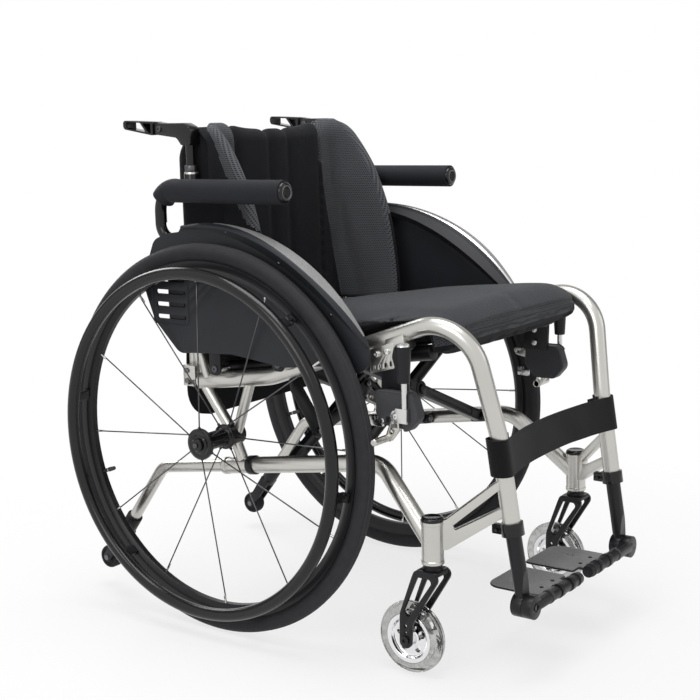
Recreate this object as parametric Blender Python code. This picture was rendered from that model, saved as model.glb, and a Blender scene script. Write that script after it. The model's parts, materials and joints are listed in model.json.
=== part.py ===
"""Folding active wheelchair with two cross braces.

Units are metres. +Z is up, the front faces -Y, and the user's left is +X.
Most pieces exist twice: the left one is modelled at +X, the right one is its mirror image.
A piece that moves has its origin on its joint's axis.
"""
import math

import bmesh
import bpy
from mathutils import Matrix, Vector

# Clearances
GAP = 0.0003
RUNNING_CLEARANCE = 0.00005

# Rear wheels
TYRE_RADIUS = 0.295
TYRE_WIDTH = 0.025
TYRE_DEPTH = 0.0247
WHEEL_X = 0.236
WHEEL_SIDES = 32
RIM_DEPTH = 0.019
RIM_WIDTH = 0.021
HANDRIM_RADIUS = TYRE_RADIUS - 0.0396
HANDRIM_TUBE_RADIUS = 0.0095
HANDRIM_OFFSET = 0.0422
HANDRIM_TAB_COUNT = 6
HANDRIM_TAB_PHASE = math.radians(49.4)
SPOKE_COUNT = 12
SPOKE_RADIUS = 0.001
SPOKE_PHASE = math.radians(3.5)
HUB_OUTER_X = 0.2675
HUB_INNER_X = 0.2045
HUB_SIDES = 12
AXLE_RADIUS = 0.00635
BUTTON_RADIUS = 0.004
BUTTON_TRAVEL = 0.003
AXLE_HEAD = 0.005

# Side frames
TUBE_RADIUS = 0.0125
LOWER_TUBE_HEIGHT = 0.2449
UPPER_TUBE_HEIGHT = LOWER_TUBE_HEIGHT + 0.1350
UPPER_TUBE_X = 0.187
UPPER_TUBE_REAR = 0.062
LOWER_TUBE_X = 0.184
FRONT_TUBE_X = 0.154
SEAT_SLOPE = math.radians(8.38)
LOWER_TUBE_REAR = 0.022
LOWER_TUBE_FRONT = -0.272
FRONT_TUBE_END = Vector((FRONT_TUBE_X, -0.4632, UPPER_TUBE_HEIGHT - 0.1619))
FRONT_TUBE_KNEE = Vector((0.156, -0.4450, UPPER_TUBE_HEIGHT - 0.0399))

# Casters
CASTER_X = 0.212
CASTER_Y = -0.373
CASTER_RADIUS = 0.0515
CASTER_WIDTH = 0.0235
CASTER_TRAIL = 0.036
CASTER_SIDES = 18
STEM_RADIUS = 0.008
HOUSING_RADIUS = 0.016
HOUSING_BOTTOM = 0.1635
HOUSING_TOP = 0.2260

# Cross braces, in a frame that runs along the lower tubes: x across, r rearward, v upward
PIVOT_X = 0.162
RAIL_X = 0.160
RAIL_HEIGHT = 0.148
RAIL_RADIUS = 0.011
RAIL_FRONT = -0.372
RAIL_REAR = 0.010
CROSS_POSITIONS = (-0.105, -0.215)
BAR_OFFSET = 0.011
BAR_THICKNESS = 0.012
BAR_HEIGHT = 0.017
BARREL_LENGTH = 0.016
BOSS_LENGTH = 0.015
BARREL_RADIUS = 0.0088
PIVOT_PIN_RADIUS = 0.004
EAR_THICKNESS = 0.004
LINK_LENGTH = 0.14675
LINK_ANGLE = math.radians(19.19)
LINK_FOOT = (0.0206, 0.0411)
LINK_HEAD = (0.008, 0.012)
LINK_OFFSET = 0.026
LINK_THICKNESS = 0.005
LINK_PIN_RADIUS = 0.003
LINK_HEAD_PLAY = 0.0016

# Back, handles and arms
POST_X = 0.178
POST_Y = 0.071
POST_RADIUS = 0.011
POST_TOP = 0.690
STEM_TOP = 0.742
GRIP_PIVOT = Vector((POST_X, 0.124, 0.7550))
ARM_X = 0.217
ARM_HEIGHT = 0.664
ARM_TUBE_RADIUS = 0.009
ARM_HOOK_DROP = 0.0640
ARM_PIVOT = Vector((0.2040, 0.083, ARM_HEIGHT - ARM_HOOK_DROP - 0.0170))
ARM_EYE_WIDTH = 0.0100
ARM_POST_X = 0.1970
PAD_RADIUS = 0.0175

# Guards
GUARD_X = 0.2152
GUARD_TAB_X = 0.2105
GUARD_THICKNESS = 0.003
GUARD_LOWER_EDGE = UPPER_TUBE_HEIGHT + 0.0401
RIM_EDGE_RADIUS = TYRE_RADIUS + 0.0285
RIM_EDGE_START = math.radians(20.5)
RIM_EDGE_END = math.radians(101)
RIM_EDGE_LIP = 0.0150
RIM_EDGE_WING = 0.0190

# Brakes
BRAKE_PIVOT = Vector((0.2190, -0.326, 0.366))
SHOE_PIVOT = Vector((0.2110, -0.316, 0.350))
SHOE_BAR = Vector((0.2110, -0.3030, 0.3310))
SHOE_BAR_RADIUS = 0.005

# Footrests
ELBOW = Vector((0.152, -0.481, 0.106))
ELBOW_RADIUS = 0.0165
FOOT_TUBE_RADIUS = 0.009
FOOT_TUBE_Y = -0.4925
FOOT_TUBE_END_X = 0.014
PLATE_INNER_X = 0.0120
PLATE_OUTER_X = 0.103
PLATE_FRONT_Y = -0.4780
PLATE_REAR_Y = -0.3910
PLATE_THICKNESS = 0.004
STRAP_HEIGHT = 0.3110
STRAP_WIDTH = 0.050

# Tippers
TIPPER_TUBE_RADIUS = 0.0095
TIPPER_WHEEL_RADIUS = 0.019
TIPPER_WHEEL_WIDTH = 0.017
TIPPER_AXLE = Vector((LOWER_TUBE_X, 0.287, 0.0500))

# Seat: widths and heights in the lower tubes' frame
SLING_THICKNESS = 0.0025
CUSHION_TOP = 0.2150
CUSHION_CORE_HALF = 0.168
CUSHION_WIDE_HALF = 0.192
CUSHION_NOSE_HALF = 0.157
CUSHION_REAR = 0.0250
CUSHION_FLAT_FRONT = -0.200
CUSHION_DROOP = 0.0095
CUSHION_NOSE = RAIL_FRONT - 0.0600
CUSHION_NOSE_BOTTOM = 0.1470

FINISHES = {
    "silver": ((0.60, 0.58, 0.54), 0.32, 0.9),
    "black_alloy": ((0.025, 0.026, 0.028), 0.35, 0.6),
    "black_plastic": ((0.020, 0.020, 0.021), 0.45, 0.0),
    "grey_plastic": ((0.10, 0.10, 0.105), 0.55, 0.0),
    "tyre": ((0.060, 0.060, 0.064), 0.75, 0.0),
    "clear_tyre": ((0.78, 0.79, 0.80), 0.15, 0.0),
    "foam": ((0.022, 0.022, 0.024), 0.85, 0.0),
    "mesh_cloth": ((0.045, 0.046, 0.050), 0.90, 0.0),
    "webbing": ((0.030, 0.030, 0.033), 0.85, 0.0),
    "chrome": ((0.80, 0.80, 0.81), 0.12, 1.0),
    "foot_plate": ((0.20, 0.20, 0.205), 0.60, 0.0),
}


def clear_scene():
    for old in list(bpy.data.objects):
        bpy.data.objects.remove(old)


def new_object(name, mesh):
    obj = bpy.data.objects.new(name, mesh)
    bpy.context.scene.collection.objects.link(obj)
    return obj


def object_from_bmesh(name, bm):
    bmesh.ops.remove_doubles(bm, verts=bm.verts, dist=1e-6)
    bmesh.ops.recalc_face_normals(bm, faces=bm.faces)
    mesh = bpy.data.meshes.new(name)
    bm.to_mesh(mesh)
    bm.free()
    return new_object(name, mesh)


def baked(obj):
    """Replace an object by its evaluated mesh, in world space."""
    bpy.context.view_layer.update()
    graph = bpy.context.evaluated_depsgraph_get()
    mesh = bpy.data.meshes.new_from_object(obj.evaluated_get(graph))
    mesh.transform(obj.matrix_world)
    name = obj.name
    bpy.data.objects.remove(obj)
    return new_object(name, mesh)


def combine(target, tool, operation):
    """Boolean of two objects; the tool is used up."""
    modifier = target.modifiers.new(operation.lower(), "BOOLEAN")
    modifier.operation = operation
    modifier.solver = "EXACT"
    modifier.object = tool
    result = baked(target)
    bpy.data.objects.remove(tool)
    return result


def union(target, *tools):
    for tool in tools:
        target = combine(target, tool, "UNION")
    return target


def cut(target, *tools):
    for tool in tools:
        target = combine(target, tool, "DIFFERENCE")
    return target


def moved(obj, matrix):
    obj.data.transform(matrix)
    return obj


def across_flats(radius, sides):
    """Corner radius of a polygon whose flats lie at the given radius."""
    return radius / math.cos(math.pi / sides)


def bore_radius(shaft_radius, sides, clearance=RUNNING_CLEARANCE):
    return across_flats(shaft_radius + clearance, sides)


def side_count(radius):
    """Facets round a bar: fewer on a pin than on a boss."""
    if radius < 0.0055:
        return 8
    return 10 if radius < 0.0130 else 12


def cylinder(start, end, radius, sides=None, end_radius=None):
    start = Vector(start)
    end = Vector(end)
    sides = sides or side_count(radius)
    axis = end - start
    turn = axis.to_track_quat("Z", "Y").to_matrix().to_4x4()
    bm = bmesh.new()
    bmesh.ops.create_cone(
        bm,
        cap_ends=True,
        segments=sides,
        radius1=radius,
        radius2=radius if end_radius is None else end_radius,
        depth=axis.length,
        matrix=Matrix.Translation((start + end) / 2) @ turn,
    )
    return object_from_bmesh("cylinder", bm)


def turning_hole(start, end, shaft_radius, clearance=RUNNING_CLEARANCE):
    """Cutter for a hole in which a round bar of the given radius turns freely."""
    sides = side_count(shaft_radius)
    return cylinder(start, end, bore_radius(shaft_radius, sides, clearance), sides)


def box(low, high):
    low = Vector(low)
    high = Vector(high)
    bm = bmesh.new()
    size = Matrix.Diagonal((*(high - low), 1))
    bmesh.ops.create_cube(bm, size=1, matrix=Matrix.Translation((low + high) / 2) @ size)
    return object_from_bmesh("box", bm)


def rounded_path(points, radii, step=math.radians(20)):
    """A 3-D polyline with an arc at each inner point; radii has one value for each inner point."""
    points = [Vector(p) for p in points]
    path = [points[0]]
    for before, corner, after, radius in zip(points, points[1:], points[2:], radii):
        to_before = (before - corner).normalized()
        to_after = (after - corner).normalized()
        half = to_before.angle(to_after) / 2
        turn = math.pi - 2 * half
        if radius == 0 or turn < 1e-4:
            path.append(corner)
            continue
        middle = (to_before + to_after).normalized()
        centre = corner + middle * (radius / math.sin(half))
        start = corner + to_before * (radius / math.tan(half)) - centre
        end = corner + to_after * (radius / math.tan(half)) - centre
        count = max(1, round(turn / step))
        for i in range(count + 1):
            part = turn * i / count
            weight_start = math.sin(turn - part) / math.sin(turn)
            weight_end = math.sin(part) / math.sin(turn)
            path.append(centre + start * weight_start + end * weight_end)
    path.append(points[-1])
    return path


def tube(points, radii, radius, sides=10):
    """A round bar along a polyline with rounded corners."""
    curve = bpy.data.curves.new("tube", "CURVE")
    curve.dimensions = "3D"
    curve.bevel_depth = radius
    curve.bevel_resolution = (sides - 4) // 2
    curve.use_fill_caps = True
    path = rounded_path(points, radii)
    spline = curve.splines.new("POLY")
    spline.points.add(len(path) - 1)
    for point, place in zip(spline.points, path):
        point.co = (*place, 1)
    obj = baked(new_object("tube", curve))
    bm = bmesh.new()
    bm.from_mesh(obj.data)
    bpy.data.objects.remove(obj)
    return object_from_bmesh("tube", bm)


def rounded_outline(points, radius, steps=2):
    """A closed 2-D outline; radius is one value, or one for each corner. Small corners are chamfers."""
    count = len(points)
    radii = radius if isinstance(radius, (list, tuple)) else [radius] * count
    outline = []
    for i in range(count):
        corner = Vector(points[i])
        if radii[i] == 0:
            outline.append(corner)
            continue
        to_before = (Vector(points[i - 1]) - corner).normalized()
        to_after = (Vector(points[(i + 1) % count]) - corner).normalized()
        half = to_before.angle(to_after) / 2
        centre = corner + (to_before + to_after).normalized() * (radii[i] / math.sin(half))
        start = corner + to_before * (radii[i] / math.tan(half)) - centre
        end = corner + to_after * (radii[i] / math.tan(half)) - centre
        turn = math.pi - 2 * half
        count_here = steps if radii[i] > 0.0035 else 1
        for k in range(count_here + 1):
            part = turn * k / count_here
            weight_start = math.sin(turn - part) / math.sin(turn)
            weight_end = math.sin(part) / math.sin(turn)
            outline.append(centre + start * weight_start + end * weight_end)
    return outline


def prism(outline, axis, low, high):
    """Extrude a 2-D outline along X (outline in y, z), Y (in x, z) or Z (in x, y)."""
    places = {
        "X": lambda a, b: (low, a, b),
        "Y": lambda a, b: (a, low, b),
        "Z": lambda a, b: (a, b, low),
    }
    directions = {"X": Vector((1, 0, 0)), "Y": Vector((0, 1, 0)), "Z": Vector((0, 0, 1))}
    bm = bmesh.new()
    face = bm.faces.new([bm.verts.new(places[axis](*point)) for point in outline])
    grown = bmesh.ops.extrude_face_region(bm, geom=[face])
    moving = [item for item in grown["geom"] if isinstance(item, bmesh.types.BMVert)]
    bmesh.ops.translate(bm, verts=moving, vec=directions[axis] * (high - low))
    return object_from_bmesh("prism", bm)


def lathe(profile, centre, sides, ring=True):
    """Turn a profile of (x, radius) pairs round the line through the centre along X.

    A ring profile is a closed loop clear of the axis. Otherwise both ends lie on the axis.
    """
    centre = Vector(centre)
    bm = bmesh.new()
    start = -math.pi / 2 + math.pi / sides
    verts = []
    for x, radius in profile:
        direction = Vector((0, math.cos(start), math.sin(start)))
        verts.append(bm.verts.new(centre + Vector((x, 0, 0)) + direction * radius))
    edges = [bm.edges.new(pair) for pair in zip(verts, verts[1:])]
    if ring:
        edges.append(bm.edges.new((verts[-1], verts[0])))
    bmesh.ops.spin(bm, geom=verts + edges, cent=centre, axis=(1, 0, 0), angle=math.tau, steps=sides)
    return object_from_bmesh("turned", bm)


def set_material(obj, finish):
    color, roughness, metallic = FINISHES[finish]
    material = bpy.data.materials.new(obj.name)
    material.use_nodes = True
    shader = material.node_tree.nodes["Principled BSDF"]
    shader.inputs["Base Color"].default_value = (*color, 1)
    shader.inputs["Roughness"].default_value = roughness
    shader.inputs["Metallic"].default_value = metallic
    obj.data.materials.clear()
    obj.data.materials.append(material)


def add_part(obj, name, finish, origin=(0, 0, 0)):
    """Name a finished piece, give it its material, and put its origin on its joint."""
    obj.name = name
    obj.data.name = name
    set_material(obj, finish)
    obj.data.shade_smooth()
    obj.data.set_sharp_from_angle(angle=math.radians(35))
    origin = Vector(origin)
    obj.data.transform(Matrix.Translation(-origin))
    obj.location = origin
    return obj


def flipped(obj):
    """Move a piece to its mirror image on the other side of the centre plane."""
    obj.data.transform(Matrix.Diagonal((-1, 1, 1, 1)))
    obj.data.flip_normals()
    return obj


def add_right(obj, name, finish, origin=(0, 0, 0)):
    """Turn a piece modelled at +X into the right-hand one."""
    x, y, z = origin
    return add_part(flipped(obj), "right_" + name, finish, (-x, y, z))


def add_pair(obj, name, finish, origin=(0, 0, 0)):
    image = new_object("image", obj.data.copy())
    add_part(obj, "left_" + name, finish, origin)
    add_right(image, name, finish, origin)


def tube_frame():
    """From the lower tubes' own directions (x, r, v) to the world."""
    return Matrix.Translation((0, 0, LOWER_TUBE_HEIGHT)) @ Matrix.Rotation(-SEAT_SLOPE, 4, "X")


def on_tube(y):
    """Height of the lower tube's centre line at a given y."""
    return LOWER_TUBE_HEIGHT - y * math.tan(SEAT_SLOPE)


def brace_angle():
    return math.atan2(RAIL_HEIGHT, PIVOT_X + RAIL_X)


def upper_tube_points(rear=UPPER_TUBE_REAR):
    return [
        (UPPER_TUBE_X, rear, UPPER_TUBE_HEIGHT - rear * 0.1357),
        (UPPER_TUBE_X, -0.078, UPPER_TUBE_HEIGHT + 0.0106),
        (UPPER_TUBE_X, -0.4155, UPPER_TUBE_HEIGHT + 0.1287),
        FRONT_TUBE_KNEE,
        FRONT_TUBE_END,
    ]


def upper_tube(radius, overrun=0):
    return tube(upper_tube_points(UPPER_TUBE_REAR + overrun), (0.10, 0.066, 0.10), radius, sides=12)


def upper_tube_space():
    """What other pieces have cut away so that they clear the upper tube."""
    return upper_tube(TUBE_RADIUS + GAP, overrun=GAP)


def lower_tube(radius):
    points = [
        (LOWER_TUBE_X, LOWER_TUBE_REAR, on_tube(LOWER_TUBE_REAR)),
        (LOWER_TUBE_X, LOWER_TUBE_FRONT, on_tube(LOWER_TUBE_FRONT)),
        (CASTER_X, CASTER_Y, 0.190),
    ]
    return tube(points, (0.045,), radius, sides=12)


def link_bracket(plane):
    """Bracket under the upper tube that carries the foot of a link; plane is its middle in r."""
    foot_x = PIVOT_X - LINK_FOOT[0]
    foot_v = LINK_FOOT[1]
    side = 1 if plane > 0 else -1
    near = side * (LINK_THICKNESS / 2 + 0.0005)
    far = near + side * EAR_THICKNESS
    middle = (CROSS_POSITIONS[0]) + plane
    outline = rounded_outline(
        [
            (foot_x - 0.009, foot_v - 0.009),
            (foot_x + 0.009, foot_v - 0.009),
            (UPPER_TUBE_X + 0.004, 0.110),
            (UPPER_TUBE_X + 0.004, 0.130),
            (UPPER_TUBE_X - 0.014, 0.126),
            (foot_x - 0.009, foot_v + 0.012),
        ],
        [0.008, 0.008, 0, 0, 0, 0.006],
    )
    ear = prism(outline, "Y", middle + min(near, far), middle + max(near, far))
    start = (foot_x, middle + far - side * 0.001, foot_v)
    end = (foot_x, middle - near - side * 0.0005, foot_v)
    pin = cylinder(start, end, PIVOT_PIN_RADIUS)
    return moved(union(ear, pin), tube_frame())


def make_upper_frame(link_plane):
    return union(upper_tube(TUBE_RADIUS), link_bracket(link_plane))


def brace_lug(position):
    """Two ears and a pin on the lower tube for the foot of a cross brace."""
    inner = BARREL_LENGTH / 2 + 0.0005
    outline = rounded_outline(
        [
            (PIVOT_X - 0.0085, -0.0085),
            (LOWER_TUBE_X, -0.0085),
            (LOWER_TUBE_X, 0.0085),
            (PIVOT_X - 0.0085, 0.0085),
        ],
        [0.008, 0, 0, 0.008],
    )
    front = prism(outline, "Y", position - inner - EAR_THICKNESS, position - inner)
    rear = prism(outline, "Y", position + inner, position + inner + EAR_THICKNESS)
    reach = inner + EAR_THICKNESS - 0.001
    pin = cylinder((PIVOT_X, position - reach, 0), (PIVOT_X, position + reach, 0), PIVOT_PIN_RADIUS)
    return moved(union(front, pin, rear), tube_frame())


def front_gusset():
    """Open V of plate between the caster housing and the front tube."""
    start = Vector((CASTER_X, CASTER_Y, 0))
    across = Vector((0.1550, -0.4590, 0)) - start
    outline = rounded_outline(
        [
            (0.004, 0.225),
            (0.018, 0.226),
            (0.106, 0.2915),
            (0.106, 0.2745),
            (0.034, 0.2165),
            (0.106, 0.2500),
            (0.106, 0.2345),
            (0.020, 0.184),
            (0.004, 0.184),
        ],
        [0, 0.010, 0, 0, 0.003, 0, 0, 0.010, 0],
    )
    plate = prism(outline, "Y", -0.0055, 0.0055)
    angle = math.atan2(across.y, across.x)
    moved(plate, Matrix.Translation(start) @ Matrix.Rotation(angle, 4, "Z"))
    return cut(plate, upper_tube_space())


def make_lower_frame(lug_offset):
    frame = lower_tube(TUBE_RADIUS)
    top = (CASTER_X, CASTER_Y, HOUSING_TOP)
    bottom = (CASTER_X, CASTER_Y, HOUSING_BOTTOM)
    frame = union(frame, cylinder(bottom, top, HOUSING_RADIUS), front_gusset())
    frame = union(frame, *[brace_lug(position + lug_offset) for position in CROSS_POSITIONS])
    stem_bore = turning_hole(
        (CASTER_X, CASTER_Y, HOUSING_BOTTOM - 0.01),
        (CASTER_X, CASTER_Y, HOUSING_TOP - 0.010),
        STEM_RADIUS,
    )
    plug_start = Vector((LOWER_TUBE_X, LOWER_TUBE_REAR, on_tube(LOWER_TUBE_REAR)))
    direction = Vector((0, math.cos(SEAT_SLOPE), -math.sin(SEAT_SLOPE)))
    plug_bore = turning_hole(
        plug_start - direction * 0.030,
        plug_start + direction * 0.010,
        TIPPER_TUBE_RADIUS,
        0.00008,
    )
    return cut(frame, stem_bore, plug_bore)


def make_axle_mount():
    """Receiver for the wheel's axle, held between the tubes by two struts and a stub."""
    centre = Vector((0, 0, TYRE_RADIUS))
    x = UPPER_TUBE_X
    receiver = cylinder((0.1765, 0, TYRE_RADIUS), (HUB_INNER_X - 0.0008, 0, TYRE_RADIUS), 0.0165)
    hub_point = Vector((x, centre.y, centre.z))
    rear = tube([(x, 0.0520, UPPER_TUBE_HEIGHT - 0.0169), hub_point], (), 0.0075, 8)
    front = tube([(x, -0.0370, UPPER_TUBE_HEIGHT), (x, -0.0060, TYRE_RADIUS)], (), 0.0075, 8)
    stub_end = (LOWER_TUBE_X, -0.0150, LOWER_TUBE_HEIGHT + 0.0071)
    stub = tube([(x - 0.001, 0.002, TYRE_RADIUS), stub_end], (), 0.0090, 8)
    mount = union(receiver, rear, front, stub)
    bore = turning_hole((0.17, 0, TYRE_RADIUS), (0.21, 0, TYRE_RADIUS), AXLE_RADIUS)
    return cut(mount, upper_tube_space(), lower_tube(TUBE_RADIUS + GAP), bore)


def make_axle():
    """Quick-release axle with a head; its end button slides in the head."""
    start = 0.1735
    head = HUB_OUTER_X + GAP
    shaft = cylinder((start, 0, TYRE_RADIUS), (head + 0.002, 0, TYRE_RADIUS), AXLE_RADIUS, HUB_SIDES)
    cap = cylinder((head, 0, TYRE_RADIUS), (head + AXLE_HEAD, 0, TYRE_RADIUS), 0.0100, HUB_SIDES, 0.0085)
    bore = turning_hole((head, 0, TYRE_RADIUS), (head + 0.0100, 0, TYRE_RADIUS), BUTTON_RADIUS)
    return cut(union(shaft, cap), bore)


def make_axle_button():
    """Release button; pushed in, it stops just short of the bottom of its hole."""
    start = HUB_OUTER_X + 2 * GAP + BUTTON_TRAVEL
    end = HUB_OUTER_X + GAP + AXLE_HEAD + BUTTON_TRAVEL
    return cylinder((start, 0, TYRE_RADIUS), (end, 0, TYRE_RADIUS), BUTTON_RADIUS)


def wheel_radius(radius):
    return across_flats(radius, WHEEL_SIDES)


def make_tyre():
    inner = TYRE_RADIUS - TYRE_DEPTH
    half = TYRE_WIDTH / 2
    side = [
        (half - 0.0030, inner),
        (half, inner + 0.0070),
        (half - 0.0020, inner + 0.0175),
        (0.0040, TYRE_RADIUS),
    ]
    profile = side + [(-x, r) for x, r in reversed(side)]
    profile = [(x, wheel_radius(r)) for x, r in profile]
    return lathe(profile, (WHEEL_X, 0, TYRE_RADIUS), WHEEL_SIDES)


def rim_inner_radius():
    return TYRE_RADIUS - TYRE_DEPTH - GAP - RIM_DEPTH


def make_rim():
    outer = TYRE_RADIUS - TYRE_DEPTH - GAP
    inner = rim_inner_radius()
    half = RIM_WIDTH / 2
    side = [(0.0045, inner), (half, inner + 0.0070), (half, outer)]
    profile = side + [(-x, r) for x, r in reversed(side)]
    profile = [(x, wheel_radius(r)) for x, r in profile]
    return lathe(profile, (WHEEL_X, 0, TYRE_RADIUS), WHEEL_SIDES)


def radial(angle, radius, x):
    """A point in the wheel's plane; the angle runs from the front upwards."""
    return Vector((x, -radius * math.cos(angle), TYRE_RADIUS + radius * math.sin(angle)))


def make_hub():
    """Hub with two flanges and twelve straight spokes, set on the flanges in turn."""
    bore = bore_radius(AXLE_RADIUS, HUB_SIDES)
    profile = [
        (HUB_INNER_X, bore),
        (HUB_INNER_X, 0.0120),
        (0.2065, 0.0190),
        (0.2105, 0.0190),
        (0.2130, 0.0130),
        (0.2530, 0.0130),
        (0.2590, 0.0220),
        (0.2650, 0.0220),
        (HUB_OUTER_X, 0.0140),
        (HUB_OUTER_X, bore),
    ]
    hub = lathe(profile, (0, 0, TYRE_RADIUS), HUB_SIDES)
    reach = rim_inner_radius() - GAP - 0.0003
    for i in range(SPOKE_COUNT):
        angle = SPOKE_PHASE + math.tau * i / SPOKE_COUNT
        on_outer = i % 2 == 1
        start = radial(angle, 0.0165, 0.2615 if on_outer else 0.2085)
        end = radial(angle, reach, WHEEL_X + (0.0025 if on_outer else -0.0025))
        hub = union(hub, cylinder(start, end, SPOKE_RADIUS, 6))
    return hub


def make_handrim():
    """Push ring on six tabs that reach to the rim."""
    centre_x = WHEEL_X + HANDRIM_OFFSET
    sides = 6
    profile = []
    for i in range(sides):
        angle = math.tau * (i + 0.5) / sides
        x = HANDRIM_TUBE_RADIUS * math.cos(angle)
        profile.append((x, wheel_radius(HANDRIM_RADIUS + HANDRIM_TUBE_RADIUS * math.sin(angle))))
    ring = lathe(profile, (centre_x, 0, TYRE_RADIUS), WHEEL_SIDES)
    rim_side = WHEEL_X + RIM_WIDTH / 2 + GAP
    for i in range(HANDRIM_TAB_COUNT):
        angle = HANDRIM_TAB_PHASE + math.tau * i / HANDRIM_TAB_COUNT
        turn = Matrix.Translation((0, 0, TYRE_RADIUS)) @ Matrix.Rotation(math.pi - angle, 4, "X")
        inner = HANDRIM_RADIUS - 0.0034
        outline = [
            (rim_side, inner),
            (centre_x - 0.004, inner),
            (centre_x - 0.004, inner + 0.0030),
            (rim_side + 0.0030, inner + 0.0030),
            (rim_side + 0.0030, inner + 0.0120),
            (rim_side, inner + 0.0120),
        ]
        tab = prism(outline, "Z", -0.0065, 0.0065)
        ring = union(ring, moved(tab, turn))
    return ring


def make_caster_tyre():
    inner = 0.0360
    half = CASTER_WIDTH / 2
    outer = CASTER_RADIUS
    side = [
        (half - 0.001, inner),
        (half, inner + 0.0040),
        (half - 0.0035, outer - 0.0030),
        (0.0040, outer),
    ]
    profile = side + [(-x, r) for x, r in reversed(side)]
    profile = [(x, across_flats(r, CASTER_SIDES)) for x, r in profile]
    return lathe(profile, caster_centre(), CASTER_SIDES)


def caster_centre():
    return Vector((CASTER_X, CASTER_Y + CASTER_TRAIL, CASTER_RADIUS))


def make_caster_hub():
    """Dished hub with five round holes and a bearing boss."""
    outer = across_flats(0.0360 - GAP, CASTER_SIDES)
    bore = bore_radius(0.004, 12)
    side = [(0.0125, bore), (0.0125, 0.0085), (0.0035, 0.0110), (0.0035, 0.0270), (0.0095, outer)]
    profile = side + [(-x, r) for x, r in reversed(side)]
    hub = lathe(profile, caster_centre(), CASTER_SIDES)
    centre = caster_centre()
    for i in range(5):
        angle = math.tau * i / 5 + 0.3
        middle = centre + Vector((0, math.cos(angle), math.sin(angle))) * 0.0190
        reach = Vector((0.01, 0, 0))
        hub = cut(hub, cylinder(middle - reach, middle + reach, 0.0054))
    return hub


def fork_leg(inner_x):
    """One raked leg with a long slot, two small holes and a round foot."""
    axle_y = CASTER_TRAIL
    outline = rounded_outline(
        [
            (-0.0190, 0.1560),
            (0.0190, 0.1560),
            (0.0230, 0.1450),
            (axle_y + 0.0130, 0.0880),
            (axle_y + 0.0100, 0.0400),
            (axle_y - 0.0100, 0.0400),
            (axle_y - 0.0130, 0.0720),
            (-0.0195, 0.1450),
        ],
        [0.004, 0.004, 0.006, 0.020, 0.0095, 0.0095, 0.020, 0.006],
    )
    outline = [(y + CASTER_Y, z) for y, z in outline]
    leg = prism(outline, "X", inner_x, inner_x + 0.0045)
    slot = rounded_outline(
        [(-0.0105, 0.1410), (0.0100, 0.1410), (0.0290, 0.0890), (0.0270, 0.0870)],
        [0.003, 0.003, 0.001, 0.001],
    )
    slot = [(y + CASTER_Y, z) for y, z in slot]
    return cut(leg, prism(slot, "X", inner_x - 0.01, inner_x + 0.01))


def make_caster_fork():
    half = CASTER_WIDTH / 2 + 0.0022
    fork = box(
        (CASTER_X - half - 0.0045, CASTER_Y - 0.0190, 0.1500),
        (CASTER_X + half + 0.0045, CASTER_Y + 0.0190, 0.1560),
    )
    stem_bottom = (CASTER_X, CASTER_Y, 0.1530)
    fork = union(fork, fork_leg(CASTER_X + half), fork_leg(CASTER_X - half - 0.0045))
    collar = cylinder(stem_bottom, (CASTER_X, CASTER_Y, HOUSING_BOTTOM - GAP), 0.0135)
    stem = cylinder(stem_bottom, (CASTER_X, CASTER_Y, HOUSING_TOP - 0.0115), STEM_RADIUS)
    centre = caster_centre()
    reach = half + 0.0075
    axle = cylinder(centre - Vector((reach, 0, 0)), centre + Vector((reach, 0, 0)), 0.004)
    heads = [
        cylinder(
            centre + Vector((side * (half + 0.0040), 0, 0)),
            centre + Vector((side * (reach + 0.0005), 0, 0)),
            0.0070,
        )
        for side in (-1, 1)
    ]
    fork = union(fork, collar, stem, axle, *heads)
    for height in (0.0740, 0.0670):
        hole_y = CASTER_Y + CASTER_TRAIL - 0.0008
        fork = cut(fork, cylinder(
            (CASTER_X - 0.05, hole_y, height),
            (CASTER_X + 0.05, hole_y, height),
            0.0022,
        ))
    return fork


def brace_bar(offset, position, side):
    """One bar from its pivot up to its rail; side is -1 for a foot on the right."""
    angle = brace_angle()
    length = math.hypot(PIVOT_X + RAIL_X, RAIL_HEIGHT)
    half_height = BAR_HEIGHT / 2
    outline = rounded_outline(
        [(0, -half_height), (length, -half_height), (length, half_height), (0, half_height)],
        [0.004, 0, 0, 0.004],
        steps=2,
    )
    bar = prism(outline, "Y", -BAR_THICKNESS / 2, BAR_THICKNESS / 2)
    half = BARREL_LENGTH / 2
    barrel = cylinder((0, -half, 0), (0, half, 0), BARREL_RADIUS)
    boss_half = BOSS_LENGTH / 2
    middle = PIVOT_X / math.cos(angle)
    boss = cylinder((middle, -boss_half, 0), (middle, boss_half, 0), 0.0125)
    bar = union(bar, barrel, boss)
    bar = cut(bar, turning_hole((0, -0.02, 0), (0, 0.02, 0), PIVOT_PIN_RADIUS))
    moved(bar, Matrix.Rotation(-angle, 4, "Y"))
    if side > 0:
        flipped(bar)
    return moved(bar, Matrix.Translation((side * PIVOT_X, position + offset, 0)))


def centre_height():
    return PIVOT_X * math.tan(brace_angle())


def link_head_point(side):
    """Where a link meets the opposite brace, near the centre bolt; side is the link's own side."""
    along, off = LINK_HEAD
    angle = brace_angle()
    x = -along * math.cos(angle) + off * math.sin(angle)
    v = centre_height() + along * math.sin(angle) + off * math.cos(angle)
    return -side * x, v


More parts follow.
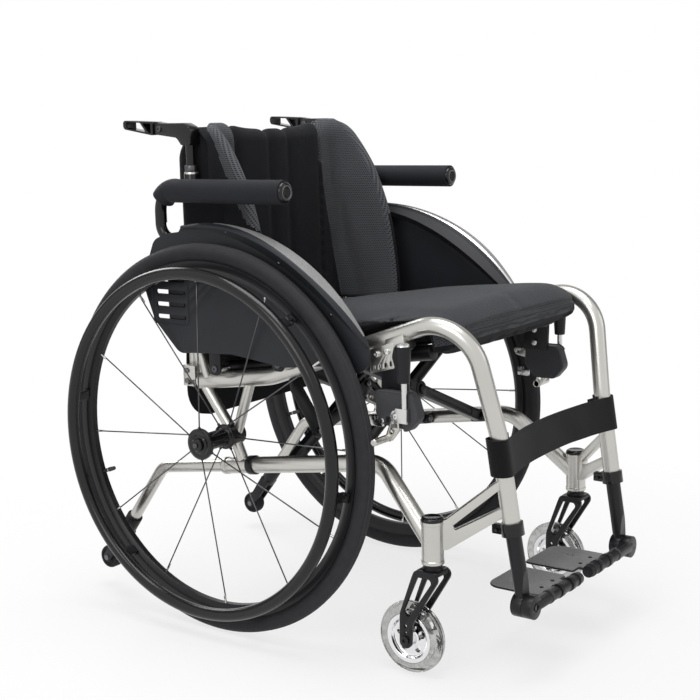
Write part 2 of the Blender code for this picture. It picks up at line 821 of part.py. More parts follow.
def make_brace(side, offset):
    """Cross brace with its foot on one side and its seat rail on the other.

    side is -1 for the brace whose feet turn on the right frame.
    """
    rail_x = -side * RAIL_X
    rail = cylinder((rail_x, RAIL_FRONT, RAIL_HEIGHT), (rail_x, RAIL_REAR, RAIL_HEIGHT), RAIL_RADIUS)
    brace = rail
    for position in CROSS_POSITIONS:
        brace = union(brace, brace_bar(offset, position, side))
    link_side = -side
    head_x, head_v = link_head_point(link_side)
    outward = 1 if offset > 0 else -1
    position = CROSS_POSITIONS[0]
    face = position + offset + outward * BAR_THICKNESS / 2
    tip = position + outward * (LINK_OFFSET + LINK_THICKNESS / 2 + 0.0040)
    lug = cylinder((head_x, position + offset - 0.005, head_v), (head_x, face, head_v), 0.0060)
    pin = cylinder((head_x, face - outward * 0.002, head_v), (head_x, tip, head_v), LINK_PIN_RADIUS)
    return union(brace, lug, pin)


def make_brace_a():
    """Brace with its feet on the right; it also carries the two centre bolts."""
    brace = make_brace(-1, BAR_OFFSET)
    for position in CROSS_POSITIONS:
        boss_face = BAR_OFFSET + BOSS_LENGTH / 2
        bolt = cylinder(
            (0, position + boss_face - 0.002, centre_height()),
            (0, position - boss_face - GAP - 0.002, centre_height()),
            PIVOT_PIN_RADIUS,
        )
        head = cylinder(
            (0, position - boss_face - GAP - 0.0035, centre_height()),
            (0, position - boss_face - GAP, centre_height()),
            0.0075,
            6,
        )
        brace = union(brace, bolt, head)
    return moved(brace, tube_frame())


def make_brace_b():
    brace = make_brace(1, -BAR_OFFSET)
    for position in CROSS_POSITIONS:
        middle = position - BAR_OFFSET
        hole = turning_hole(
            (0, middle - 0.02, centre_height()),
            (0, middle + 0.02, centre_height()),
            PIVOT_PIN_RADIUS,
        )
        brace = cut(brace, hole)
    return moved(brace, tube_frame())


def make_link(plane):
    """Curved arm from a frame bracket to the opposite brace, modelled for the left.

    Its head is an open eye: the pin wanders inside it by less than a millimetre as the chair folds.
    """
    foot_x = PIVOT_X - LINK_FOOT[0]
    foot_v = LINK_FOOT[1]
    head_x = foot_x - LINK_LENGTH * math.cos(LINK_ANGLE)
    head_v = foot_v + LINK_LENGTH * math.sin(LINK_ANGLE)
    middle_x = (foot_x + head_x) / 2
    middle_v = (foot_v + head_v) / 2 - 0.010
    position = CROSS_POSITIONS[0] + plane
    low = position - LINK_THICKNESS / 2
    high = position + LINK_THICKNESS / 2
    upper = [
        (foot_x, foot_v + 0.0080),
        (middle_x + 0.010, middle_v + 0.0085),
        (head_x, head_v + 0.0085),
    ]
    lower = [
        (head_x, head_v - 0.0085),
        (middle_x + 0.002, middle_v - 0.0085),
        (foot_x, foot_v - 0.0080),
    ]
    outline = rounded_outline(upper + lower, [0, 0.15, 0, 0, 0.15, 0], steps=5)
    link = prism(outline, "Y", low, high)
    foot = cylinder((foot_x, low, foot_v), (foot_x, high, foot_v), 0.0082)
    head = cylinder((head_x, low, head_v), (head_x, high, head_v), 0.0090)
    link = union(link, foot, head)
    foot_hole = turning_hole(
        (foot_x, low - 0.01, foot_v),
        (foot_x, high + 0.01, foot_v),
        PIVOT_PIN_RADIUS,
    )
    head_hole = cylinder(
        (head_x, low - 0.01, head_v),
        (head_x, high + 0.01, head_v),
        across_flats(LINK_PIN_RADIUS + LINK_HEAD_PLAY, 12),
        12,
    )
    return moved(cut(link, foot_hole, head_hole), tube_frame())


def make_back_post():
    """Back post with its bracket on the upper tube, and the handle's stem and head on top."""
    base = UPPER_TUBE_HEIGHT
    post = cylinder((POST_X, POST_Y, base - 0.0099), (POST_X, POST_Y, POST_TOP), POST_RADIUS)
    ring = cylinder((POST_X, POST_Y, POST_TOP - 0.002), (POST_X, POST_Y, POST_TOP + 0.010), 0.0090)
    stem = cylinder((POST_X, POST_Y, POST_TOP), (POST_X, POST_Y, STEM_TOP), 0.0070)
    bracket = box(
        (POST_X - 0.006, 0.0640, base - 0.0159),
        (UPPER_TUBE_X + 0.012, POST_Y + 0.017, base + 0.0161),
    )
    low = base + 0.0051
    high = base + 0.0451
    arm = prism(
        rounded_outline([(0.045, low), (0.088, low), (0.088, high), (0.060, high)], 0.003),
        "X",
        POST_X - 0.006,
        POST_X + 0.006,
    )
    head_outline = rounded_outline(
        [
            (POST_Y - 0.0100, STEM_TOP - 0.012),
            (POST_Y + 0.0090, STEM_TOP - 0.012),
            (POST_Y + 0.0180, GRIP_PIVOT.z - 0.0140),
            (GRIP_PIVOT.y + 0.0090, GRIP_PIVOT.z - 0.0085),
            (GRIP_PIVOT.y + 0.0090, GRIP_PIVOT.z + 0.0085),
            (POST_Y + 0.0050, GRIP_PIVOT.z + 0.0080),
            (POST_Y - 0.0100, GRIP_PIVOT.z + 0.0010),
        ],
        [0.003, 0, 0.006, 0.008, 0.008, 0.010, 0.008],
    )
    head = prism(head_outline, "X", POST_X - 0.0110, POST_X + 0.0110)
    slot = box(
        (POST_X - 0.0065, GRIP_PIVOT.y - 0.0140, GRIP_PIVOT.z - 0.03),
        (POST_X + 0.0065, GRIP_PIVOT.y + 0.03, GRIP_PIVOT.z + 0.03),
    )
    head = cut(head, slot)
    pin = cylinder(
        (POST_X - 0.0125, GRIP_PIVOT.y, GRIP_PIVOT.z),
        (POST_X + 0.0125, GRIP_PIVOT.y, GRIP_PIVOT.z),
        0.003,
    )
    post = union(post, ring, stem, cut(bracket, upper_tube_space()), arm, head, pin)
    return cut(post, upper_tube_space())


def make_push_grip():
    """Skeleton push handle with two triangular cut-outs."""
    pivot = GRIP_PIVOT
    tip_y = 0.2000
    outline = rounded_outline(
        [
            (pivot.y - 0.0080, pivot.z - 0.0080),
            (pivot.y + 0.0160, pivot.z - 0.0095),
            (tip_y, 0.7555),
            (tip_y, 0.7690),
            (pivot.y + 0.0120, 0.7660),
            (pivot.y - 0.0080, pivot.z + 0.0080),
        ],
        [0.0075, 0.004, 0.006, 0.004, 0.010, 0.0075],
    )
    body = prism(outline, "X", POST_X - 0.0110, POST_X + 0.0110)
    cheeks = [
        box(
            (POST_X + side * 0.0090 - 0.0031, pivot.y - 0.02, pivot.z - 0.02),
            (POST_X + side * 0.0090 + 0.0031, pivot.y + 0.0130, pivot.z + 0.02),
        )
        for side in (-1, 1)
    ]
    near_window = rounded_outline(
        [(pivot.y + 0.0190, 0.7500), (pivot.y + 0.0400, 0.7625), (pivot.y + 0.0190, 0.7620)],
        0.0012,
        steps=2,
    )
    far_window = rounded_outline(
        [
            (pivot.y + 0.0300, 0.7530),
            (tip_y - 0.0110, 0.7580),
            (tip_y - 0.0110, 0.7650),
            (pivot.y + 0.0500, 0.7630),
        ],
        0.0012,
        steps=2,
    )
    windows = [prism(w, "X", POST_X - 0.03, POST_X + 0.03) for w in (near_window, far_window)]
    hole = turning_hole((POST_X - 0.02, pivot.y, pivot.z), (POST_X + 0.02, pivot.y, pivot.z), 0.003)
    return cut(body, *cheeks, *windows, hole)


def make_arm_post():
    """Upright inside the guard that carries the arm's pivot."""
    top = Vector((ARM_POST_X, ARM_PIVOT.y, ARM_PIVOT.z))
    foot = (UPPER_TUBE_X + 0.0080, 0.0420, UPPER_TUBE_HEIGHT)
    bend = (ARM_POST_X, 0.0560, UPPER_TUBE_HEIGHT + 0.0500)
    upright = tube([foot, bend, top], (0.030,), 0.0060, 8)
    face = ARM_PIVOT.x - GAP
    knuckle = cylinder((face - 0.0120, top.y, top.z), (face, top.y, top.z), 0.0115)
    pin = cylinder(
        (face - 0.002, top.y, top.z),
        (ARM_PIVOT.x + ARM_EYE_WIDTH - 0.002, top.y, top.z),
        0.0035,
    )
    return cut(union(upright, knuckle, pin), upper_tube_space())


def make_arm_tube():
    """Arm that flips up: straight under the pad, then a hook down to a flattened eye.

    The hook stays inboard of the guard's panel so that it can swing past it.
    """
    eye_start = ARM_PIVOT
    eye_end = ARM_PIVOT + Vector((ARM_EYE_WIDTH, 0, 0))
    hook_x = eye_end.x + 0.0008 - ARM_TUBE_RADIUS
    points = [
        (ARM_X, -0.1330, ARM_HEIGHT),
        (ARM_X, 0.0720, ARM_HEIGHT),
        (hook_x, 0.1120, ARM_HEIGHT),
        (hook_x, 0.1120, ARM_HEIGHT - ARM_HOOK_DROP),
        (hook_x, ARM_PIVOT.y, ARM_PIVOT.z),
    ]
    arm = tube(points, (0.020, 0.028, 0.022), ARM_TUBE_RADIUS, 10)
    low = eye_start.z - 0.0330
    high = eye_start.z + 0.0320
    inner_trim = box((eye_start.x - 0.03, 0.04, low), (eye_start.x, 0.16, high))
    outer_trim = box((eye_end.x, 0.04, low), (eye_end.x + 0.03, 0.16, high))
    eye = cylinder(eye_start, eye_end, 0.0115)
    hole = turning_hole(eye_start - Vector((0.01, 0, 0)), eye_end - Vector((0.0015, 0, 0)), 0.0035)
    return cut(union(arm, eye), inner_trim, outer_trim, hole)


def make_arm_pad():
    """Foam sleeve with a plug in its front end."""
    front = -0.1440
    rear = 0.0580
    pad = lathe(
        [
            (0, 0),
            (0, 0.0110),
            (0.0015, 0.0145),
            (0.0035, PAD_RADIUS),
            (rear - front - 0.006, PAD_RADIUS),
            (rear - front, 0.0150),
            (rear - front, 0),
        ],
        (0, 0, 0),
        12,
        ring=False,
    )
    moved(pad, Matrix.Translation((ARM_X, front, ARM_HEIGHT)) @ Matrix.Rotation(math.pi / 2, 4, "Z"))
    return cut(pad, tube([(ARM_X, -0.1333, ARM_HEIGHT), (ARM_X, 0.0720, ARM_HEIGHT)], (), 0.0094, 10))


def guard_arc(radius, count):
    """Points of the guard's round top edge in (y, z), from its front tip to the rear."""
    points = []
    for i in range(count + 1):
        angle = RIM_EDGE_START + (RIM_EDGE_END - RIM_EDGE_START) * i / count
        points.append((-radius * math.cos(angle), TYRE_RADIUS + radius * math.sin(angle)))
    return points


def guard_edge_section(part):
    """Cross-section of the guard's moulded edge as (x, radius); part runs from 0 to 1 along it.

    The edge is leaf-shaped: an inboard lip and an outboard wing that both fade out at its ends.
    """
    swell = math.sin(math.pi * part**0.75)
    middle = GUARD_X + GUARD_THICKNESS / 2
    lip = RIM_EDGE_LIP * swell + 0.0025
    wing = RIM_EDGE_WING * swell + 0.0025
    return [
        (middle, RIM_EDGE_RADIUS - 0.012 - 0.024 * swell),
        (middle - lip, RIM_EDGE_RADIUS - 0.006 - 0.016 * swell),
        (middle - lip * 0.25, RIM_EDGE_RADIUS - 0.001),
        (middle + wing * 0.20, RIM_EDGE_RADIUS),
        (middle + wing, RIM_EDGE_RADIUS - 0.003 - 0.004 * swell),
        (middle + wing * 0.96, RIM_EDGE_RADIUS - 0.0055 - 0.0045 * swell),
        (middle, RIM_EDGE_RADIUS - 0.0050),
    ]


def make_guard_edge(count=14):
    """Loft the edge's sections from the front tip to the rear end."""
    bm = bmesh.new()
    rings = []
    for i in range(count + 1):
        part = i / count
        angle = RIM_EDGE_START + (RIM_EDGE_END - RIM_EDGE_START) * part
        rings.append([bm.verts.new(radial(angle, r, x)) for x, r in guard_edge_section(part)])
    for before, after in zip(rings, rings[1:]):
        for k in range(len(before)):
            n = (k + 1) % len(before)
            bm.faces.new((before[k], before[n], after[n], after[k]))
    bm.faces.new(rings[0])
    bm.faces.new(rings[-1])
    return object_from_bmesh("guard_edge", bm)


def guard_tab(y):
    """Tab that hangs inside the panel and rests on the upper tube through a boss."""
    height = UPPER_TUBE_HEIGHT + (0.0191 if y > -0.1 else 0.0361)
    top = GUARD_LOWER_EDGE + 0.0250
    low = height - 0.010
    tab = prism(
        rounded_outline(
            [(y - 0.011, low), (y + 0.011, low), (y + 0.011, top), (y - 0.011, top)],
            [0.008, 0.008, 0.002, 0.002],
        ),
        "X",
        GUARD_TAB_X,
        GUARD_TAB_X + GUARD_THICKNESS,
    )
    spacer = box(
        (GUARD_TAB_X + 0.001, y - 0.009, GUARD_LOWER_EDGE + 0.0090),
        (GUARD_X + 0.001, y + 0.009, GUARD_LOWER_EDGE + 0.0230),
    )
    boss = cylinder((UPPER_TUBE_X, y, height), (GUARD_TAB_X + 0.001, y, height), 0.0075)
    return union(tab, spacer, cut(boss, upper_tube_space()))


def make_side_guard():
    """Clothes guard: a flat panel with slots under a moulded edge."""
    top = TYRE_RADIUS + RIM_EDGE_RADIUS
    low = GUARD_LOWER_EDGE
    panel_outline = guard_arc(RIM_EDGE_RADIUS - 0.002, 14) + [
        (0.0660, top - 0.0155),
        (0.0900, top - 0.0185),
        (0.1180, top - 0.0285),
        (0.1400, top - 0.0785),
        (0.1420, low + 0.0920),
        (0.1240, low + 0.0460),
        (0.0750, low - 0.0020),
        (0.0470, low + 0.0010),
        (-0.0290, low + 0.0050),
        (-0.1290, low - 0.0060),
        (-0.2150, low + 0.0080),
        (-0.2620, low + 0.0080),
    ]
    guard = prism(panel_outline, "X", GUARD_X, GUARD_X + GUARD_THICKNESS)
    guard = union(guard, make_guard_edge())
    for y in (0.0090, -0.1130):
        guard = union(guard, guard_tab(y))
    for i in range(4):
        height = low + 0.0500 + 0.0190 * i
        slot = rounded_outline(
            [(0.0790, height), (0.1180, height), (0.1180, height + 0.0065), (0.0790, height + 0.0065)],
            0.0028,
            steps=2,
        )
        guard = cut(guard, prism(slot, "X", GUARD_X - 0.01, GUARD_X + 0.01))
    return guard


def make_brake_body():
    """Bracket clamped under the upper tube, and the rounded cover over the mechanism."""
    cover = prism(
        rounded_outline(
            [
                (-0.2890, 0.3970),
                (-0.3480, 0.3970),
                (-0.3580, 0.3640),
                (-0.3400, 0.3440),
                (-0.3060, 0.3440),
                (-0.2870, 0.3640),
            ],
            [0.006, 0.010, 0.012, 0.008, 0.008, 0.010],
        ),
        "X",
        0.1990,
        0.2185,
    )
    foot = prism(
        rounded_outline(
            [(-0.3020, 0.3560), (-0.3240, 0.3560), (-0.3240, 0.3400), (-0.3020, 0.3400)],
            0.002,
        ),
        "X",
        0.1990,
        0.2070,
    )
    bracket = prism(
        [(-0.2860, 0.3900), (-0.3300, 0.3900), (-0.3360, 0.4870), (-0.2900, 0.4700)],
        "X",
        0.1970,
        0.2070,
    )
    clamp = cylinder((0.1900, -0.2960, 0.4560), (0.1900, -0.3260, 0.4665), 0.0170)
    body = union(cover, foot, bracket, clamp)
    lever_pin = cylinder(BRAKE_PIVOT - Vector((0.004, 0, 0)), BRAKE_PIVOT + Vector((0.0055, 0, 0)), 0.0035)
    shoe_pin = cylinder(SHOE_PIVOT - Vector((0.006, 0, 0)), SHOE_PIVOT + Vector((0.0070, 0, 0)), 0.0030)
    notch = prism(
        [(-0.3280, 0.3620), (-0.3040, 0.3620), (-0.2960, 0.3300), (-0.3360, 0.3300)],
        "X",
        0.2076,
        0.2400,
    )
    body = cut(body, notch)
    return cut(union(body, lever_pin, shoe_pin), upper_tube_space())


def make_brake_lever():
    """Eye on the pivot, a block in front of it, and an upright shaft with a tapered grip."""
    inner = BRAKE_PIVOT.x + 0.0003
    outer = BRAKE_PIVOT.x + 0.0078
    shaft_y = BRAKE_PIVOT.y - 0.0125
    middle = (inner + outer) / 2
    eye = cylinder((inner, BRAKE_PIVOT.y, BRAKE_PIVOT.z), (outer, BRAKE_PIVOT.y, BRAKE_PIVOT.z), 0.0085)
    block = box(
        (inner + 0.0002, shaft_y - 0.0060, BRAKE_PIVOT.z - 0.0085),
        (outer + 0.0008, BRAKE_PIVOT.y, BRAKE_PIVOT.z + 0.0115),
    )
    shaft = cylinder((middle, shaft_y, BRAKE_PIVOT.z + 0.010), (middle, shaft_y, 0.4150), 0.0042)
    grip = lathe(
        [(0, 0), (0, 0.0080), (0.030, 0.0102), (0.047, 0.0110), (0.053, 0.0090), (0.054, 0)],
        (0, 0, 0),
        12,
        ring=False,
    )
    upright = Matrix.Translation((middle, shaft_y, 0.4130)) @ Matrix.Rotation(-math.pi / 2, 4, "Y")
    hole = turning_hole(
        BRAKE_PIVOT - Vector((0.01, 0, 0)),
        BRAKE_PIVOT + Vector((0.0060, 0, 0)),
        0.0035,
    )
    return cut(union(eye, block, shaft, moved(grip, upright)), hole)


def make_brake_shoe():
    """Arm with the bar that presses on the tyre."""
    low = SHOE_PIVOT.x - 0.0030
    high = SHOE_PIVOT.x + 0.0030
    arm = prism(
        rounded_outline(
            [
                (SHOE_PIVOT.y - 0.0070, SHOE_PIVOT.z + 0.0070),
                (SHOE_PIVOT.y - 0.0070, SHOE_PIVOT.z - 0.0060),
                (SHOE_BAR.y - 0.0050, SHOE_BAR.z - 0.0050),
                (SHOE_BAR.y + 0.0045, SHOE_BAR.z - 0.0030),
                (SHOE_PIVOT.y + 0.0070, SHOE_PIVOT.z + 0.0060),
            ],
            0.003,
        ),
        "X",
        low,
        high,
    )
    bar = cylinder(
        (low, SHOE_BAR.y, SHOE_BAR.z),
        (WHEEL_X + 0.0110, SHOE_BAR.y, SHOE_BAR.z),
        SHOE_BAR_RADIUS,
    )
    hole = turning_hole(SHOE_PIVOT - Vector((0.01, 0, 0)), SHOE_PIVOT + Vector((0.01, 0, 0)), 0.0030)
    return cut(union(arm, bar), hole)


def hanger_direction():
    return (ELBOW - FRONT_TUBE_END).normalized()


def make_hanger():
    """Leg that slides in the front tube, with its clamp above and half of the knuckle below."""
    top = FRONT_TUBE_END + hanger_direction() * GAP
    leg = cylinder(top, ELBOW, 0.0108)
    up = (FRONT_TUBE_KNEE - FRONT_TUBE_END).normalized()
    collar = cylinder(FRONT_TUBE_END - up * 0.0190, FRONT_TUBE_END + up * 0.0075, 0.0158)
    lug = box(
        (FRONT_TUBE_X - 0.0050, FRONT_TUBE_END.y + 0.008, FRONT_TUBE_END.z - 0.0180),
        (FRONT_TUBE_X + 0.0050, FRONT_TUBE_END.y + 0.0270, FRONT_TUBE_END.z - 0.0020),
    )
    seat = cylinder(
        FRONT_TUBE_END - up * GAP,
        FRONT_TUBE_END + up * 0.05,
        across_flats(TUBE_RADIUS + GAP, 12),
        12,
    )
    collar = cut(union(collar, lug), seat)
    knuckle = cylinder(
        (ELBOW.x, ELBOW.y - 0.0030, ELBOW.z),
        (ELBOW.x, ELBOW.y + 0.0140, ELBOW.z),
        ELBOW_RADIUS,
    )
    pin = cylinder((ELBOW.x, ELBOW.y, ELBOW.z), (ELBOW.x, ELBOW.y - 0.0185, ELBOW.z), 0.0045)
    trim = box(
        (ELBOW.x - 0.04, ELBOW.y - 0.05, ELBOW.z - 0.03),
        (ELBOW.x + 0.04, FOOT_TUBE_Y + FOOT_TUBE_RADIUS + GAP, ELBOW.z + 0.0500),
    )
    leg = cut(leg, trim)
    return union(collar, leg, knuckle, pin)


def make_foot_tube():
    """Other half of the knuckle and the tube that carries the footplate."""
    rear_face = ELBOW.y - 0.0033
    front_face = ELBOW.y - 0.0175
    knuckle = cylinder((ELBOW.x, rear_face, ELBOW.z), (ELBOW.x, front_face, ELBOW.z), ELBOW_RADIUS)
    bar = cylinder(
        (ELBOW.x, FOOT_TUBE_Y, ELBOW.z),
        (FOOT_TUBE_END_X, FOOT_TUBE_Y, ELBOW.z),
        FOOT_TUBE_RADIUS,
    )
    trim = box(
        (ELBOW.x - 0.03, rear_face, ELBOW.z - 0.03),
        (ELBOW.x + 0.03, rear_face + 0.03, ELBOW.z + 0.03),
    )
    hole = turning_hole((ELBOW.x, ELBOW.y + 0.01, ELBOW.z), (ELBOW.x, ELBOW.y - 0.03, ELBOW.z), 0.0045)
    return cut(union(knuckle, bar), trim, hole)


def make_footplate():
    """Plate with rounded corners, held on the foot tube by two clamps."""
    top = ELBOW.z - 0.0005
    outline = rounded_outline(
        [
            (PLATE_INNER_X, PLATE_REAR_Y),
            (PLATE_OUTER_X, PLATE_REAR_Y),
            (PLATE_OUTER_X, PLATE_FRONT_Y),
            (PLATE_INNER_X + 0.020, PLATE_FRONT_Y),
            (PLATE_INNER_X + 0.020, PLATE_FRONT_Y + 0.008),
            (PLATE_INNER_X, PLATE_FRONT_Y + 0.008),
        ],
        [0.005, 0.018, 0.004, 0.002, 0.003, 0.004],
        steps=3,
    )
    plate = prism(outline, "Z", top - PLATE_THICKNESS, top)
    for x in (0.0440, 0.0760):
        ring = cylinder((x - 0.006, FOOT_TUBE_Y, ELBOW.z), (x + 0.006, FOOT_TUBE_Y, ELBOW.z), 0.0118)
        tongue = box(
            (x - 0.006, FOOT_TUBE_Y, top - 0.0075),
            (x + 0.006, PLATE_FRONT_Y + 0.030, top - 0.0025),
        )
        plate = union(plate, ring, tongue)
    bore = cylinder(
        (0.02, FOOT_TUBE_Y, ELBOW.z),
        (0.10, FOOT_TUBE_Y, ELBOW.z),
        across_flats(FOOT_TUBE_RADIUS + 0.0002, 10),
        10,
    )
    return cut(plate, bore)


def make_tipper():
    """Anti-tip leg: a plug in the lower tube, a bend down, a clamp and the wheel's arm."""
    start_y = LOWER_TUBE_REAR - 0.028
    elbow = Vector((LOWER_TUBE_X, 0.1560, on_tube(0.1560)))
    wheel = TIPPER_AXLE
    down = (wheel - elbow).normalized()
    end = elbow + down * 0.150
    leg = tube([(LOWER_TUBE_X, start_y, on_tube(start_y)), elbow, end], (0.030,), TIPPER_TUBE_RADIUS, 12)
    clamp = cylinder(elbow + down * 0.116, elbow + down * 0.158, 0.0130)
    half = TIPPER_WHEEL_WIDTH / 2 + 0.0008
    across = Vector((0, -down.z, down.y))
    cheeks = []
    for side in (-1, 1):
        low = wheel.x + side * half
        high = low + side * 0.0035
        begin = elbow + down * 0.150
        corners = [
            begin + across * 0.0100,
            begin - across * 0.0100,
            wheel - across * 0.0075 + down * 0.006,
            wheel + across * 0.0075 + down * 0.006,
        ]
        outline = rounded_outline([(c.y, c.z) for c in corners], [0, 0, 0.005, 0.005])
        cheeks.append(prism(outline, "X", min(low, high), max(low, high)))
    pin = cylinder(wheel - Vector((half + 0.003, 0, 0)), wheel + Vector((half + 0.003, 0, 0)), 0.003)
    return union(leg, clamp, *cheeks, pin)


def make_tipper_wheel():
    half = TIPPER_WHEEL_WIDTH / 2
    bore = bore_radius(0.003, 10)
    outer = TIPPER_WHEEL_RADIUS
    side = [(half, bore), (half, outer - 0.003), (half - 0.003, outer)]
    profile = side + [(-x, r) for x, r in reversed(side)]
    return lathe(profile, TIPPER_AXLE, 14)


def make_seat_sling():
    """Cloth between the two seat rails, laid over both."""
    low = RAIL_HEIGHT + RAIL_RADIUS + GAP
    sling = box(
        (-RAIL_X - 0.005, RAIL_FRONT + 0.006, low),
        (RAIL_X + 0.005, RAIL_REAR - 0.004, low + SLING_THICKNESS),
    )
    return moved(sling, tube_frame())


def cushion_top_line(drop=0):
    """Side view of the cushion's top, rear to front: flat, then drooping to the nose."""
    top = CUSHION_TOP - drop
    return [
        (CUSHION_REAR, top),
        (CUSHION_FLAT_FRONT, top),
        (CUSHION_NOSE + 0.0420, top - CUSHION_DROOP),
    ]


def make_cushion():
    """Cushion whose nose drops in front of the rails, with shoulders over the side tubes."""
    low = RAIL_HEIGHT + RAIL_RADIUS + SLING_THICKNESS + 2 * GAP
    top_line = cushion_top_line()
    profile = rounded_outline(
        [
            (CUSHION_REAR, low),
            *top_line,
            (CUSHION_NOSE, CUSHION_TOP - CUSHION_DROOP - 0.0200),
            (CUSHION_NOSE, low),
            (RAIL_FRONT - 0.0250, CUSHION_NOSE_BOTTOM),
            (RAIL_FRONT - 0.0040, CUSHION_NOSE_BOTTOM),
            (RAIL_FRONT - 0.0040, low),
        ],
        [0.008, 0.020, 0.080, 0.040, 0.012, 0.016, 0.006, 0.004, 0],
        steps=3,
    )
    core = prism(profile, "X", -CUSHION_CORE_HALF, CUSHION_CORE_HALF)
    half_plan = [
        (CUSHION_CORE_HALF + 0.01, CUSHION_REAR + 0.03),
        (CUSHION_CORE_HALF + 0.01, -0.3100),
        (CUSHION_NOSE_HALF, CUSHION_NOSE + 0.0150),
        (CUSHION_NOSE_HALF - 0.0150, CUSHION_NOSE - 0.0010),
    ]
    plan = half_plan + [(-x, y) for x, y in half_plan[::-1]]
    core = combine(core, prism(plan, "Z", 0.1000, 0.3000), "INTERSECT")
    moved(core, tube_frame())
    shoulders = prism(
        [(0.0360, 0.4140), (-0.1500, 0.4355), (-0.3450, 0.5030), (-0.3420, 0.5250), (0.0360, 0.5250)],
        "X",
        -CUSHION_WIDE_HALF,
        CUSHION_WIDE_HALF,
    )
    shoulder_line = cushion_top_line(drop=0.0010)
    below = [(CUSHION_NOSE, 0.100), (0.100, 0.100), (0.100, shoulder_line[0][1])]
    under_top = prism(below + shoulder_line[1:], "X", -0.3, 0.3)
    shoulders = combine(shoulders, moved(under_top, tube_frame()), "INTERSECT")
    return union(core, shoulders)


def make_back_cloth():
    """Back upholstery: a hollow centre between two wings that reach forward."""
    back_y = POST_Y - POST_RADIUS - GAP
    behind = [
        (0.184, -0.078),
        (0.184, back_y),
        (0.166, back_y),
        (0.158, back_y + 0.006),
        (0.140, back_y + 0.010),
        (0.080, back_y + 0.013),
        (0, back_y + 0.014),
    ]
    before = [
        (0, back_y - 0.016),
        (0.080, back_y - 0.018),
        (0.128, back_y - 0.028),
        (0.157, -0.010),
        (0.165, -0.078),
    ]
    plan = behind + [(-x, y) for x, y in behind[-2::-1]]
    plan += [(-x, y) for x, y in before[::-1]] + before[1:]
    cloth = prism(plan, "Z", 0.4400, 0.7660)
    side = rounded_outline(
        [
            (0.1200, 0.4580),
            (0.1200, 0.7650),
            (0.0360, 0.7650),
            (-0.0210, 0.7000),
            (-0.0480, 0.6000),
            (-0.0650, 0.4810),
            (0.0480, 0.4600),
        ],
        [0, 0.020, 0.040, 0.10, 0.10, 0.010, 0],
        steps=3,
    )
    return combine(cloth, prism(side, "X", -0.3, 0.3), "INTERSECT")


def front_tube_point(height):
    """Centre of the front tube at a given height, between its knee and its end."""
    part = (height - FRONT_TUBE_END.z) / (FRONT_TUBE_KNEE.z - FRONT_TUBE_END.z)
    return FRONT_TUBE_END.lerp(FRONT_TUBE_KNEE, part)


def make_calf_strap():
    """Band between the front tubes with a loop round each."""
    low = STRAP_HEIGHT - STRAP_WIDTH / 2
    high = STRAP_HEIGHT + STRAP_WIDTH / 2
    left = front_tube_point(STRAP_HEIGHT)
    front_y = left.y - 0.0060
    sag = 0.0220
    count = 10
    rear_line = []
    front_line = []
    for i in range(count + 1):
        x = -left.x + 2 * left.x * i / count
        y = front_y + sag * (1 - (x / left.x) ** 2)
        rear_line.append((x, y + 0.0015))
        front_line.append((x, y - 0.0015))
    band = prism(rear_line + front_line[::-1], "Z", low, high)
    for side in (-1, 1):
        bottom = front_tube_point(low)
        top = front_tube_point(high)
        loop = cylinder((side * bottom.x, bottom.y, low), (side * top.x, top.y, high), 0.0162)
        band = union(band, loop)
    return cut(band, upper_tube_space(), flipped(upper_tube_space()))


def link_foot_origin(position):
    return tube_frame() @ Vector((PIVOT_X - LINK_FOOT[0], position, LINK_FOOT[1]))


def build_frames():
    left_plane = LINK_OFFSET
    right_plane = -LINK_OFFSET
    add_part(make_upper_frame(left_plane), "left_upper_frame", "silver")
    add_right(make_upper_frame(right_plane), "upper_frame", "silver")
    add_part(make_lower_frame(-BAR_OFFSET), "left_lower_frame", "silver")
    add_right(make_lower_frame(BAR_OFFSET), "lower_frame", "silver")
    add_pair(make_axle_mount(), "axle_mount", "silver")
    foot = link_foot_origin(CROSS_POSITIONS[0])
    add_part(make_link(left_plane), "left_link", "black_alloy", foot)
    add_right(make_link(right_plane), "link", "black_alloy", foot)
    pivot = tube_frame() @ Vector((PIVOT_X, CROSS_POSITIONS[0], 0))
    centre = tube_frame() @ Vector((0, CROSS_POSITIONS[0], centre_height()))
    add_part(make_brace_a(), "brace_a", "black_alloy", (-pivot.x, pivot.y, pivot.z))
    add_part(make_brace_b(), "brace_b", "black_alloy", centre)


def build_wheels():
    hub = Vector((WHEEL_X, 0, TYRE_RADIUS))
    add_pair(make_tyre(), "tyre", "tyre", hub)
    add_pair(make_rim(), "rim", "black_alloy", hub)
    add_pair(make_hub(), "hub", "black_alloy", hub)
    add_pair(make_handrim(), "handrim", "black_alloy", hub)
    add_pair(make_axle(), "axle", "chrome", hub)
    add_pair(make_axle_button(), "axle_button", "chrome", (HUB_OUTER_X, 0, TYRE_RADIUS))
    swivel = (CASTER_X, CASTER_Y, HOUSING_BOTTOM)
    add_pair(make_caster_fork(), "caster_fork", "black_alloy", swivel)
    add_pair(make_caster_tyre(), "caster_tyre", "clear_tyre", caster_centre())
    add_pair(make_caster_hub(), "caster_hub", "chrome", caster_centre())


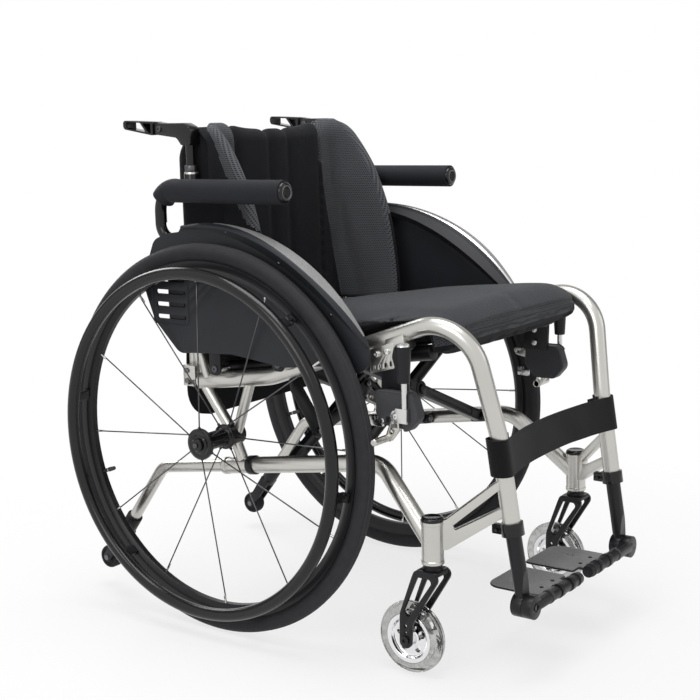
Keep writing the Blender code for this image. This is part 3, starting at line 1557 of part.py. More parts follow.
def build_fittings():
    add_pair(make_back_post(), "back_post", "silver")
    add_pair(make_push_grip(), "push_grip", "black_plastic", GRIP_PIVOT)
    add_pair(make_arm_post(), "arm_post", "black_alloy")
    add_pair(make_arm_tube(), "arm_tube", "black_alloy", ARM_PIVOT)
    add_pair(make_arm_pad(), "arm_pad", "foam", ARM_PIVOT)
    add_pair(make_side_guard(), "side_guard", "black_plastic")
    add_pair(make_brake_body(), "brake_body", "grey_plastic")
    add_pair(make_brake_lever(), "brake_lever", "black_plastic", BRAKE_PIVOT)
    add_pair(make_brake_shoe(), "brake_shoe", "silver", SHOE_PIVOT)
    add_pair(make_hanger(), "hanger", "black_alloy")
    add_pair(make_foot_tube(), "foot_tube", "black_alloy", ELBOW)
    add_pair(make_footplate(), "footplate", "foot_plate", ELBOW)
    tipper_origin = (LOWER_TUBE_X, LOWER_TUBE_REAR, on_tube(LOWER_TUBE_REAR))
    add_pair(make_tipper(), "tipper", "silver", tipper_origin)
    add_pair(make_tipper_wheel(), "tipper_wheel", "black_plastic", TIPPER_AXLE)


def build_soft_pieces():
    add_part(make_seat_sling(), "seat_sling", "webbing")
    add_part(make_cushion(), "cushion", "mesh_cloth")
    add_part(make_back_cloth(), "back_cloth", "mesh_cloth")
    add_part(make_calf_strap(), "calf_strap", "webbing")


def stand_on_origin():
    """Slide the chair so that the middle of its length lies over the origin; its wheels stand at z 0."""
    bpy.context.view_layer.update()
    ends = [(o.matrix_world @ v.co).y for o in bpy.data.objects for v in o.data.vertices]
    shift = -(min(ends) + max(ends)) / 2
    for obj in bpy.data.objects:
        obj.location.y += shift
    return shift


def build():
    clear_scene()
    build_frames()
    build_wheels()
    build_fittings()
    build_soft_pieces()
    return stand_on_origin()


FRONT_TO_BACK_SHIFT = build()
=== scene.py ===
# %% [markdown]
# # A folding active wheelchair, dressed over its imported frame
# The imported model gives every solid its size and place. This lesson gives those solids their real
# surfaces: turned wheels, bent tubes, sewn cloth and moulded plastic. The frame is loaded first,
# because every piece rides on one of its bodies.

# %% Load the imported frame
import json
import math

import bmesh
import bpy
from mathutils import Matrix, Vector

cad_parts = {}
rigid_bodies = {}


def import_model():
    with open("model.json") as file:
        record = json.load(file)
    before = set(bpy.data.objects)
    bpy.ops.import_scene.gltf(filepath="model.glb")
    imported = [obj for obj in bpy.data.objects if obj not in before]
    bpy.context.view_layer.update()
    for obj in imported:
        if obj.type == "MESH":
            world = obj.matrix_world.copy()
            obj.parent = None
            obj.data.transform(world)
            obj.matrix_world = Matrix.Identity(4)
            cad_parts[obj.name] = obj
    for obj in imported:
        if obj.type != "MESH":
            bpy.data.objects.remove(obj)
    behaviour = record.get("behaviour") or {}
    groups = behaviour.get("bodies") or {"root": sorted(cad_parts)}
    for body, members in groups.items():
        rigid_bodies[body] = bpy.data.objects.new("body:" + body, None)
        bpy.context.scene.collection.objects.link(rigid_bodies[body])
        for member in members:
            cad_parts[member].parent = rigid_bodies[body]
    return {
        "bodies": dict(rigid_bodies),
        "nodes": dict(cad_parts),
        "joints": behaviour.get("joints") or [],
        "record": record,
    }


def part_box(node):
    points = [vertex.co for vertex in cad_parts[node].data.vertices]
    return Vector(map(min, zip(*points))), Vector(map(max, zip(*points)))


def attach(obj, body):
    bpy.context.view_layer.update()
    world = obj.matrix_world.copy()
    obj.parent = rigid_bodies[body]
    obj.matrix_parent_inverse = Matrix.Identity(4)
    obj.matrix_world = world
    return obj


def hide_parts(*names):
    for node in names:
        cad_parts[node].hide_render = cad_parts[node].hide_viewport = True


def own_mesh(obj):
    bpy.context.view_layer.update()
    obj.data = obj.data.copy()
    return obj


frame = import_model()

for unused in ("Cube", "Light", "Camera"):
    if unused in bpy.data.objects:
        bpy.data.objects.remove(bpy.data.objects[unused])
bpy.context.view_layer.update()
HUB_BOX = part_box("left_hub")
AXLE_Y = (HUB_BOX[0][1] + HUB_BOX[1][1]) / 2
AXLE_Z = (HUB_BOX[0][2] + HUB_BOX[1][2]) / 2

# %% [markdown]
# ## How lengths are written
# Lengths are in metres. Every y below is measured from the rear axle, because on a real chair the
# wheels, the back and the casters are set out from it. A finished piece is slid into the frame's own
# place when it is given to its body. The left half is modelled, and a mirror image makes the right.

# %% Driving sizes
WHEEL_X = 0.236
TYRE_RADIUS = 0.295
HANDRIM_RADIUS = 0.2554
UPPER_X = 0.187
LOWER_X = 0.184
FRONT_X = 0.154
TUBE = 0.0125
SEAT_SLOPE = math.radians(8.38)
LOWER_HEIGHT = 0.2449
CASTER = Vector((0.212, -0.373, 0.0515))
CASTER_TRAIL = 0.036
POST_X = 0.178
POST_Y = 0.071
ARM_X = 0.217
ARM_Z = 0.664
GUARD_X = 0.2152
ELBOW = Vector((0.152, -0.481, 0.106))
FRONT_END = Vector((FRONT_X, -0.4632, 0.218))
FRONT_KNEE = Vector((0.156, -0.445, 0.34))

# %% [markdown]
# ## Camera
# The photograph was taken from the user's right front corner, a little above the cushion. The camera
# is placed there and aimed by its yaw, pitch and roll; the lens follows from its angle of view.

# %% Camera
CAMERA_PLACE = Vector((-1.68895, -1.33725, 0.77162))
CAMERA_YAW = 0.932891
CAMERA_PITCH = 0.174097
CAMERA_ROLL = -0.0276533
FOCAL_WIDTHS = 1.92853


def add_camera():
    yaw, pitch, roll = CAMERA_YAW, CAMERA_PITCH, CAMERA_ROLL
    ahead = Vector((math.sin(yaw) * math.cos(pitch), math.cos(yaw) * math.cos(pitch), -math.sin(pitch)))
    level = Vector((math.cos(yaw), -math.sin(yaw), 0))
    above = level.cross(ahead)
    right = level * math.cos(roll) + above * math.sin(roll)
    up = above * math.cos(roll) - level * math.sin(roll)
    data = bpy.data.cameras.new("camera")
    data.sensor_width = 36
    data.lens = FOCAL_WIDTHS * data.sensor_width
    data.clip_end = 50
    camera = bpy.data.objects.new("camera", data)
    bpy.context.scene.collection.objects.link(camera)
    turn = Matrix((right, up, -ahead)).transposed().to_4x4()
    camera.matrix_world = Matrix.Translation(CAMERA_PLACE + Vector((0, AXLE_Y, 0))) @ turn
    bpy.context.scene.camera = camera
    return camera


print("lens", round(add_camera().data.lens, 1), "mm")

# %% [markdown]
# ## Tools of the workshop
# A maker of such chairs bends tube, turns hubs, cuts plate and moulds plastic. Each helper below is
# one of those operations: bend, turn, plate, block and bar make a raw shape, and ease rounds its
# edges as a deburring wheel would.

# %% Objects and plain meshes
def new_object(name, data):
    obj = bpy.data.objects.new(name, data)
    bpy.context.scene.collection.objects.link(obj)
    return obj


def solid(name, bm, outward=True):
    """Turn a bmesh into an object with merged corners and outward faces."""
    bmesh.ops.remove_doubles(bm, verts=bm.verts, dist=1e-6)
    if outward:
        bmesh.ops.recalc_face_normals(bm, faces=bm.faces)
    mesh = bpy.data.meshes.new(name)
    bm.to_mesh(mesh)
    bm.free()
    return new_object(name, mesh)


def baked(obj):
    """The object as its modifiers leave it, as a plain mesh."""
    bpy.context.view_layer.update()
    depsgraph = bpy.context.evaluated_depsgraph_get()
    mesh = bpy.data.meshes.new_from_object(obj.evaluated_get(depsgraph))
    plain = new_object(obj.name, mesh)
    bpy.data.objects.remove(obj)
    return plain


def moved(obj, matrix):
    obj.data.transform(matrix)
    return obj


def mirrored(obj, name):
    """The same piece for the other side of the chair."""
    image = new_object(name, obj.data.copy())
    image.data.transform(Matrix.Diagonal((-1, 1, 1, 1)))
    image.data.flip_normals()
    return image


def joined(name, *objs):
    """One object from several, each keeping its own material."""
    bm = bmesh.new()
    materials = []
    for obj in objs:
        first = len(bm.faces)
        bm.from_mesh(obj.data)
        bm.faces.ensure_lookup_table()
        own = list(obj.data.materials) or [None]
        for face in bm.faces[first:]:
            material = own[min(face.material_index, len(own) - 1)]
            if material not in materials:
                materials.append(material)
            face.material_index = materials.index(material)
        bpy.data.objects.remove(obj)
    mesh = bpy.data.meshes.new(name)
    bm.to_mesh(mesh)
    bm.free()
    for material in materials:
        mesh.materials.append(material)
    return new_object(name, mesh)


# %% Rounded paths and outlines
def arc(corner, before, after, radius, step):
    """Points of the arc that rounds one corner."""
    to_before = (before - corner).normalized()
    to_after = (after - corner).normalized()
    half = to_before.angle(to_after) / 2
    turn = math.pi - 2 * half
    if radius == 0 or turn < 1e-3:
        return [corner]
    centre = corner + (to_before + to_after).normalized() * (radius / math.sin(half))
    start = corner + to_before * (radius / math.tan(half)) - centre
    end = corner + to_after * (radius / math.tan(half)) - centre
    count = max(2, round(turn / step))
    points = []
    for i in range(count + 1):
        part = turn * i / count
        weights = math.sin(turn - part) / math.sin(turn), math.sin(part) / math.sin(turn)
        points.append(centre + start * weights[0] + end * weights[1])
    return points


def rounded_path(points, radii, step=math.radians(5)):
    points = [Vector(p) for p in points]
    path = [points[0]]
    for before, corner, after, radius in zip(points, points[1:], points[2:], radii):
        path += arc(corner, before, after, radius, step)
    return path + [points[-1]]


def rounded_outline(points, radii, step=math.radians(12)):
    points = [Vector(p) for p in points]
    radii = radii if isinstance(radii, (list, tuple)) else [radii] * len(points)
    outline = []
    for i, corner in enumerate(points):
        outline += arc(corner, points[i - 1], points[(i + 1) % len(points)], radii[i], step)
    return outline


def ramp(value, width=1.0):
    """0 below nothing, 1 above the width, and straight between the two."""
    return min(max(value / width, 0), 1)


def rectangle(left, low, right, high, radii):
    """Outline of a rectangle with rounded corners, from the lower left one round."""
    return rounded_outline([(left, low), (right, low), (right, high), (left, high)], radii)


def drawn_line(name, points):
    """Curve data with one line of straight pieces through the points."""
    curve = bpy.data.curves.new(name, "CURVE")
    curve.dimensions = "3D"
    spline = curve.splines.new("POLY")
    spline.points.add(len(points) - 1)
    for point, place in zip(spline.points, points):
        point.co = (*place, 1)
    return curve


# %% Bend, turn, plate, block and bar
def bend(points, radii=(), radius=TUBE, sides=32):
    """A round tube along a path with bent corners."""
    curve = drawn_line("tube", rounded_path(points, radii))
    curve.bevel_depth = radius
    curve.bevel_resolution = (sides - 4) // 2
    curve.use_fill_caps = True
    tube = baked(new_object("tube", curve))
    bm = bmesh.new()
    bm.from_mesh(tube.data)
    bpy.data.objects.remove(tube)
    return solid("tube", bm)


def turn(profile, centre, sides=96, closed=False):
    """Turn a profile of (x, radius) pairs round the line through the centre along X."""
    centre = Vector(centre)
    bm = bmesh.new()
    verts = [bm.verts.new(centre + Vector((x, 0, radius))) for x, radius in profile]
    edges = [bm.edges.new(pair) for pair in zip(verts, verts[1:])]
    if closed:
        edges.append(bm.edges.new((verts[-1], verts[0])))
    bmesh.ops.spin(bm, geom=verts + edges, cent=centre, axis=(1, 0, 0), angle=math.tau, steps=sides)
    return solid("turned", bm)


def plate(outline, axis, low, high):
    """Cut plate: a 2-D outline pushed along X (outline in y, z), Y (in x, z) or Z (in x, y)."""
    place = {
        "X": lambda a, b: (low, a, b),
        "Y": lambda a, b: (a, low, b),
        "Z": lambda a, b: (a, b, low),
    }[axis]
    push = Vector([high - low if name == axis else 0 for name in "XYZ"])
    bm = bmesh.new()
    face = bm.faces.new([bm.verts.new(place(*point)) for point in outline])
    grown = bmesh.ops.extrude_face_region(bm, geom=[face])
    moving = [item for item in grown["geom"] if isinstance(item, bmesh.types.BMVert)]
    bmesh.ops.translate(bm, verts=moving, vec=push)
    return solid("plate", bm)


def block(low, high):
    low, high = Vector(low), Vector(high)
    bm = bmesh.new()
    shape = Matrix.Translation((low + high) / 2) @ Matrix.Diagonal((*(high - low), 1))
    bmesh.ops.create_cube(bm, size=1, matrix=shape)
    return solid("block", bm)


def bar(start, end, radius, sides=32, end_radius=None):
    start, end = Vector(start), Vector(end)
    axis = end - start
    aim = axis.to_track_quat("Z", "Y").to_matrix().to_4x4()
    bm = bmesh.new()
    bmesh.ops.create_cone(
        bm, cap_ends=True, segments=sides, radius1=radius,
        radius2=radius if end_radius is None else end_radius, depth=axis.length,
        matrix=Matrix.Translation((start + end) / 2) @ aim,
    )
    return solid("bar", bm)


def pin_through(centre, inward, outward, radius, sides=24):
    """Bar along X through a point, from so far inside it to so far outside it."""
    return bar(centre - Vector((inward, 0, 0)), centre + Vector((outward, 0, 0)), radius, sides)


def upright_at(x, y, z=0.0):
    """Stands a turned piece up, so that its X axis points upwards."""
    return Matrix.Translation((x, y, z)) @ Matrix.Rotation(-math.pi / 2, 4, "Y")


# %% Cut, weld and ease
def combine(target, tools, operation):
    for tool in tools:
        step = target.modifiers.new(operation.lower(), "BOOLEAN")
        step.operation = operation
        step.solver = "EXACT"
        step.object = tool
    result = baked(target)
    for tool in tools:
        bpy.data.objects.remove(tool)
    return result


def cut(target, *tools):
    return combine(target, tools, "DIFFERENCE")


def weld(target, *tools):
    return combine(target, tools, "UNION")


def ease(obj, width=0.0007, segments=2, angle=28):
    """Round the sharp edges of a hard piece."""
    step = obj.modifiers.new("eased", "BEVEL")
    step.width = width
    step.segments = segments
    step.limit_method = "ANGLE"
    step.angle_limit = math.radians(angle)
    return baked(obj)


def finish_with(obj, material, smooth=32):
    """Give a piece its material and shade its round faces smooth."""
    obj.data.materials.clear()
    obj.data.materials.append(material)
    obj.data.shade_smooth()
    obj.data.set_sharp_from_angle(angle=math.radians(smooth))
    return obj


def socket_screw(face, way, radius, proud, deep, socket, finish, back=0.0, edge=0.0006, sides=28):
    """Head of a screw on a face that looks along X, with a hexagonal socket."""
    face, out = Vector(face), Vector((way, 0, 0))
    head = ease(bar(face - out * back, face + out * proud, radius, sides), edge)
    hollow = bar(face + out * (proud - deep), face + out * (proud + 0.003), socket, 6)
    return finish_with(cut(head, hollow), finish)


# %% Skins and sheets
def between(rows, closed=True):
    """The corners of every quad between neighbouring rows, which may be rings."""
    for lower, upper in zip(rows, rows[1:]):
        for i in range(len(lower) if closed else len(lower) - 1):
            n = (i + 1) % len(lower)
            yield lower[i], lower[n], upper[n], upper[i]


def sheet_through(name, rows, thickness, finish, smooth):
    """Thin cloth through rows of points, half of its thickness on each side of them."""
    bm = bmesh.new()
    for corners in between([[bm.verts.new(p) for p in row] for row in rows], closed=False):
        bm.faces.new(corners)
    sheet = solid(name, bm, outward=False)
    thick = sheet.modifiers.new("thickness", "SOLIDIFY")
    thick.thickness = thickness
    thick.offset = 0
    return finish_with(baked(sheet), finish, smooth)


# %% Seating a piece on its body
MADE = []


def seat_piece(obj, name, body, nodes=()):
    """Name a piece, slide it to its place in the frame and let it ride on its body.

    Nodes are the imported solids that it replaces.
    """
    obj.name = name
    obj.data.name = name
    moved(obj, Matrix.Translation((0, AXLE_Y, 0)))
    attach(obj, body)
    if nodes:
        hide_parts(*nodes)
    MADE.append(name)
    return obj


def seat_pair(obj, name, body, nodes=()):
    """The piece for the left, and its mirror image for the right."""
    image = mirrored(obj, "right_" + name)
    pair = []
    for side, piece in (("left", obj), ("right", image)):
        own_nodes = [f"{side}_{node}" for node in nodes]
        pair.append(seat_piece(piece, f"{side}_{name}", f"{side}_{body}", own_nodes))
    return pair


def seat_sides(make, offset, name, body, node):
    """A pair whose fittings are shifted along Y, by the offset on the left and against it on the right."""
    seat_piece(make(offset), f"left_{name}", f"left_{body}", [f"left_{node}"])
    source = make(-offset)
    image = mirrored(source, f"right_{name}")
    bpy.data.objects.remove(source)
    seat_piece(image, f"right_{name}", f"right_{body}", [f"right_{node}"])


print("tools ready")

# %% [markdown]
# ## How finishes are written
# A finish is a small network of nodes. Written as sums, `0.3 + 0.1 * grain` is easier to read than
# a list of links, so a socket is wrapped in a class whose operators add Math nodes. Every other node
# comes from one method, which the finishes, the world and the trees of geometry nodes share.
# Numbers that are the same all over a piece are set on the shader itself.

# %% Wires and networks
class Wire:
    """A socket that can be reckoned with; each operator adds one Math node."""

    def __init__(self, net, socket):
        self.net = net
        self.socket = socket

    def __add__(self, other):
        return self.net.math("ADD", self, other)

    def __sub__(self, other):
        return self.net.math("SUBTRACT", self, other)

    def __rsub__(self, other):
        return self.net.math("SUBTRACT", other, self)

    def __mul__(self, other):
        return self.net.math("MULTIPLY", self, other)

    def __truediv__(self, other):
        return self.net.math("DIVIDE", self, other)

    def __rtruediv__(self, other):
        return self.net.math("DIVIDE", other, self)

    __radd__ = __add__
    __rmul__ = __mul__


class Network:
    """Nodes that are being wired up; each call adds one node and gives back one of its outputs."""

    def __init__(self, tree):
        self.nodes = tree.nodes
        self.links = tree.links

    def connect(self, value, socket):
        if isinstance(value, Wire):
            self.links.new(value.socket, socket)
        else:
            socket.default_value = value

    def node(self, kind, settings=(), inputs=(), output=0):
        made = self.nodes.new(kind if "Node" in kind else "ShaderNode" + kind)
        for name, value in dict(settings).items():
            setattr(made, name, value)
        for name, value in dict(inputs).items():
            self.connect(value, made.inputs[name])
        return Wire(self, made.outputs[output])

    def math(self, operation, *values):
        return self.node("Math", {"operation": operation}, dict(enumerate(values)))

    def vector_math(self, operation, first, second=(0, 0, 0), output=0):
        return self.node("VectorMath", {"operation": operation}, {0: first, 1: second}, output)

    def vector(self, x, y, z):
        return self.node("CombineXYZ", (), {0: x, 1: y, 2: z})


# %% A finish
class Finish(Network):
    """A material being made: its nodes, and the shader that they end in."""

    def __init__(self, name, **constants):
        self.material = bpy.data.materials.new(name)
        self.material.use_nodes = True
        super().__init__(self.material.node_tree)
        self.shader = self.nodes["Principled BSDF"]
        for socket, value in constants.items():
            self.shader.inputs[socket.replace("_", " ")].default_value = value
        self.place = self.node("TexCoord", output="Object")

    def parts(self, vector):
        """The three numbers of a vector."""
        return [self.node("SeparateXYZ", (), {0: vector}, axis) for axis in "XYZ"]

    def noise(self, scale, detail):
        return self.node("TexNoise", (), {"Vector": self.place, "Scale": scale, "Detail": detail})

    def cells(self, scale):
        return self.node("TexVoronoi", (), {"Vector": self.place, "Scale": scale})

    def wave(self, value, pitch):
        """Soft ridges from 0 to 1, one in each pitch."""
        return self.math("SINE", value * (math.tau / pitch)) * 0.5 + 0.5

    def step(self, value, low, high):
        """0 below low, 1 above high, and a soft change between them."""
        ends = {"Value": value, "From Min": low, "From Max": high}
        return self.node("MapRange", {"interpolation_type": "SMOOTHSTEP"}, ends)

    def shade(self, mask, dark, light):
        """Mix of two shades; each is a colour or a wire."""
        first, second = (shade if isinstance(shade, Wire) else (*shade, 1) for shade in (dark, light))
        return self.node("Mix", {"data_type": "RGBA"}, {0: mask, 6: first, 7: second}, 2)

    def surface(self, colour, roughness, height=None, depth=0.0002):
        """Feed the shader: its colour, its gloss and a relief of the given depth."""
        self.connect(colour, self.shader.inputs["Base Color"])
        self.connect(roughness, self.shader.inputs["Roughness"])
        if height:
            bump = self.node("Bump", (), {"Strength": 1.0, "Distance": depth, "Height": height})
            self.connect(bump, self.shader.inputs["Normal"])
        return self.material


# %% [markdown]
# ## Metals and lacquers
# The tubes are aluminium, blasted with fine beads and anodised in a warm silver, so they scatter
# light softly. Black parts are anodised too, but smoother, and the hubs are lacquered. The finish
# has a fine grain, a slow drift of shade, and a few places where hands have polished it.

# %% Metals and lacquers
def fine_metal(name, dark, light, gloss, grain=1400.0, depth=0.00003, **constants):
    """Anodised metal: fine grain, and wide patches that are slightly more polished."""
    finish = Finish(name, **constants)
    fine = finish.noise(grain, 2.0)
    drift = finish.noise(9.0, 2.0)
    scuffed = finish.step(finish.noise(60.0, 5.0), 0.6, 0.72)
    colour = finish.shade(drift * 0.7 + fine * 0.3, dark, light)
    return finish.surface(colour, gloss + 0.06 * drift + 0.05 * fine - 0.02 * scuffed, fine, depth)


silver = fine_metal("warm_silver", (0.5, 0.488, 0.46), (0.66, 0.645, 0.61), 0.24, Metallic=0.95)
bright_silver = fine_metal("bright_silver", (0.58, 0.58, 0.57), (0.72, 0.72, 0.71), 0.2, Metallic=1.0)
satin_black = fine_metal(
    "satin_black", (0.006, 0.0062, 0.0075), (0.014, 0.0145, 0.017), 0.28, Specular_IOR_Level=0.3)
ring_black = fine_metal(
    "ring_black", (0.006, 0.006, 0.007), (0.012, 0.012, 0.013), 0.13, 900.0, 0.00002, Specular_IOR_Level=0.35)
gloss_black = fine_metal(
    "gloss_black", (0.005, 0.005, 0.006), (0.01, 0.01, 0.011), 0.14, 700.0, 0.00001,
    Specular_IOR_Level=0.25, Coat_Weight=0.25, Coat_Roughness=0.04)
dark_spoke = fine_metal("dark_spoke", (0.075, 0.075, 0.08), (0.13, 0.13, 0.135), 0.24, Metallic=0.9)
chrome = fine_metal("chrome", (0.78, 0.78, 0.79), (0.86, 0.86, 0.87), 0.05, 300.0, 0.000004, Metallic=1.0)
steel = fine_metal("bolt_steel", (0.12, 0.12, 0.125), (0.22, 0.22, 0.225), 0.22, 900.0, Metallic=1.0)

# %% [markdown]
# ## Plastics, rubber and the clear caster tyres
# Moulded plastic carries the texture of its mould. Tyre rubber is matt and slightly greyed by
# dust, with fine lines round the tread. The caster tyres are clear polyurethane, which is given
# real transmission, with a faint cloudiness in its colour. That colour is darkened towards the
# tyre's outline as painted shade, for the dark surroundings seen through the rubber at its edge.

# %% Moulded plastics
def moulded(name, dark, light, gloss, grain, depth, shine=0.25):
    """Plastic with the leathery texture of its mould."""
    finish = Finish(name, Specular_IOR_Level=shine)
    pores = finish.cells(grain)
    fine = finish.noise(grain * 1.7, 3.0)
    drift = finish.noise(14.0, 2.0)
    colour = finish.shade(drift * 0.6 + pores * 0.5, dark, light)
    return finish.surface(colour, gloss + 0.1 * fine + 0.06 * drift, pores * 0.7 + fine * 0.3, depth)


black_plastic = moulded("black_plastic", (0.008, 0.0083, 0.01), (0.018, 0.0185, 0.0215), 0.3, 1300.0, 0.00003)
charcoal_plastic = moulded(
    "charcoal_plastic", (0.016, 0.0168, 0.0205), (0.029, 0.0305, 0.0365), 0.38, 1500.0, 0.00004)
grey_plastic = moulded("grey_plastic", (0.045, 0.046, 0.05), (0.075, 0.076, 0.082), 0.42, 1200.0, 0.00004)
pale_plastic = moulded("pale_plastic", (0.12, 0.12, 0.122), (0.44, 0.44, 0.445), 0.5, 750.0, 0.0002)
foot_plastic = moulded("foot_plastic", (0.16, 0.16, 0.164), (0.34, 0.34, 0.345), 0.52, 420.0, 0.0003)
foam = moulded("arm_foam", (0.016, 0.0165, 0.0195), (0.032, 0.033, 0.039), 0.66, 900.0, 0.00012, 0.15)


# %% Tyre rubber and clear polyurethane
TREAD_LINE_PITCH = 0.0021


def round_axle(finish, centre):
    """Distance from the wheel's middle plane, radius and angle round its axle."""
    x, y, z = finish.parts(finish.place)
    away, forward, up = finish.math("ABSOLUTE", x), y - centre[1], z - centre[2]
    radius = finish.math("SQRT", forward * forward + up * up)
    return away - centre[0], radius, finish.math("ARCTAN2", up, forward)


def tyre_rubber():
    finish = Finish("tyre_rubber", Specular_IOR_Level=0.2)
    across, radius, angle = round_axle(finish, (WHEEL_X, AXLE_Y, AXLE_Z))
    lines = finish.wave(across, TREAD_LINE_PITCH)
    bars = finish.math("SINE", angle * 460.0 + across * 900.0) * 0.5 + 0.5
    tread = finish.step(radius, TYRE_RADIUS - 0.0032, TYRE_RADIUS - 0.0016)
    dust = finish.noise(70.0, 5.0)
    fine = finish.noise(1500.0, 2.0)
    worn = dust * 0.6 + tread * 0.25 + fine * 0.1
    colour = finish.shade(worn, (0.022, 0.022, 0.025), (0.062, 0.062, 0.067))
    return finish.surface(colour, 0.6 + 0.22 * dust, tread * bars * lines + fine * 0.25, 0.0003)


def clear_rubber():
    finish = Finish("clear_caster_tyre", Transmission_Weight=0.96, IOR=1.49)
    cloud = finish.noise(120.0, 4.0)
    # Painted shade: clear falls from 1 where the tyre faces the view towards its outline, and darkens the
    # colour there.
    painted_rim_mask = finish.node("LayerWeight", (), {"Blend": 0.42}, "Facing")
    clear = 1 - 0.78 * painted_rim_mask * painted_rim_mask
    colour = finish.shade(cloud * clear, (0.12, 0.12, 0.117), (0.88, 0.875, 0.86))
    return finish.surface(colour, 0.02 + 0.05 * cloud, finish.noise(500.0, 2.0), 0.00002)


rubber = tyre_rubber()
clear_urethane = clear_rubber()

# %% [markdown]
# ## Cloth
# The seat and the wings are covered in spacer mesh, a knit with rows of round holes a few
# millimetres apart. The panels behind are a finer black knit. Straps are woven webbing. Each
# pattern is drawn from distances in metres, so its scale is right on every piece.

# %% Spacer mesh, knit and webbing
HOLE_PITCH = 0.0034
ROW_PITCH = HOLE_PITCH * math.sqrt(3)
HOLE_RADIUS, THREAD_RADIUS = 0.00062, 0.0012
YARN_PITCH = 0.0007
GATHER_PITCH = 0.004
KNIT_PITCH = 0.0014
THREAD_PITCH = 0.0004
TWILL_PITCH, RIB_PITCH = 0.0022, 0.0016


def cloth_finish(name, sheen=0.12):
    """A matt finish with the soft light of loose fibres along its edges."""
    return Finish(name, Sheen_Weight=sheen, Sheen_Roughness=0.5, Specular_IOR_Level=0.12)


def from_lattice(finish, u, v, shift):
    """Distance to the nearest point of one rectangular lattice of holes."""
    across = (finish.math("FRACT", u / HOLE_PITCH + shift) - 0.5) * HOLE_PITCH
    along = (finish.math("FRACT", v / ROW_PITCH + shift) - 0.5) * ROW_PITCH
    return finish.math("SQRT", across * across + along * along)


def cloth_place(finish, plane):
    """The two directions along the cloth, from its own UV map or from two axes of the object."""
    if plane == "uv":
        return finish.parts(finish.node("UVMap", {"uv_map": "cloth"}))[:2]
    axes = dict(zip("xyz", finish.parts(finish.place)))
    return axes[plane[0]], axes[plane[1]]


def spacer_mesh(name, hole, thread, light, gathered=False):
    """Two offset lattices of round holes in a ribbed knit, gathered into ribs beside a seam."""
    finish = cloth_finish(name)
    u, v = cloth_place(finish, "uv")
    near = finish.math("MINIMUM", from_lattice(finish, u, v, 0.0), from_lattice(finish, u, v, 0.5))
    raised = finish.step(near, HOLE_RADIUS, THREAD_RADIUS)
    yarn = finish.wave(u, YARN_PITCH)
    drift = finish.noise(18.0, 3.0)
    threads = finish.shade(drift * 0.7 + yarn * 0.3, thread, light)
    colour = finish.shade(raised, hole, threads)
    height = raised + yarn * 0.12 * raised + finish.noise(900.0, 2.0) * 0.15
    if gathered:
        gather = finish.node("Attribute", {"attribute_name": "gather"}, output="Fac")
        height = height + gather * (finish.math("SINE", v * (math.tau / GATHER_PITCH)) * 1.4)
    return finish.surface(colour, 0.8 + 0.12 * drift, height, 0.0005)


def knit(name, plane, dark, light, pitch=KNIT_PITCH):
    """Plain knit: rows of small interlocking loops."""
    finish = cloth_finish(name, 0.06)
    u, v = cloth_place(finish, plane)
    rows = finish.math("SINE", v * (math.tau / pitch) + finish.math("SINE", u * (math.tau / pitch)) * 1.2)
    drift = finish.noise(25.0, 4.0)
    loops = rows * 0.5 + 0.5
    colour = finish.shade(loops * 0.5 + drift * 0.5, dark, light)
    return finish.surface(colour, 0.82 + 0.12 * drift, loops + finish.noise(1400.0, 2.0) * 0.4, 0.0003)


def webbing(name, plane):
    """Woven strap: diagonal twill between ribs that run along it."""
    finish = cloth_finish(name)
    u, v = cloth_place(finish, plane)
    twill = finish.wave(u + v, TWILL_PITCH)
    rib = finish.math("ABSOLUTE", finish.math("SINE", v * (math.pi / RIB_PITCH)))
    drift = finish.noise(30.0, 3.0)
    colour = finish.shade(twill * 0.5 + drift * 0.5, (0.003, 0.003, 0.0036), (0.011, 0.0113, 0.013))
    return finish.surface(colour, 0.7 + 0.15 * drift, twill * 0.6 + rib * 0.4, 0.0004)


seat_mesh = spacer_mesh(
    "seat_spacer_mesh", (0.012, 0.012, 0.012), (0.05, 0.0525, 0.06), (0.09, 0.0935, 0.104), gathered=True)
wing_mesh = spacer_mesh("wing_spacer_mesh", (0.009, 0.009, 0.01), (0.09, 0.093, 0.103), (0.155, 0.16, 0.173))
back_knit = knit("back_knit", "uv", (0.005, 0.0053, 0.0065), (0.024, 0.0248, 0.029))
side_knit = knit("side_knit", "yz", (0.005, 0.0053, 0.0065), (0.018, 0.0187, 0.022))
strap_weave = webbing("strap_weave", "xz")
sling_weave = webbing("sling_weave", "xy")
black_thread = knit("black_thread", "xy", (0.02, 0.02, 0.021), (0.042, 0.042, 0.045), THREAD_PITCH)
grey_thread = knit("grey_thread", "yz", (0.085, 0.086, 0.09), (0.15, 0.152, 0.158), THREAD_PITCH)
print("finishes", len(bpy.data.materials))

# %% [markdown]
# ## Growing what repeats
# Spokes, nipples, screws and stitches repeat round an axle or along a path, so Geometry Nodes place
# them. Each tree has named inputs. It ends in Realize Instances and Set Material, and its result is
# turned into a plain mesh at once.

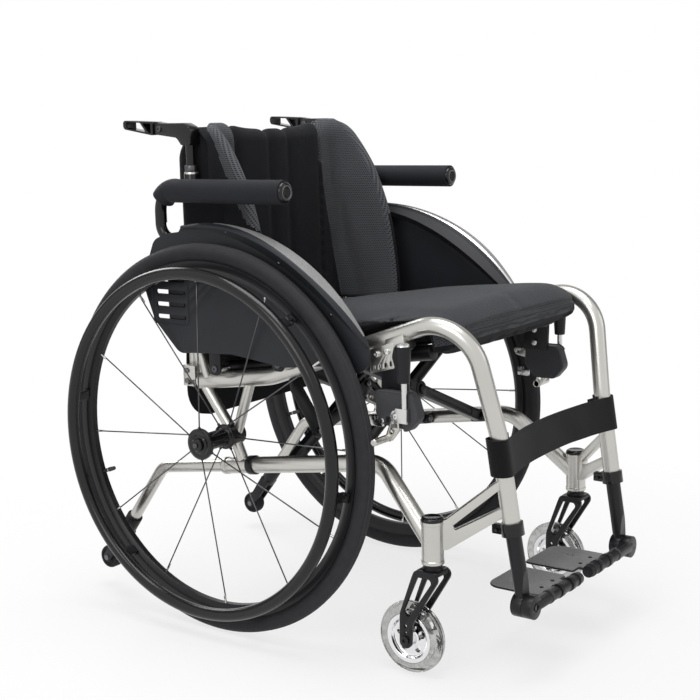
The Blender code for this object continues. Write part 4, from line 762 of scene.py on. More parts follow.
# %% A tree of geometry nodes
class Tree(Network):
    """A geometry node tree in the making."""

    def __init__(self, name, **inputs):
        self.group = bpy.data.node_groups.new(name, "GeometryNodeTree")
        super().__init__(self.group)
        face = self.group.interface
        self.identifiers = {}
        for label, kind in inputs.items():
            socket = face.new_socket(label, in_out="INPUT", socket_type="NodeSocket" + kind)
            self.identifiers[label] = socket.identifier
        face.new_socket("Geometry", in_out="OUTPUT", socket_type="NodeSocketGeometry")
        entry = self.nodes.new("NodeGroupInput")
        self.given = {label: Wire(self, entry.outputs[label]) for label in inputs}

    def share_of_turn(self):
        """The angle of each copy, when all of them are spread over a full turn."""
        index = self.node("GeometryNodeInputIndex")
        return index * (math.tau / self.given["Count"]) + self.given["Phase"]

    def shape_of(self, label):
        return self.node("GeometryNodeObjectInfo", (), {"Object": self.given[label]}, "Geometry")

    def place(self, points, shape, **ways):
        """Set a shape on every point, make it real, give it its material and send it out."""
        copies = self.node("GeometryNodeInstanceOnPoints", (), {"Points": points, "Instance": shape, **ways})
        plain = self.node("GeometryNodeRealizeInstances", (), {0: copies})
        dressed = self.node("GeometryNodeSetMaterial", (), {0: plain, "Material": self.given["Material"]})
        self.connect(dressed, self.nodes.new("NodeGroupOutput").inputs[0])
        return self

    def grow(self, name, **values):
        """Run the tree on an empty piece; its result is a plain mesh."""
        seed = new_object(name, bpy.data.meshes.new(name))
        step = seed.modifiers.new("grow", "NODES")
        step.node_group = self.group
        for label, value in values.items():
            step[self.identifiers[label]] = value
        result = baked(seed)
        print(name, "grown:", len(result.data.polygons), "faces")
        return result


# %% Tree: copies round an axle
def round_an_axle():
    """Copies of a fitting, each turned by its share of a full turn about the X axis."""
    tree = Tree("round_an_axle", Fitting="Object", Count="Int", Phase="Float", Centre="Vector",
                Material="Material")
    turned = tree.vector(tree.share_of_turn(), 0.0, 0.0)
    points = tree.node(
        "GeometryNodePoints", (), {"Count": tree.given["Count"], "Position": tree.given["Centre"]})
    return tree.place(points, tree.shape_of("Fitting"), Rotation=turned)


# %% Tree: spokes between a hub and a rim
def spoke_tree():
    """Straight spokes; each one starts on the hub and ends on the rim at its own angle."""
    tree = Tree("spokes", Count="Int", Phase="Float", Hub_X="Float", Rim_X="Float", Hub_Radius="Float",
                Rim_Radius="Float", Thickness="Float", Centre="Vector", Material="Material")
    given = tree.given
    angle = tree.share_of_turn()
    forward = tree.math("COSINE", angle) * -1.0
    upward = tree.math("SINE", angle)
    ends = []
    for x, radius in (("Hub_X", "Hub_Radius"), ("Rim_X", "Rim_Radius")):
        ends.append(tree.vector(given[x], forward * given[radius], upward * given[radius]))
    start = tree.vector_math("ADD", ends[0], given["Centre"])
    along = tree.vector_math("SUBTRACT", ends[1], ends[0])
    length = tree.vector_math("LENGTH", along, output="Value")
    points = tree.node("GeometryNodePoints", (), {"Count": given["Count"], "Position": start})
    round_bar = tree.node(
        "GeometryNodeMeshCylinder", (), {"Vertices": 10, "Radius": 1.0, "Depth": 1.0}, "Mesh")
    standing = tree.node(
        "GeometryNodeTransform", (), {"Geometry": round_bar, "Translation": (0.0, 0.0, 0.5)})
    smooth = tree.node("GeometryNodeSetShadeSmooth", (), {"Geometry": standing})
    aim = tree.node("FunctionNodeAlignRotationToVector", {"axis": "Z"}, {"Vector": along})
    size = tree.vector(given["Thickness"], given["Thickness"], length)
    return tree.place(points, smooth, Rotation=aim, Scale=size)


# %% Tree: stitches along a path
def stitch_tree():
    """Short rounded stitches laid end to end along a curve."""
    tree = Tree("stitches", Path="Object", Pitch="Float", Length="Float", Thickness="Float",
                Material="Material")
    given = tree.given
    spaced = tree.node("GeometryNodeCurveToPoints", {"mode": "LENGTH"},
                       {"Curve": tree.shape_of("Path"), "Length": given["Pitch"]})
    rotation = Wire(tree, spaced.socket.node.outputs["Rotation"])
    bead = tree.node("GeometryNodeMeshUVSphere", (), {"Segments": 6, "Rings": 4, "Radius": 0.5}, "Mesh")
    smooth = tree.node("GeometryNodeSetShadeSmooth", (), {"Geometry": bead})
    size = tree.vector(given["Thickness"], given["Thickness"], given["Length"])
    return tree.place(spaced, smooth, Rotation=rotation, Scale=size)


ROUND_AXLE = round_an_axle()
SPOKES = spoke_tree()
STITCHES = stitch_tree()


def around(fitting, name, count, phase, centre, material):
    """Repeat a fitting round the X axis through the centre, and use the first one up."""
    grown = ROUND_AXLE.grow(
        name, Fitting=fitting, Count=count, Phase=phase, Centre=tuple(centre), Material=material)
    bpy.data.objects.remove(fitting)
    return grown


def stitched(name, points, pitch, length, thickness, material=black_thread):
    """A row of stitches through the points."""
    path = new_object(name + "_path", drawn_line(name, points))
    row = STITCHES.grow(name, Path=path, Pitch=pitch, Length=length, Thickness=thickness, Material=material)
    bpy.data.objects.remove(path)
    return row

# %% [markdown]
# ## Rear wheels
# The tyre is a round section whose beads sit in the well of the rim. It is turned from its section
# with a few low ribs on the tread. The rim is a hollow, wedge-shaped extrusion rolled into a hoop,
# which a turned outline shows well.

# %% Tyre and rim
WHEEL_CENTRE = Vector((0, 0, TYRE_RADIUS))
SECTION_RADIUS = 0.0124
RIM_SEAT = 0.2512
HOOP_SIDES = 144


def tyre_profile():
    middle = TYRE_RADIUS - SECTION_RADIUS - 0.0001
    profile = []
    for i in range(57):
        angle = math.radians(-42 + 264 * i / 56)
        away = abs(math.degrees(angle) - 90)
        rib = 0.00035 * math.cos(math.radians(away * 16)) if away < 34 else 0.0
        reach = SECTION_RADIUS + rib - 0.00025
        profile.append((WHEEL_X + reach * math.cos(angle), middle + reach * math.sin(angle)))
    beads = [(0.0066, 0.2672), (0.0066, 0.27), (-0.0066, 0.27), (-0.0066, 0.2672)]
    return profile + [(WHEEL_X - x, r) for x, r in beads]


def rim_profile():
    outer = TYRE_RADIUS - 0.025
    outline = [
        (0.0105, outer), (0.0105, outer - 0.0105), (0.0048, RIM_SEAT), (-0.0048, RIM_SEAT),
        (-0.0105, outer - 0.0105), (-0.0105, outer), (-0.0092, outer), (-0.0092, 0.264),
        (-0.007, 0.261), (0.007, 0.261), (0.0092, 0.264), (0.0092, outer),
    ]
    radii = [0.0005, 0.004, 0.003, 0.003, 0.004, 0.0005, 0.0005, 0.001, 0.001, 0.001, 0.001, 0.0005]
    return [(WHEEL_X + x, r) for x, r in rounded_outline(outline, radii, math.radians(15))]


tyre = finish_with(turn(tyre_profile(), WHEEL_CENTRE, HOOP_SIDES, closed=True), rubber)
seat_pair(tyre, "tyre_tread", "wheel", ["tyre"])
rim = finish_with(turn(rim_profile(), WHEEL_CENTRE, HOOP_SIDES, closed=True), satin_black)
seat_pair(rim, "rolled_rim", "wheel", ["rim"])

# %% [markdown]
# ## Hub, spokes and nipples
# Twelve straight spokes run in turn from the inner and the outer flange to the rim. The hub shell
# is turned and lacquered, and each spoke ends in a silver nipple. Spokes and nipples follow a rule,
# so the trees make them from one spoke and one nipple.

# %% Hub shell
SPOKE_COUNT = 12
FIRST_SPOKE = math.radians(3.5)
SECOND_SPOKE = FIRST_SPOKE + math.tau / SPOKE_COUNT
INNER_FLANGE_X, OUTER_FLANGE_X = 0.2085, 0.2618
INNER_RIM_X, OUTER_RIM_X = WHEEL_X - 0.0025, WHEEL_X + 0.0025


def hub_profile():
    outline = [
        (0.2046, 0.0066), (0.2046, 0.0125), (0.2066, 0.0192), (0.2104, 0.0192), (0.2128, 0.0132),
        (0.253, 0.0132), (0.2592, 0.0236), (0.2652, 0.0236), (0.2664, 0.019), (0.2656, 0.015),
        (0.2674, 0.012), (0.2674, 0.0066),
    ]
    radii = [0, 0.002, 0.0012, 0.0012, 0.003, 0.004, 0.002, 0.0015, 0.0008, 0.0006, 0.0006, 0]
    return [tuple(p) for p in rounded_outline(outline, radii, math.radians(12))]


def spoke_seat(x, radius):
    """Raised socket on a flange, pointing to the front, for the first spoke."""
    start = Vector((x, -radius + 0.004, 0))
    return finish_with(bar(start, start + Vector((0, -0.007, 0)), 0.0026, 12, 0.0021), gloss_black)


def hub_with_seats():
    parts = [finish_with(turn(hub_profile(), WHEEL_CENTRE, 96), gloss_black)]
    for x, radius, phase in ((INNER_FLANGE_X, 0.0192, FIRST_SPOKE), (OUTER_FLANGE_X, 0.0222, SECOND_SPOKE)):
        seat = spoke_seat(x, radius)
        parts.append(around(seat, "spoke_seats", SPOKE_COUNT // 2, -phase, WHEEL_CENTRE, gloss_black))
    return joined("hub_shell", *parts)


seat_pair(hub_with_seats(), "hub_shell", "wheel", ["hub"])

# %% Spokes, nipples and valve
def nipple(x, lean):
    """Turned nipple at the foot of the front spoke, leaning towards its flange."""
    low = Vector((x - lean * 0.1, -RIM_SEAT + 0.0125, 0))
    high = Vector((x, -RIM_SEAT - 0.001, 0))
    knee = low.lerp(high, 0.35)
    return finish_with(
        joined("nipple", bar(low, knee, 0.0013, 12, 0.0019), bar(knee, high, 0.0019, 12)), bright_silver)


def valve():
    """Rubber stem with a cap, between two spokes at the rear."""
    angle = math.radians(198.5)
    out = Vector((0, -math.cos(angle), math.sin(angle)))
    base = WHEEL_CENTRE + Vector((WHEEL_X, 0, 0)) + out * (RIM_SEAT + 0.001)
    stem = finish_with(bar(base, base - out * 0.016, 0.0034, 20, 0.0027), black_plastic)
    cap = bar(base - out * 0.014, base - out * 0.027, 0.0037, 20, 0.0031)
    ring = finish_with(bar(base - out * 0.0125, base - out * 0.0145, 0.0031, 20), bright_silver)
    return [stem, finish_with(ease(cap, 0.0008), grey_plastic), ring]


spoke_sets, nipple_sets = [], []
for hub_x, start_radius, rim_x, phase in ((INNER_FLANGE_X, 0.021, INNER_RIM_X, FIRST_SPOKE),
                                          (OUTER_FLANGE_X, 0.024, OUTER_RIM_X, SECOND_SPOKE)):
    spoke_sets.append(SPOKES.grow(
        "spoke_set", Count=SPOKE_COUNT // 2, Phase=phase, Hub_X=hub_x, Rim_X=rim_x, Hub_Radius=start_radius,
        Rim_Radius=RIM_SEAT - 0.006, Thickness=0.00105, Centre=tuple(WHEEL_CENTRE), Material=dark_spoke))
    nipple_sets.append(around(
        nipple(rim_x, WHEEL_X - hub_x), "nipples", SPOKE_COUNT // 2, -phase, WHEEL_CENTRE, bright_silver))
seat_pair(joined("spokes", *spoke_sets), "spokes", "wheel")
seat_pair(joined("nipples", *nipple_sets, *valve()), "nipples_and_valve", "wheel")

# %% [markdown]
# ## Push ring
# The user drives the chair by this ring. It is a tube rolled into a hoop and screwed to the rim on
# six bent tabs. The hoop is turned; a tab is cut from plate and copied by the tree.

# %% Push ring and its tabs
HANDRIM_X = WHEEL_X + 0.0422
HANDRIM_TUBE = 0.0094
TAB_COUNT = 6
TAB_PHASE = math.radians(49.4)


def handrim_hoop():
    profile = []
    for i in range(28):
        angle = (i + 0.5) / 28 * math.tau
        profile.append((HANDRIM_X + HANDRIM_TUBE * math.cos(angle),
                        HANDRIM_RADIUS + HANDRIM_TUBE * math.sin(angle)))
    return finish_with(turn(profile, WHEEL_CENTRE, HOOP_SIDES, closed=True), ring_black)


def handrim_tab():
    """Bent strip between the rim's flank and the hoop, drawn for the front of the wheel."""
    flank, hoop = WHEEL_X + 0.0108, HANDRIM_X - 0.005
    outline = [(flank, -0.264), (flank + 0.0026, -0.264), (flank + 0.0026, -0.2562), (hoop, -0.254),
               (hoop, -0.2512), (flank, -0.253)]
    radii = [0.0008, 0.0008, 0.003, 0.0008, 0.0008, 0.004]
    strip = plate(rounded_outline(outline, radii), "Z", -0.0075, 0.0075)
    return finish_with(ease(strip, 0.0005), black_plastic)


screw = socket_screw((WHEEL_X + 0.0134, -0.2602, 0), 1, 0.003, 0.0018, 0.0014, 0.0014, steel,
                     back=0.001, edge=0.0005, sides=20)
tabs = around(handrim_tab(), "ring_tabs", TAB_COUNT, -TAB_PHASE, WHEEL_CENTRE, black_plastic)
screws = around(screw, "tab_screws", TAB_COUNT, -TAB_PHASE, WHEEL_CENTRE, steel)
seat_pair(joined("push_ring", handrim_hoop(), tabs, screws), "push_ring", "wheel", ["handrim"])

# %% [markdown]
# ## Quick-release axle
# The wheel comes off when the button in the middle of its axle is pressed. Both are turned parts.

# %% Axle and button
AXLE_HEAD_X = 0.2678


def axle_parts():
    x = AXLE_HEAD_X
    shaft = turn([(0.1735, 0), (0.1735, 0.005), (0.175, 0.0063), (x, 0.0063), (x, 0)], WHEEL_CENTRE, 32)
    cap_profile = [(x, 0.0042), (x, 0.0098), (x + 0.003, 0.0098), (x + 0.0048, 0.0082), (x + 0.005, 0.006),
                   (x + 0.005, 0.0042)]
    cap = turn(cap_profile, WHEEL_CENTRE, 48, closed=True)
    ball_foot = WHEEL_CENTRE + Vector((0.1765, 0, 0.0058))
    ball = bar(ball_foot, ball_foot + Vector((0, 0, 0.0014)), 0.0016, 12)
    return joined("axle", finish_with(shaft, steel), finish_with(cap, gloss_black), finish_with(ball, steel))


seat_pair(axle_parts(), "release_axle", "frame", ["axle"])
button_profile = [(0.2711, 0), (0.2711, 0.0039), (0.2748, 0.0039), (0.2757, 0.003), (0.2758, 0)]
button = finish_with(turn(button_profile, WHEEL_CENTRE, 40), dark_spoke)
seat_pair(button, "release_button", "axle_button", ["axle_button"])
print("wheels ready")

# %% [markdown]
# ## Side frames
# Each side has an upper tube that turns down into the front tube, and a lower tube that carries the
# caster housing. Both are drawn aluminium, bent on a former and welded, so they are bent along
# rounded paths here, and their brackets are cut from plate and welded on.

# %% Places along the frame
UPPER_HEIGHT = LOWER_HEIGHT + 0.135
PIVOT_X = 0.162
RAIL_X = 0.16
RAIL_HEIGHT = 0.148
RAIL_RADIUS = 0.011
RAIL_FRONT, RAIL_REAR = -0.372, 0.01
CROSSINGS = (-0.105, -0.215)
BAR_OFFSET = 0.011
LINK_OFFSET = 0.026
BRACE_ANGLE = math.atan2(RAIL_HEIGHT, PIVOT_X + RAIL_X)
SLOPED = Matrix.Translation((0, 0, LOWER_HEIGHT)) @ Matrix.Rotation(-SEAT_SLOPE, 4, "X")
UPPER_REAR_Y, UPPER_FALL = 0.062, 0.1357
LOWER_REAR_Y, LOWER_KNEE_Y = 0.022, -0.272
HAIR = 0.0001


def on_lower_tube(y):
    """Middle of the straight part of the lower tube at one y."""
    return Vector((LOWER_X, y, LOWER_HEIGHT - y * math.tan(SEAT_SLOPE)))


def upper_rear(y=UPPER_REAR_Y):
    """Middle of the upper tube's rear part, which falls towards the rear."""
    return Vector((UPPER_X, y, UPPER_HEIGHT - y * UPPER_FALL))


def upper_tube(radius=TUBE, rear=UPPER_REAR_Y):
    points = [upper_rear(rear), (UPPER_X, -0.078, UPPER_HEIGHT + 0.0106),
              (UPPER_X, -0.4155, UPPER_HEIGHT + 0.1287), FRONT_KNEE, FRONT_END]
    return bend(points, (0.1, 0.066, 0.1), radius)


def upper_bore(rear=UPPER_REAR_Y):
    """Cutter that gives a part its seat on the upper tube."""
    return upper_tube(TUBE + HAIR, rear)


LOWER_REAR = on_lower_tube(LOWER_REAR_Y)
ALONG_LOWER = Vector((0, math.cos(SEAT_SLOPE), -math.sin(SEAT_SLOPE)))


# %% Upper tube with its end plug and the link bracket
LINK_FOOT_X, LINK_FOOT_V = PIVOT_X - 0.0206, 0.0411


def link_bracket(plane):
    """Curved ear under the upper tube, with a bolt for the foot of a link arm."""
    side = 1 if plane > 0 else -1
    middle = CROSSINGS[0] + plane
    near, face = middle + side * 0.003, middle + side * 0.007
    x, v = LINK_FOOT_X, LINK_FOOT_V
    outline = rounded_outline(
        [(x - 0.009, v - 0.009), (x + 0.009, v - 0.009), (UPPER_X + 0.004, 0.11), (UPPER_X + 0.004, 0.13),
         (UPPER_X - 0.014, 0.126), (x - 0.009, v + 0.012)],
        [0.008, 0.008, 0, 0, 0, 0.006])
    ear = ease(plate(outline, "Y", min(near, face), max(near, face)), 0.0006)
    pin = bar((x, face - side * 0.001, v), (x, middle - side * 0.0035, v), 0.004, 24)
    head = ease(bar((x, face, v), (x, face + side * 0.0035, v), 0.0062, 6), 0.0005)
    parts = [finish_with(ear, satin_black), finish_with(pin, steel), finish_with(head, steel)]
    return moved(joined("bracket", *parts), SLOPED)


def upper_frame(plane):
    end, rearwards = upper_rear(), Vector((0, 1, -UPPER_FALL)).normalized()
    plug = ease(bar(end, end + rearwards * 0.0022, TUBE + HAIR, 40), 0.0009)
    return joined("upper_tube", finish_with(upper_tube(), silver), finish_with(plug, black_plastic),
                  link_bracket(plane))


seat_sides(upper_frame, LINK_OFFSET, "upper_tube", "frame", "upper_frame")

# %% [markdown]
# ## Lower tube, caster housing and gusset
# The housing is a turned barrel with a black cap above. An open V of plate ties it to the front
# tube. Two lugs on the lower tube hold the feet of a cross brace between their ears.

# %% Lower frame
EAR_GAP, EAR_THICK = 0.0085, 0.004


def brace_lug(position):
    """Two ears and the bolt for the foot of a cross brace."""
    reach = EAR_GAP + 0.003
    outline = rectangle(PIVOT_X - 0.0085, -0.0085, LOWER_X, 0.0085, [0.0082, 0, 0, 0.0082])
    pin = bar((PIVOT_X, position - reach, 0), (PIVOT_X, position + reach, 0), 0.004, 24)
    ears, heads = [], []
    for way in (-1, 1):
        near, face = position + way * EAR_GAP, position + way * (EAR_GAP + EAR_THICK)
        ear = ease(plate(outline, "Y", min(near, face), max(near, face)), 0.0006)
        ears.append(finish_with(ear, satin_black))
        head = ease(bar((PIVOT_X, face, 0), (PIVOT_X, face + way * 0.0032, 0), 0.0058, 6), 0.0005)
        heads.append(finish_with(head, steel))
    return moved(joined("lug", *ears, finish_with(pin, steel), *heads), SLOPED)


def front_gusset():
    """Open V of plate between the caster housing and the front tube."""
    start = Vector((CASTER.x, CASTER.y, 0))
    across = Vector((0.155, -0.459, 0)) - start
    outline = rounded_outline(
        [(0.004, 0.225), (0.018, 0.226), (0.106, 0.2915), (0.106, 0.279), (0.027, 0.218), (0.03, 0.211),
         (0.106, 0.247), (0.106, 0.2345), (0.02, 0.184), (0.004, 0.184)],
        [0, 0.01, 0, 0, 0.003, 0.003, 0, 0, 0.01, 0])
    web = plate(outline, "Y", -0.0055, 0.0055)
    turned = Matrix.Rotation(math.atan2(across.y, across.x), 4, "Z")
    moved(web, Matrix.Translation(start) @ turned)
    return ease(cut(web, upper_tube(TUBE - 0.0004)), 0.001)


def caster_housing():
    """Barrel for the caster's stem, with bearing rings and a black cap."""
    profile = [(0.1637, 0.0082), (0.1637, 0.015), (0.1648, 0.016), (0.169, 0.016), (0.1696, 0.0153),
               (0.2195, 0.0153), (0.2201, 0.016), (0.224, 0.016), (0.225, 0.0152), (0.225, 0)]
    upright = upright_at(CASTER.x, CASTER.y)
    barrel = moved(turn(profile, (0, 0, 0), 64), upright)
    cap_profile = [(0.224, 0), (0.224, 0.016), (0.2258, 0.0162), (0.229, 0.015), (0.2306, 0.012),
                   (0.2298, 0.01), (0.2296, 0)]
    cap = moved(turn(cap_profile, (0, 0, 0), 48), upright)
    return [finish_with(barrel, silver), finish_with(ease(cap, 0.0005), gloss_black)]


def tube_collar():
    """Black clamp on the lower tube behind the axle strut, and the silver lip of the tube's end."""
    parts = []
    for back, width, radius, finish in ((0.063, 0.013, 0.0146, satin_black), (0.008, 0.009, 0.0133, silver)):
        start = LOWER_REAR - ALONG_LOWER * back
        ring = ease(bar(start, start + ALONG_LOWER * width, radius, 48), 0.001)
        parts.append(finish_with(ring, finish))
    return parts


def lower_frame(offset):
    tube = bend([LOWER_REAR, on_lower_tube(LOWER_KNEE_Y), (CASTER.x, CASTER.y, 0.19)], (0.045,))
    leg_bore = bar(LOWER_REAR - ALONG_LOWER * 0.031, LOWER_REAR + ALONG_LOWER * 0.01, 0.0096, 32)
    tube = finish_with(cut(tube, leg_bore), silver)
    gusset = finish_with(front_gusset(), silver)
    lugs = [brace_lug(position + offset) for position in CROSSINGS]
    return joined("lower_tube", tube, gusset, *lugs, *caster_housing(), *tube_collar())


seat_sides(lower_frame, -BAR_OFFSET, "lower_tube", "frame", "lower_frame")

# %% [markdown]
# ## Axle receiver
# A turned sleeve takes the wheel's axle. Two struts hang it from the upper tube and a stub stands
# it on the lower one.

# %% Axle receiver
def axle_receiver():
    profile = [
        (0.1765, 0.0065), (0.1765, 0.015), (0.1775, 0.0164), (0.183, 0.0164), (0.1838, 0.0155),
        (0.195, 0.0155), (0.1958, 0.0164), (0.2025, 0.0164), (0.2036, 0.015), (0.2036, 0.0065),
    ]
    sleeve = turn(profile, WHEEL_CENTRE, 64, closed=True)
    x = UPPER_X
    rear = bend([(x, 0.052, UPPER_HEIGHT - 0.0169), (x, 0, TYRE_RADIUS)], (), 0.0085, 24)
    front = bend([(x, -0.037, UPPER_HEIGHT), (x, -0.006, TYRE_RADIUS)], (), 0.008, 24)
    stub = bend([(x - 0.001, 0.002, TYRE_RADIUS), (LOWER_X, -0.015, LOWER_HEIGHT + 0.0071)], (), 0.009, 24)
    struts = weld(rear, front, stub)
    core = bar((0.17, 0, TYRE_RADIUS), (0.21, 0, TYRE_RADIUS), 0.015, 48)
    struts = cut(struts, core)
    return joined("receiver", finish_with(sleeve, satin_black), finish_with(struts, silver))


seat_pair(axle_receiver(), "axle_receiver", "frame", ["axle_mount"])

# %% [markdown]
# ## Casters
# A forged fork with a long slot in each leg carries a small clear wheel behind its stem, so that
# it trails. The tyre is clear polyurethane on a polished hub with five holes.

# %% Caster fork
FORK_HALF = 0.0235 / 2 + 0.0022
LEG_THICK = 0.0045
CASTER_CENTRE = CASTER + Vector((0, CASTER_TRAIL, 0))


def fork_leg(inner_x):
    """One leg, from its inner face outwards, with a long slot and two small holes."""
    trail = CASTER_TRAIL
    outline = rounded_outline(
        [(-0.017, 0.156), (0.019, 0.156), (0.024, 0.144), (trail + 0.0085, 0.089),
         (trail + 0.0095, 0.04), (trail - 0.0095, 0.04), (trail - 0.0115, 0.076), (-0.0185, 0.144)],
        [0.01, 0.008, 0.012, 0.03, 0.009, 0.009, 0.03, 0.012])
    leg = plate([(y + CASTER.y, z) for y, z in outline], "X", inner_x, inner_x + LEG_THICK)
    slot = rounded_outline(
        [(-0.0122, 0.1465), (0.014, 0.1465), (0.0178, 0.1385), (trail + 0.0018, 0.093),
         (trail - 0.0062, 0.085)],
        [0.005, 0.003, 0.004, 0.003, 0.002])
    window = plate([(y + CASTER.y, z) for y, z in slot], "X", inner_x - 0.01, inner_x + 0.01)
    hole_y = CASTER.y + trail - 0.0008
    holes = [pin_through(Vector((inner_x, hole_y, z)), 0.01, 0.01, 0.0024, 20) for z in (0.062, 0.072)]
    return ease(cut(leg, window, *holes), 0.0008)


def caster_fork():
    legs = [fork_leg(CASTER.x + FORK_HALF), fork_leg(CASTER.x - FORK_HALF - LEG_THICK)]
    crown_half = FORK_HALF + LEG_THICK - 0.0004
    crown_outline = rectangle(CASTER.x - crown_half, CASTER.y - 0.0165,
                              CASTER.x + crown_half, CASTER.y + 0.0185, 0.006)
    crown = ease(plate(crown_outline, "Z", 0.1492, 0.1558), 0.002, 3)
    stem = turn([(0.153, 0), (0.153, 0.0142), (0.159, 0.0142), (0.1605, 0.0128), (0.1632, 0.0128),
                 (0.1632, 0.0079), (0.214, 0.0079), (0.214, 0)], (0, 0, 0), 48)
    moved(stem, upright_at(CASTER.x, CASTER.y))
    ends = []
    for way in (-1, 1):
        face = CASTER_CENTRE + Vector((way * (FORK_HALF + LEG_THICK), 0, 0))
        ends.append(socket_screw(face, way, 0.007, 0.0034, 0.0022, 0.0026, gloss_black,
                                 edge=0.0007, sides=32))
    axle = finish_with(pin_through(CASTER_CENTRE, FORK_HALF + 0.004, FORK_HALF + 0.004, 0.0039), steel)
    black = [finish_with(part, satin_black) for part in (*legs, crown, stem)]
    return joined("fork", *black, axle, *ends)


seat_pair(caster_fork(), "caster_fork", "caster", ["caster_fork"])

# %% Caster tyre and hub
def caster_tyre():
    section = rounded_outline(
        [(0.0108, 0.0361), (0.0117, 0.04), (0.0086, 0.0488), (0.003, 0.0515), (-0.003, 0.0515),
         (-0.0086, 0.0488), (-0.0117, 0.04), (-0.0108, 0.0361)],
        [0.0004, 0.005, 0.007, 0.006, 0.006, 0.007, 0.005, 0.0004], math.radians(8))
    return finish_with(turn([(x, min(r, 0.0514)) for x, r in section], CASTER_CENTRE, 96, closed=True),
                       clear_urethane)


def caster_hub():
    section = rounded_outline(
        [(0.0124, 0.0043), (0.0124, 0.0085), (0.004, 0.0112), (0.0036, 0.0265), (0.01, 0.03),
         (0.0106, 0.0358), (-0.0106, 0.0358), (-0.01, 0.03), (-0.0036, 0.0265), (-0.004, 0.0112),
         (-0.0124, 0.0085), (-0.0124, 0.0043)],
        [0, 0.001, 0.003, 0.004, 0.002, 0.0008, 0.0008, 0.002, 0.004, 0.003, 0.001, 0])
    hub = turn([tuple(p) for p in section], CASTER_CENTRE, 96, closed=True)
    holes = []
    for i in range(5):
        angle = math.tau * i / 5 + 0.3
        middle = CASTER_CENTRE + Vector((0, math.cos(angle), math.sin(angle))) * 0.019
        holes.append(pin_through(middle, 0.01, 0.01, 0.0054, 28))
    return finish_with(cut(hub, *holes), chrome)


def bearing_shields():
    rings = []
    for way in (-1, 1):
        profile = [(way * 0.0125, 0.0044), (way * 0.0128, 0.005), (way * 0.0128, 0.0076),
                   (way * 0.0125, 0.008)]
        rings.append(turn(profile, CASTER_CENTRE, 48, closed=True))
    return finish_with(joined("shields", *rings), black_plastic)


seat_pair(caster_tyre(), "caster_tyre", "caster_wheel", ["caster_tyre"])
hub = joined("hub", caster_hub(), bearing_shields())
seat_pair(hub, "caster_hub", "caster_wheel", ["caster_hub"])

# %% [markdown]
# ## Side guards
# The guard keeps clothes off the wheel. A thin charcoal panel carries a leaf-shaped moulded edge
# that follows the tyre: its top is pale and textured, and a thin band of bright silver along its
# outer side is a painted highlight.
# The edge is lofted through sections that swell and fade, and its faces get their finish by place.

# %% Guard edge, lofted along the tyre
EDGE_RADIUS = TYRE_RADIUS + 0.0285
EDGE_START, EDGE_END = math.radians(30.0), math.radians(101)
GUARD_LOW = UPPER_HEIGHT + 0.0401
GUARD_THICK = 0.003
GUARD_FACE = GUARD_X + GUARD_THICK


def edge_angle(part):
    return EDGE_START + (EDGE_END - EDGE_START) * part


def radial(angle, radius, x):
    """A point beside the wheel; the angle runs from the front upwards."""
    return Vector((x, -radius * math.cos(angle), TYRE_RADIUS + radius * math.sin(angle)))


def edge_section(part):
    """Closed section of the edge as (x, radius), with the finish of the face after each point."""
    swell = math.sin(math.pi * part**0.75)
    leaf = math.sin(math.pi * ramp(part - 0.03, 0.8) ** 0.85)
    middle = GUARD_X + GUARD_THICK / 2
    lip, wing = 0.015 * swell + 0.0025, 0.019 * swell + 0.0025
    R = EDGE_RADIUS
    low = R - 0.006 - 0.016 * swell
    wing_top, wing_low = R - 0.003 - 0.004 * swell, R - 0.0055 - 0.0045 * swell
    pale_end = wing * (0.2 + 0.62 * leaf)
    return [
        ((middle, R - 0.012 - 0.024 * swell), "dark"),
        ((middle - lip * 0.8, low - 0.0015 * swell), "dark"),
        ((middle - lip, low + 0.0006), "grey"),
        ((middle - lip * 0.93, low + 0.0022 * swell + 0.0006), "grey"),
        ((middle - lip * 0.5, R - 0.003 - 0.0045 * swell), "dark"),
        # Painted highlight: the face after this point is a thin band of bright silver along the ridge.
        ((middle - lip * 0.3, R - 0.0012 - 0.0016 * swell), "bright"),
        ((middle - lip * 0.12, R - 0.0004), "pale" if leaf > 0.01 else "dark"),
        ((middle + pale_end * 0.5, R - 0.0003 - 0.0004 * swell), "pale" if leaf > 0.01 else "dark"),
        ((middle + pale_end, R - 0.0009 - 0.0026 * swell * leaf), "dark"),
        ((middle + wing * 0.9, R - 0.0022 - 0.0033 * swell), "dark"),
        ((middle + wing, (wing_top + wing_low) / 2), "dark"),
        ((middle + wing * 0.96, wing_low), "dark"),
        ((middle + wing * 0.3, R - 0.0052), "dark"),
    ]


def guard_edge(count=72):
    """Loft of the sections; each face takes the finish of its first corner."""
    # The painted highlight band takes bright silver; the other kinds are the edge's own colours.
    finishes = {"pale": pale_plastic, "bright": bright_silver, "dark": charcoal_plastic, "grey": grey_plastic}
    order = list(finishes)
    bm = bmesh.new()
    rings = []
    for i in range(count + 1):
        part = i / count
        angle = edge_angle(part)
        rings.append([(bm.verts.new(radial(angle, r, x)), kind) for (x, r), kind in edge_section(part)])
    for corners in between(rings):
        face = bm.faces.new([vert for vert, _ in corners])
        face.material_index = order.index(corners[0][1])
    for ring in (rings[0], rings[-1]):
        bm.faces.new([vert for vert, _ in ring]).material_index = order.index("dark")
    edge = solid("edge", bm)
    for finish in finishes.values():
        edge.data.materials.append(finish)
    edge.data.shade_smooth()
    edge.data.set_sharp_from_angle(angle=math.radians(38))
    return edge


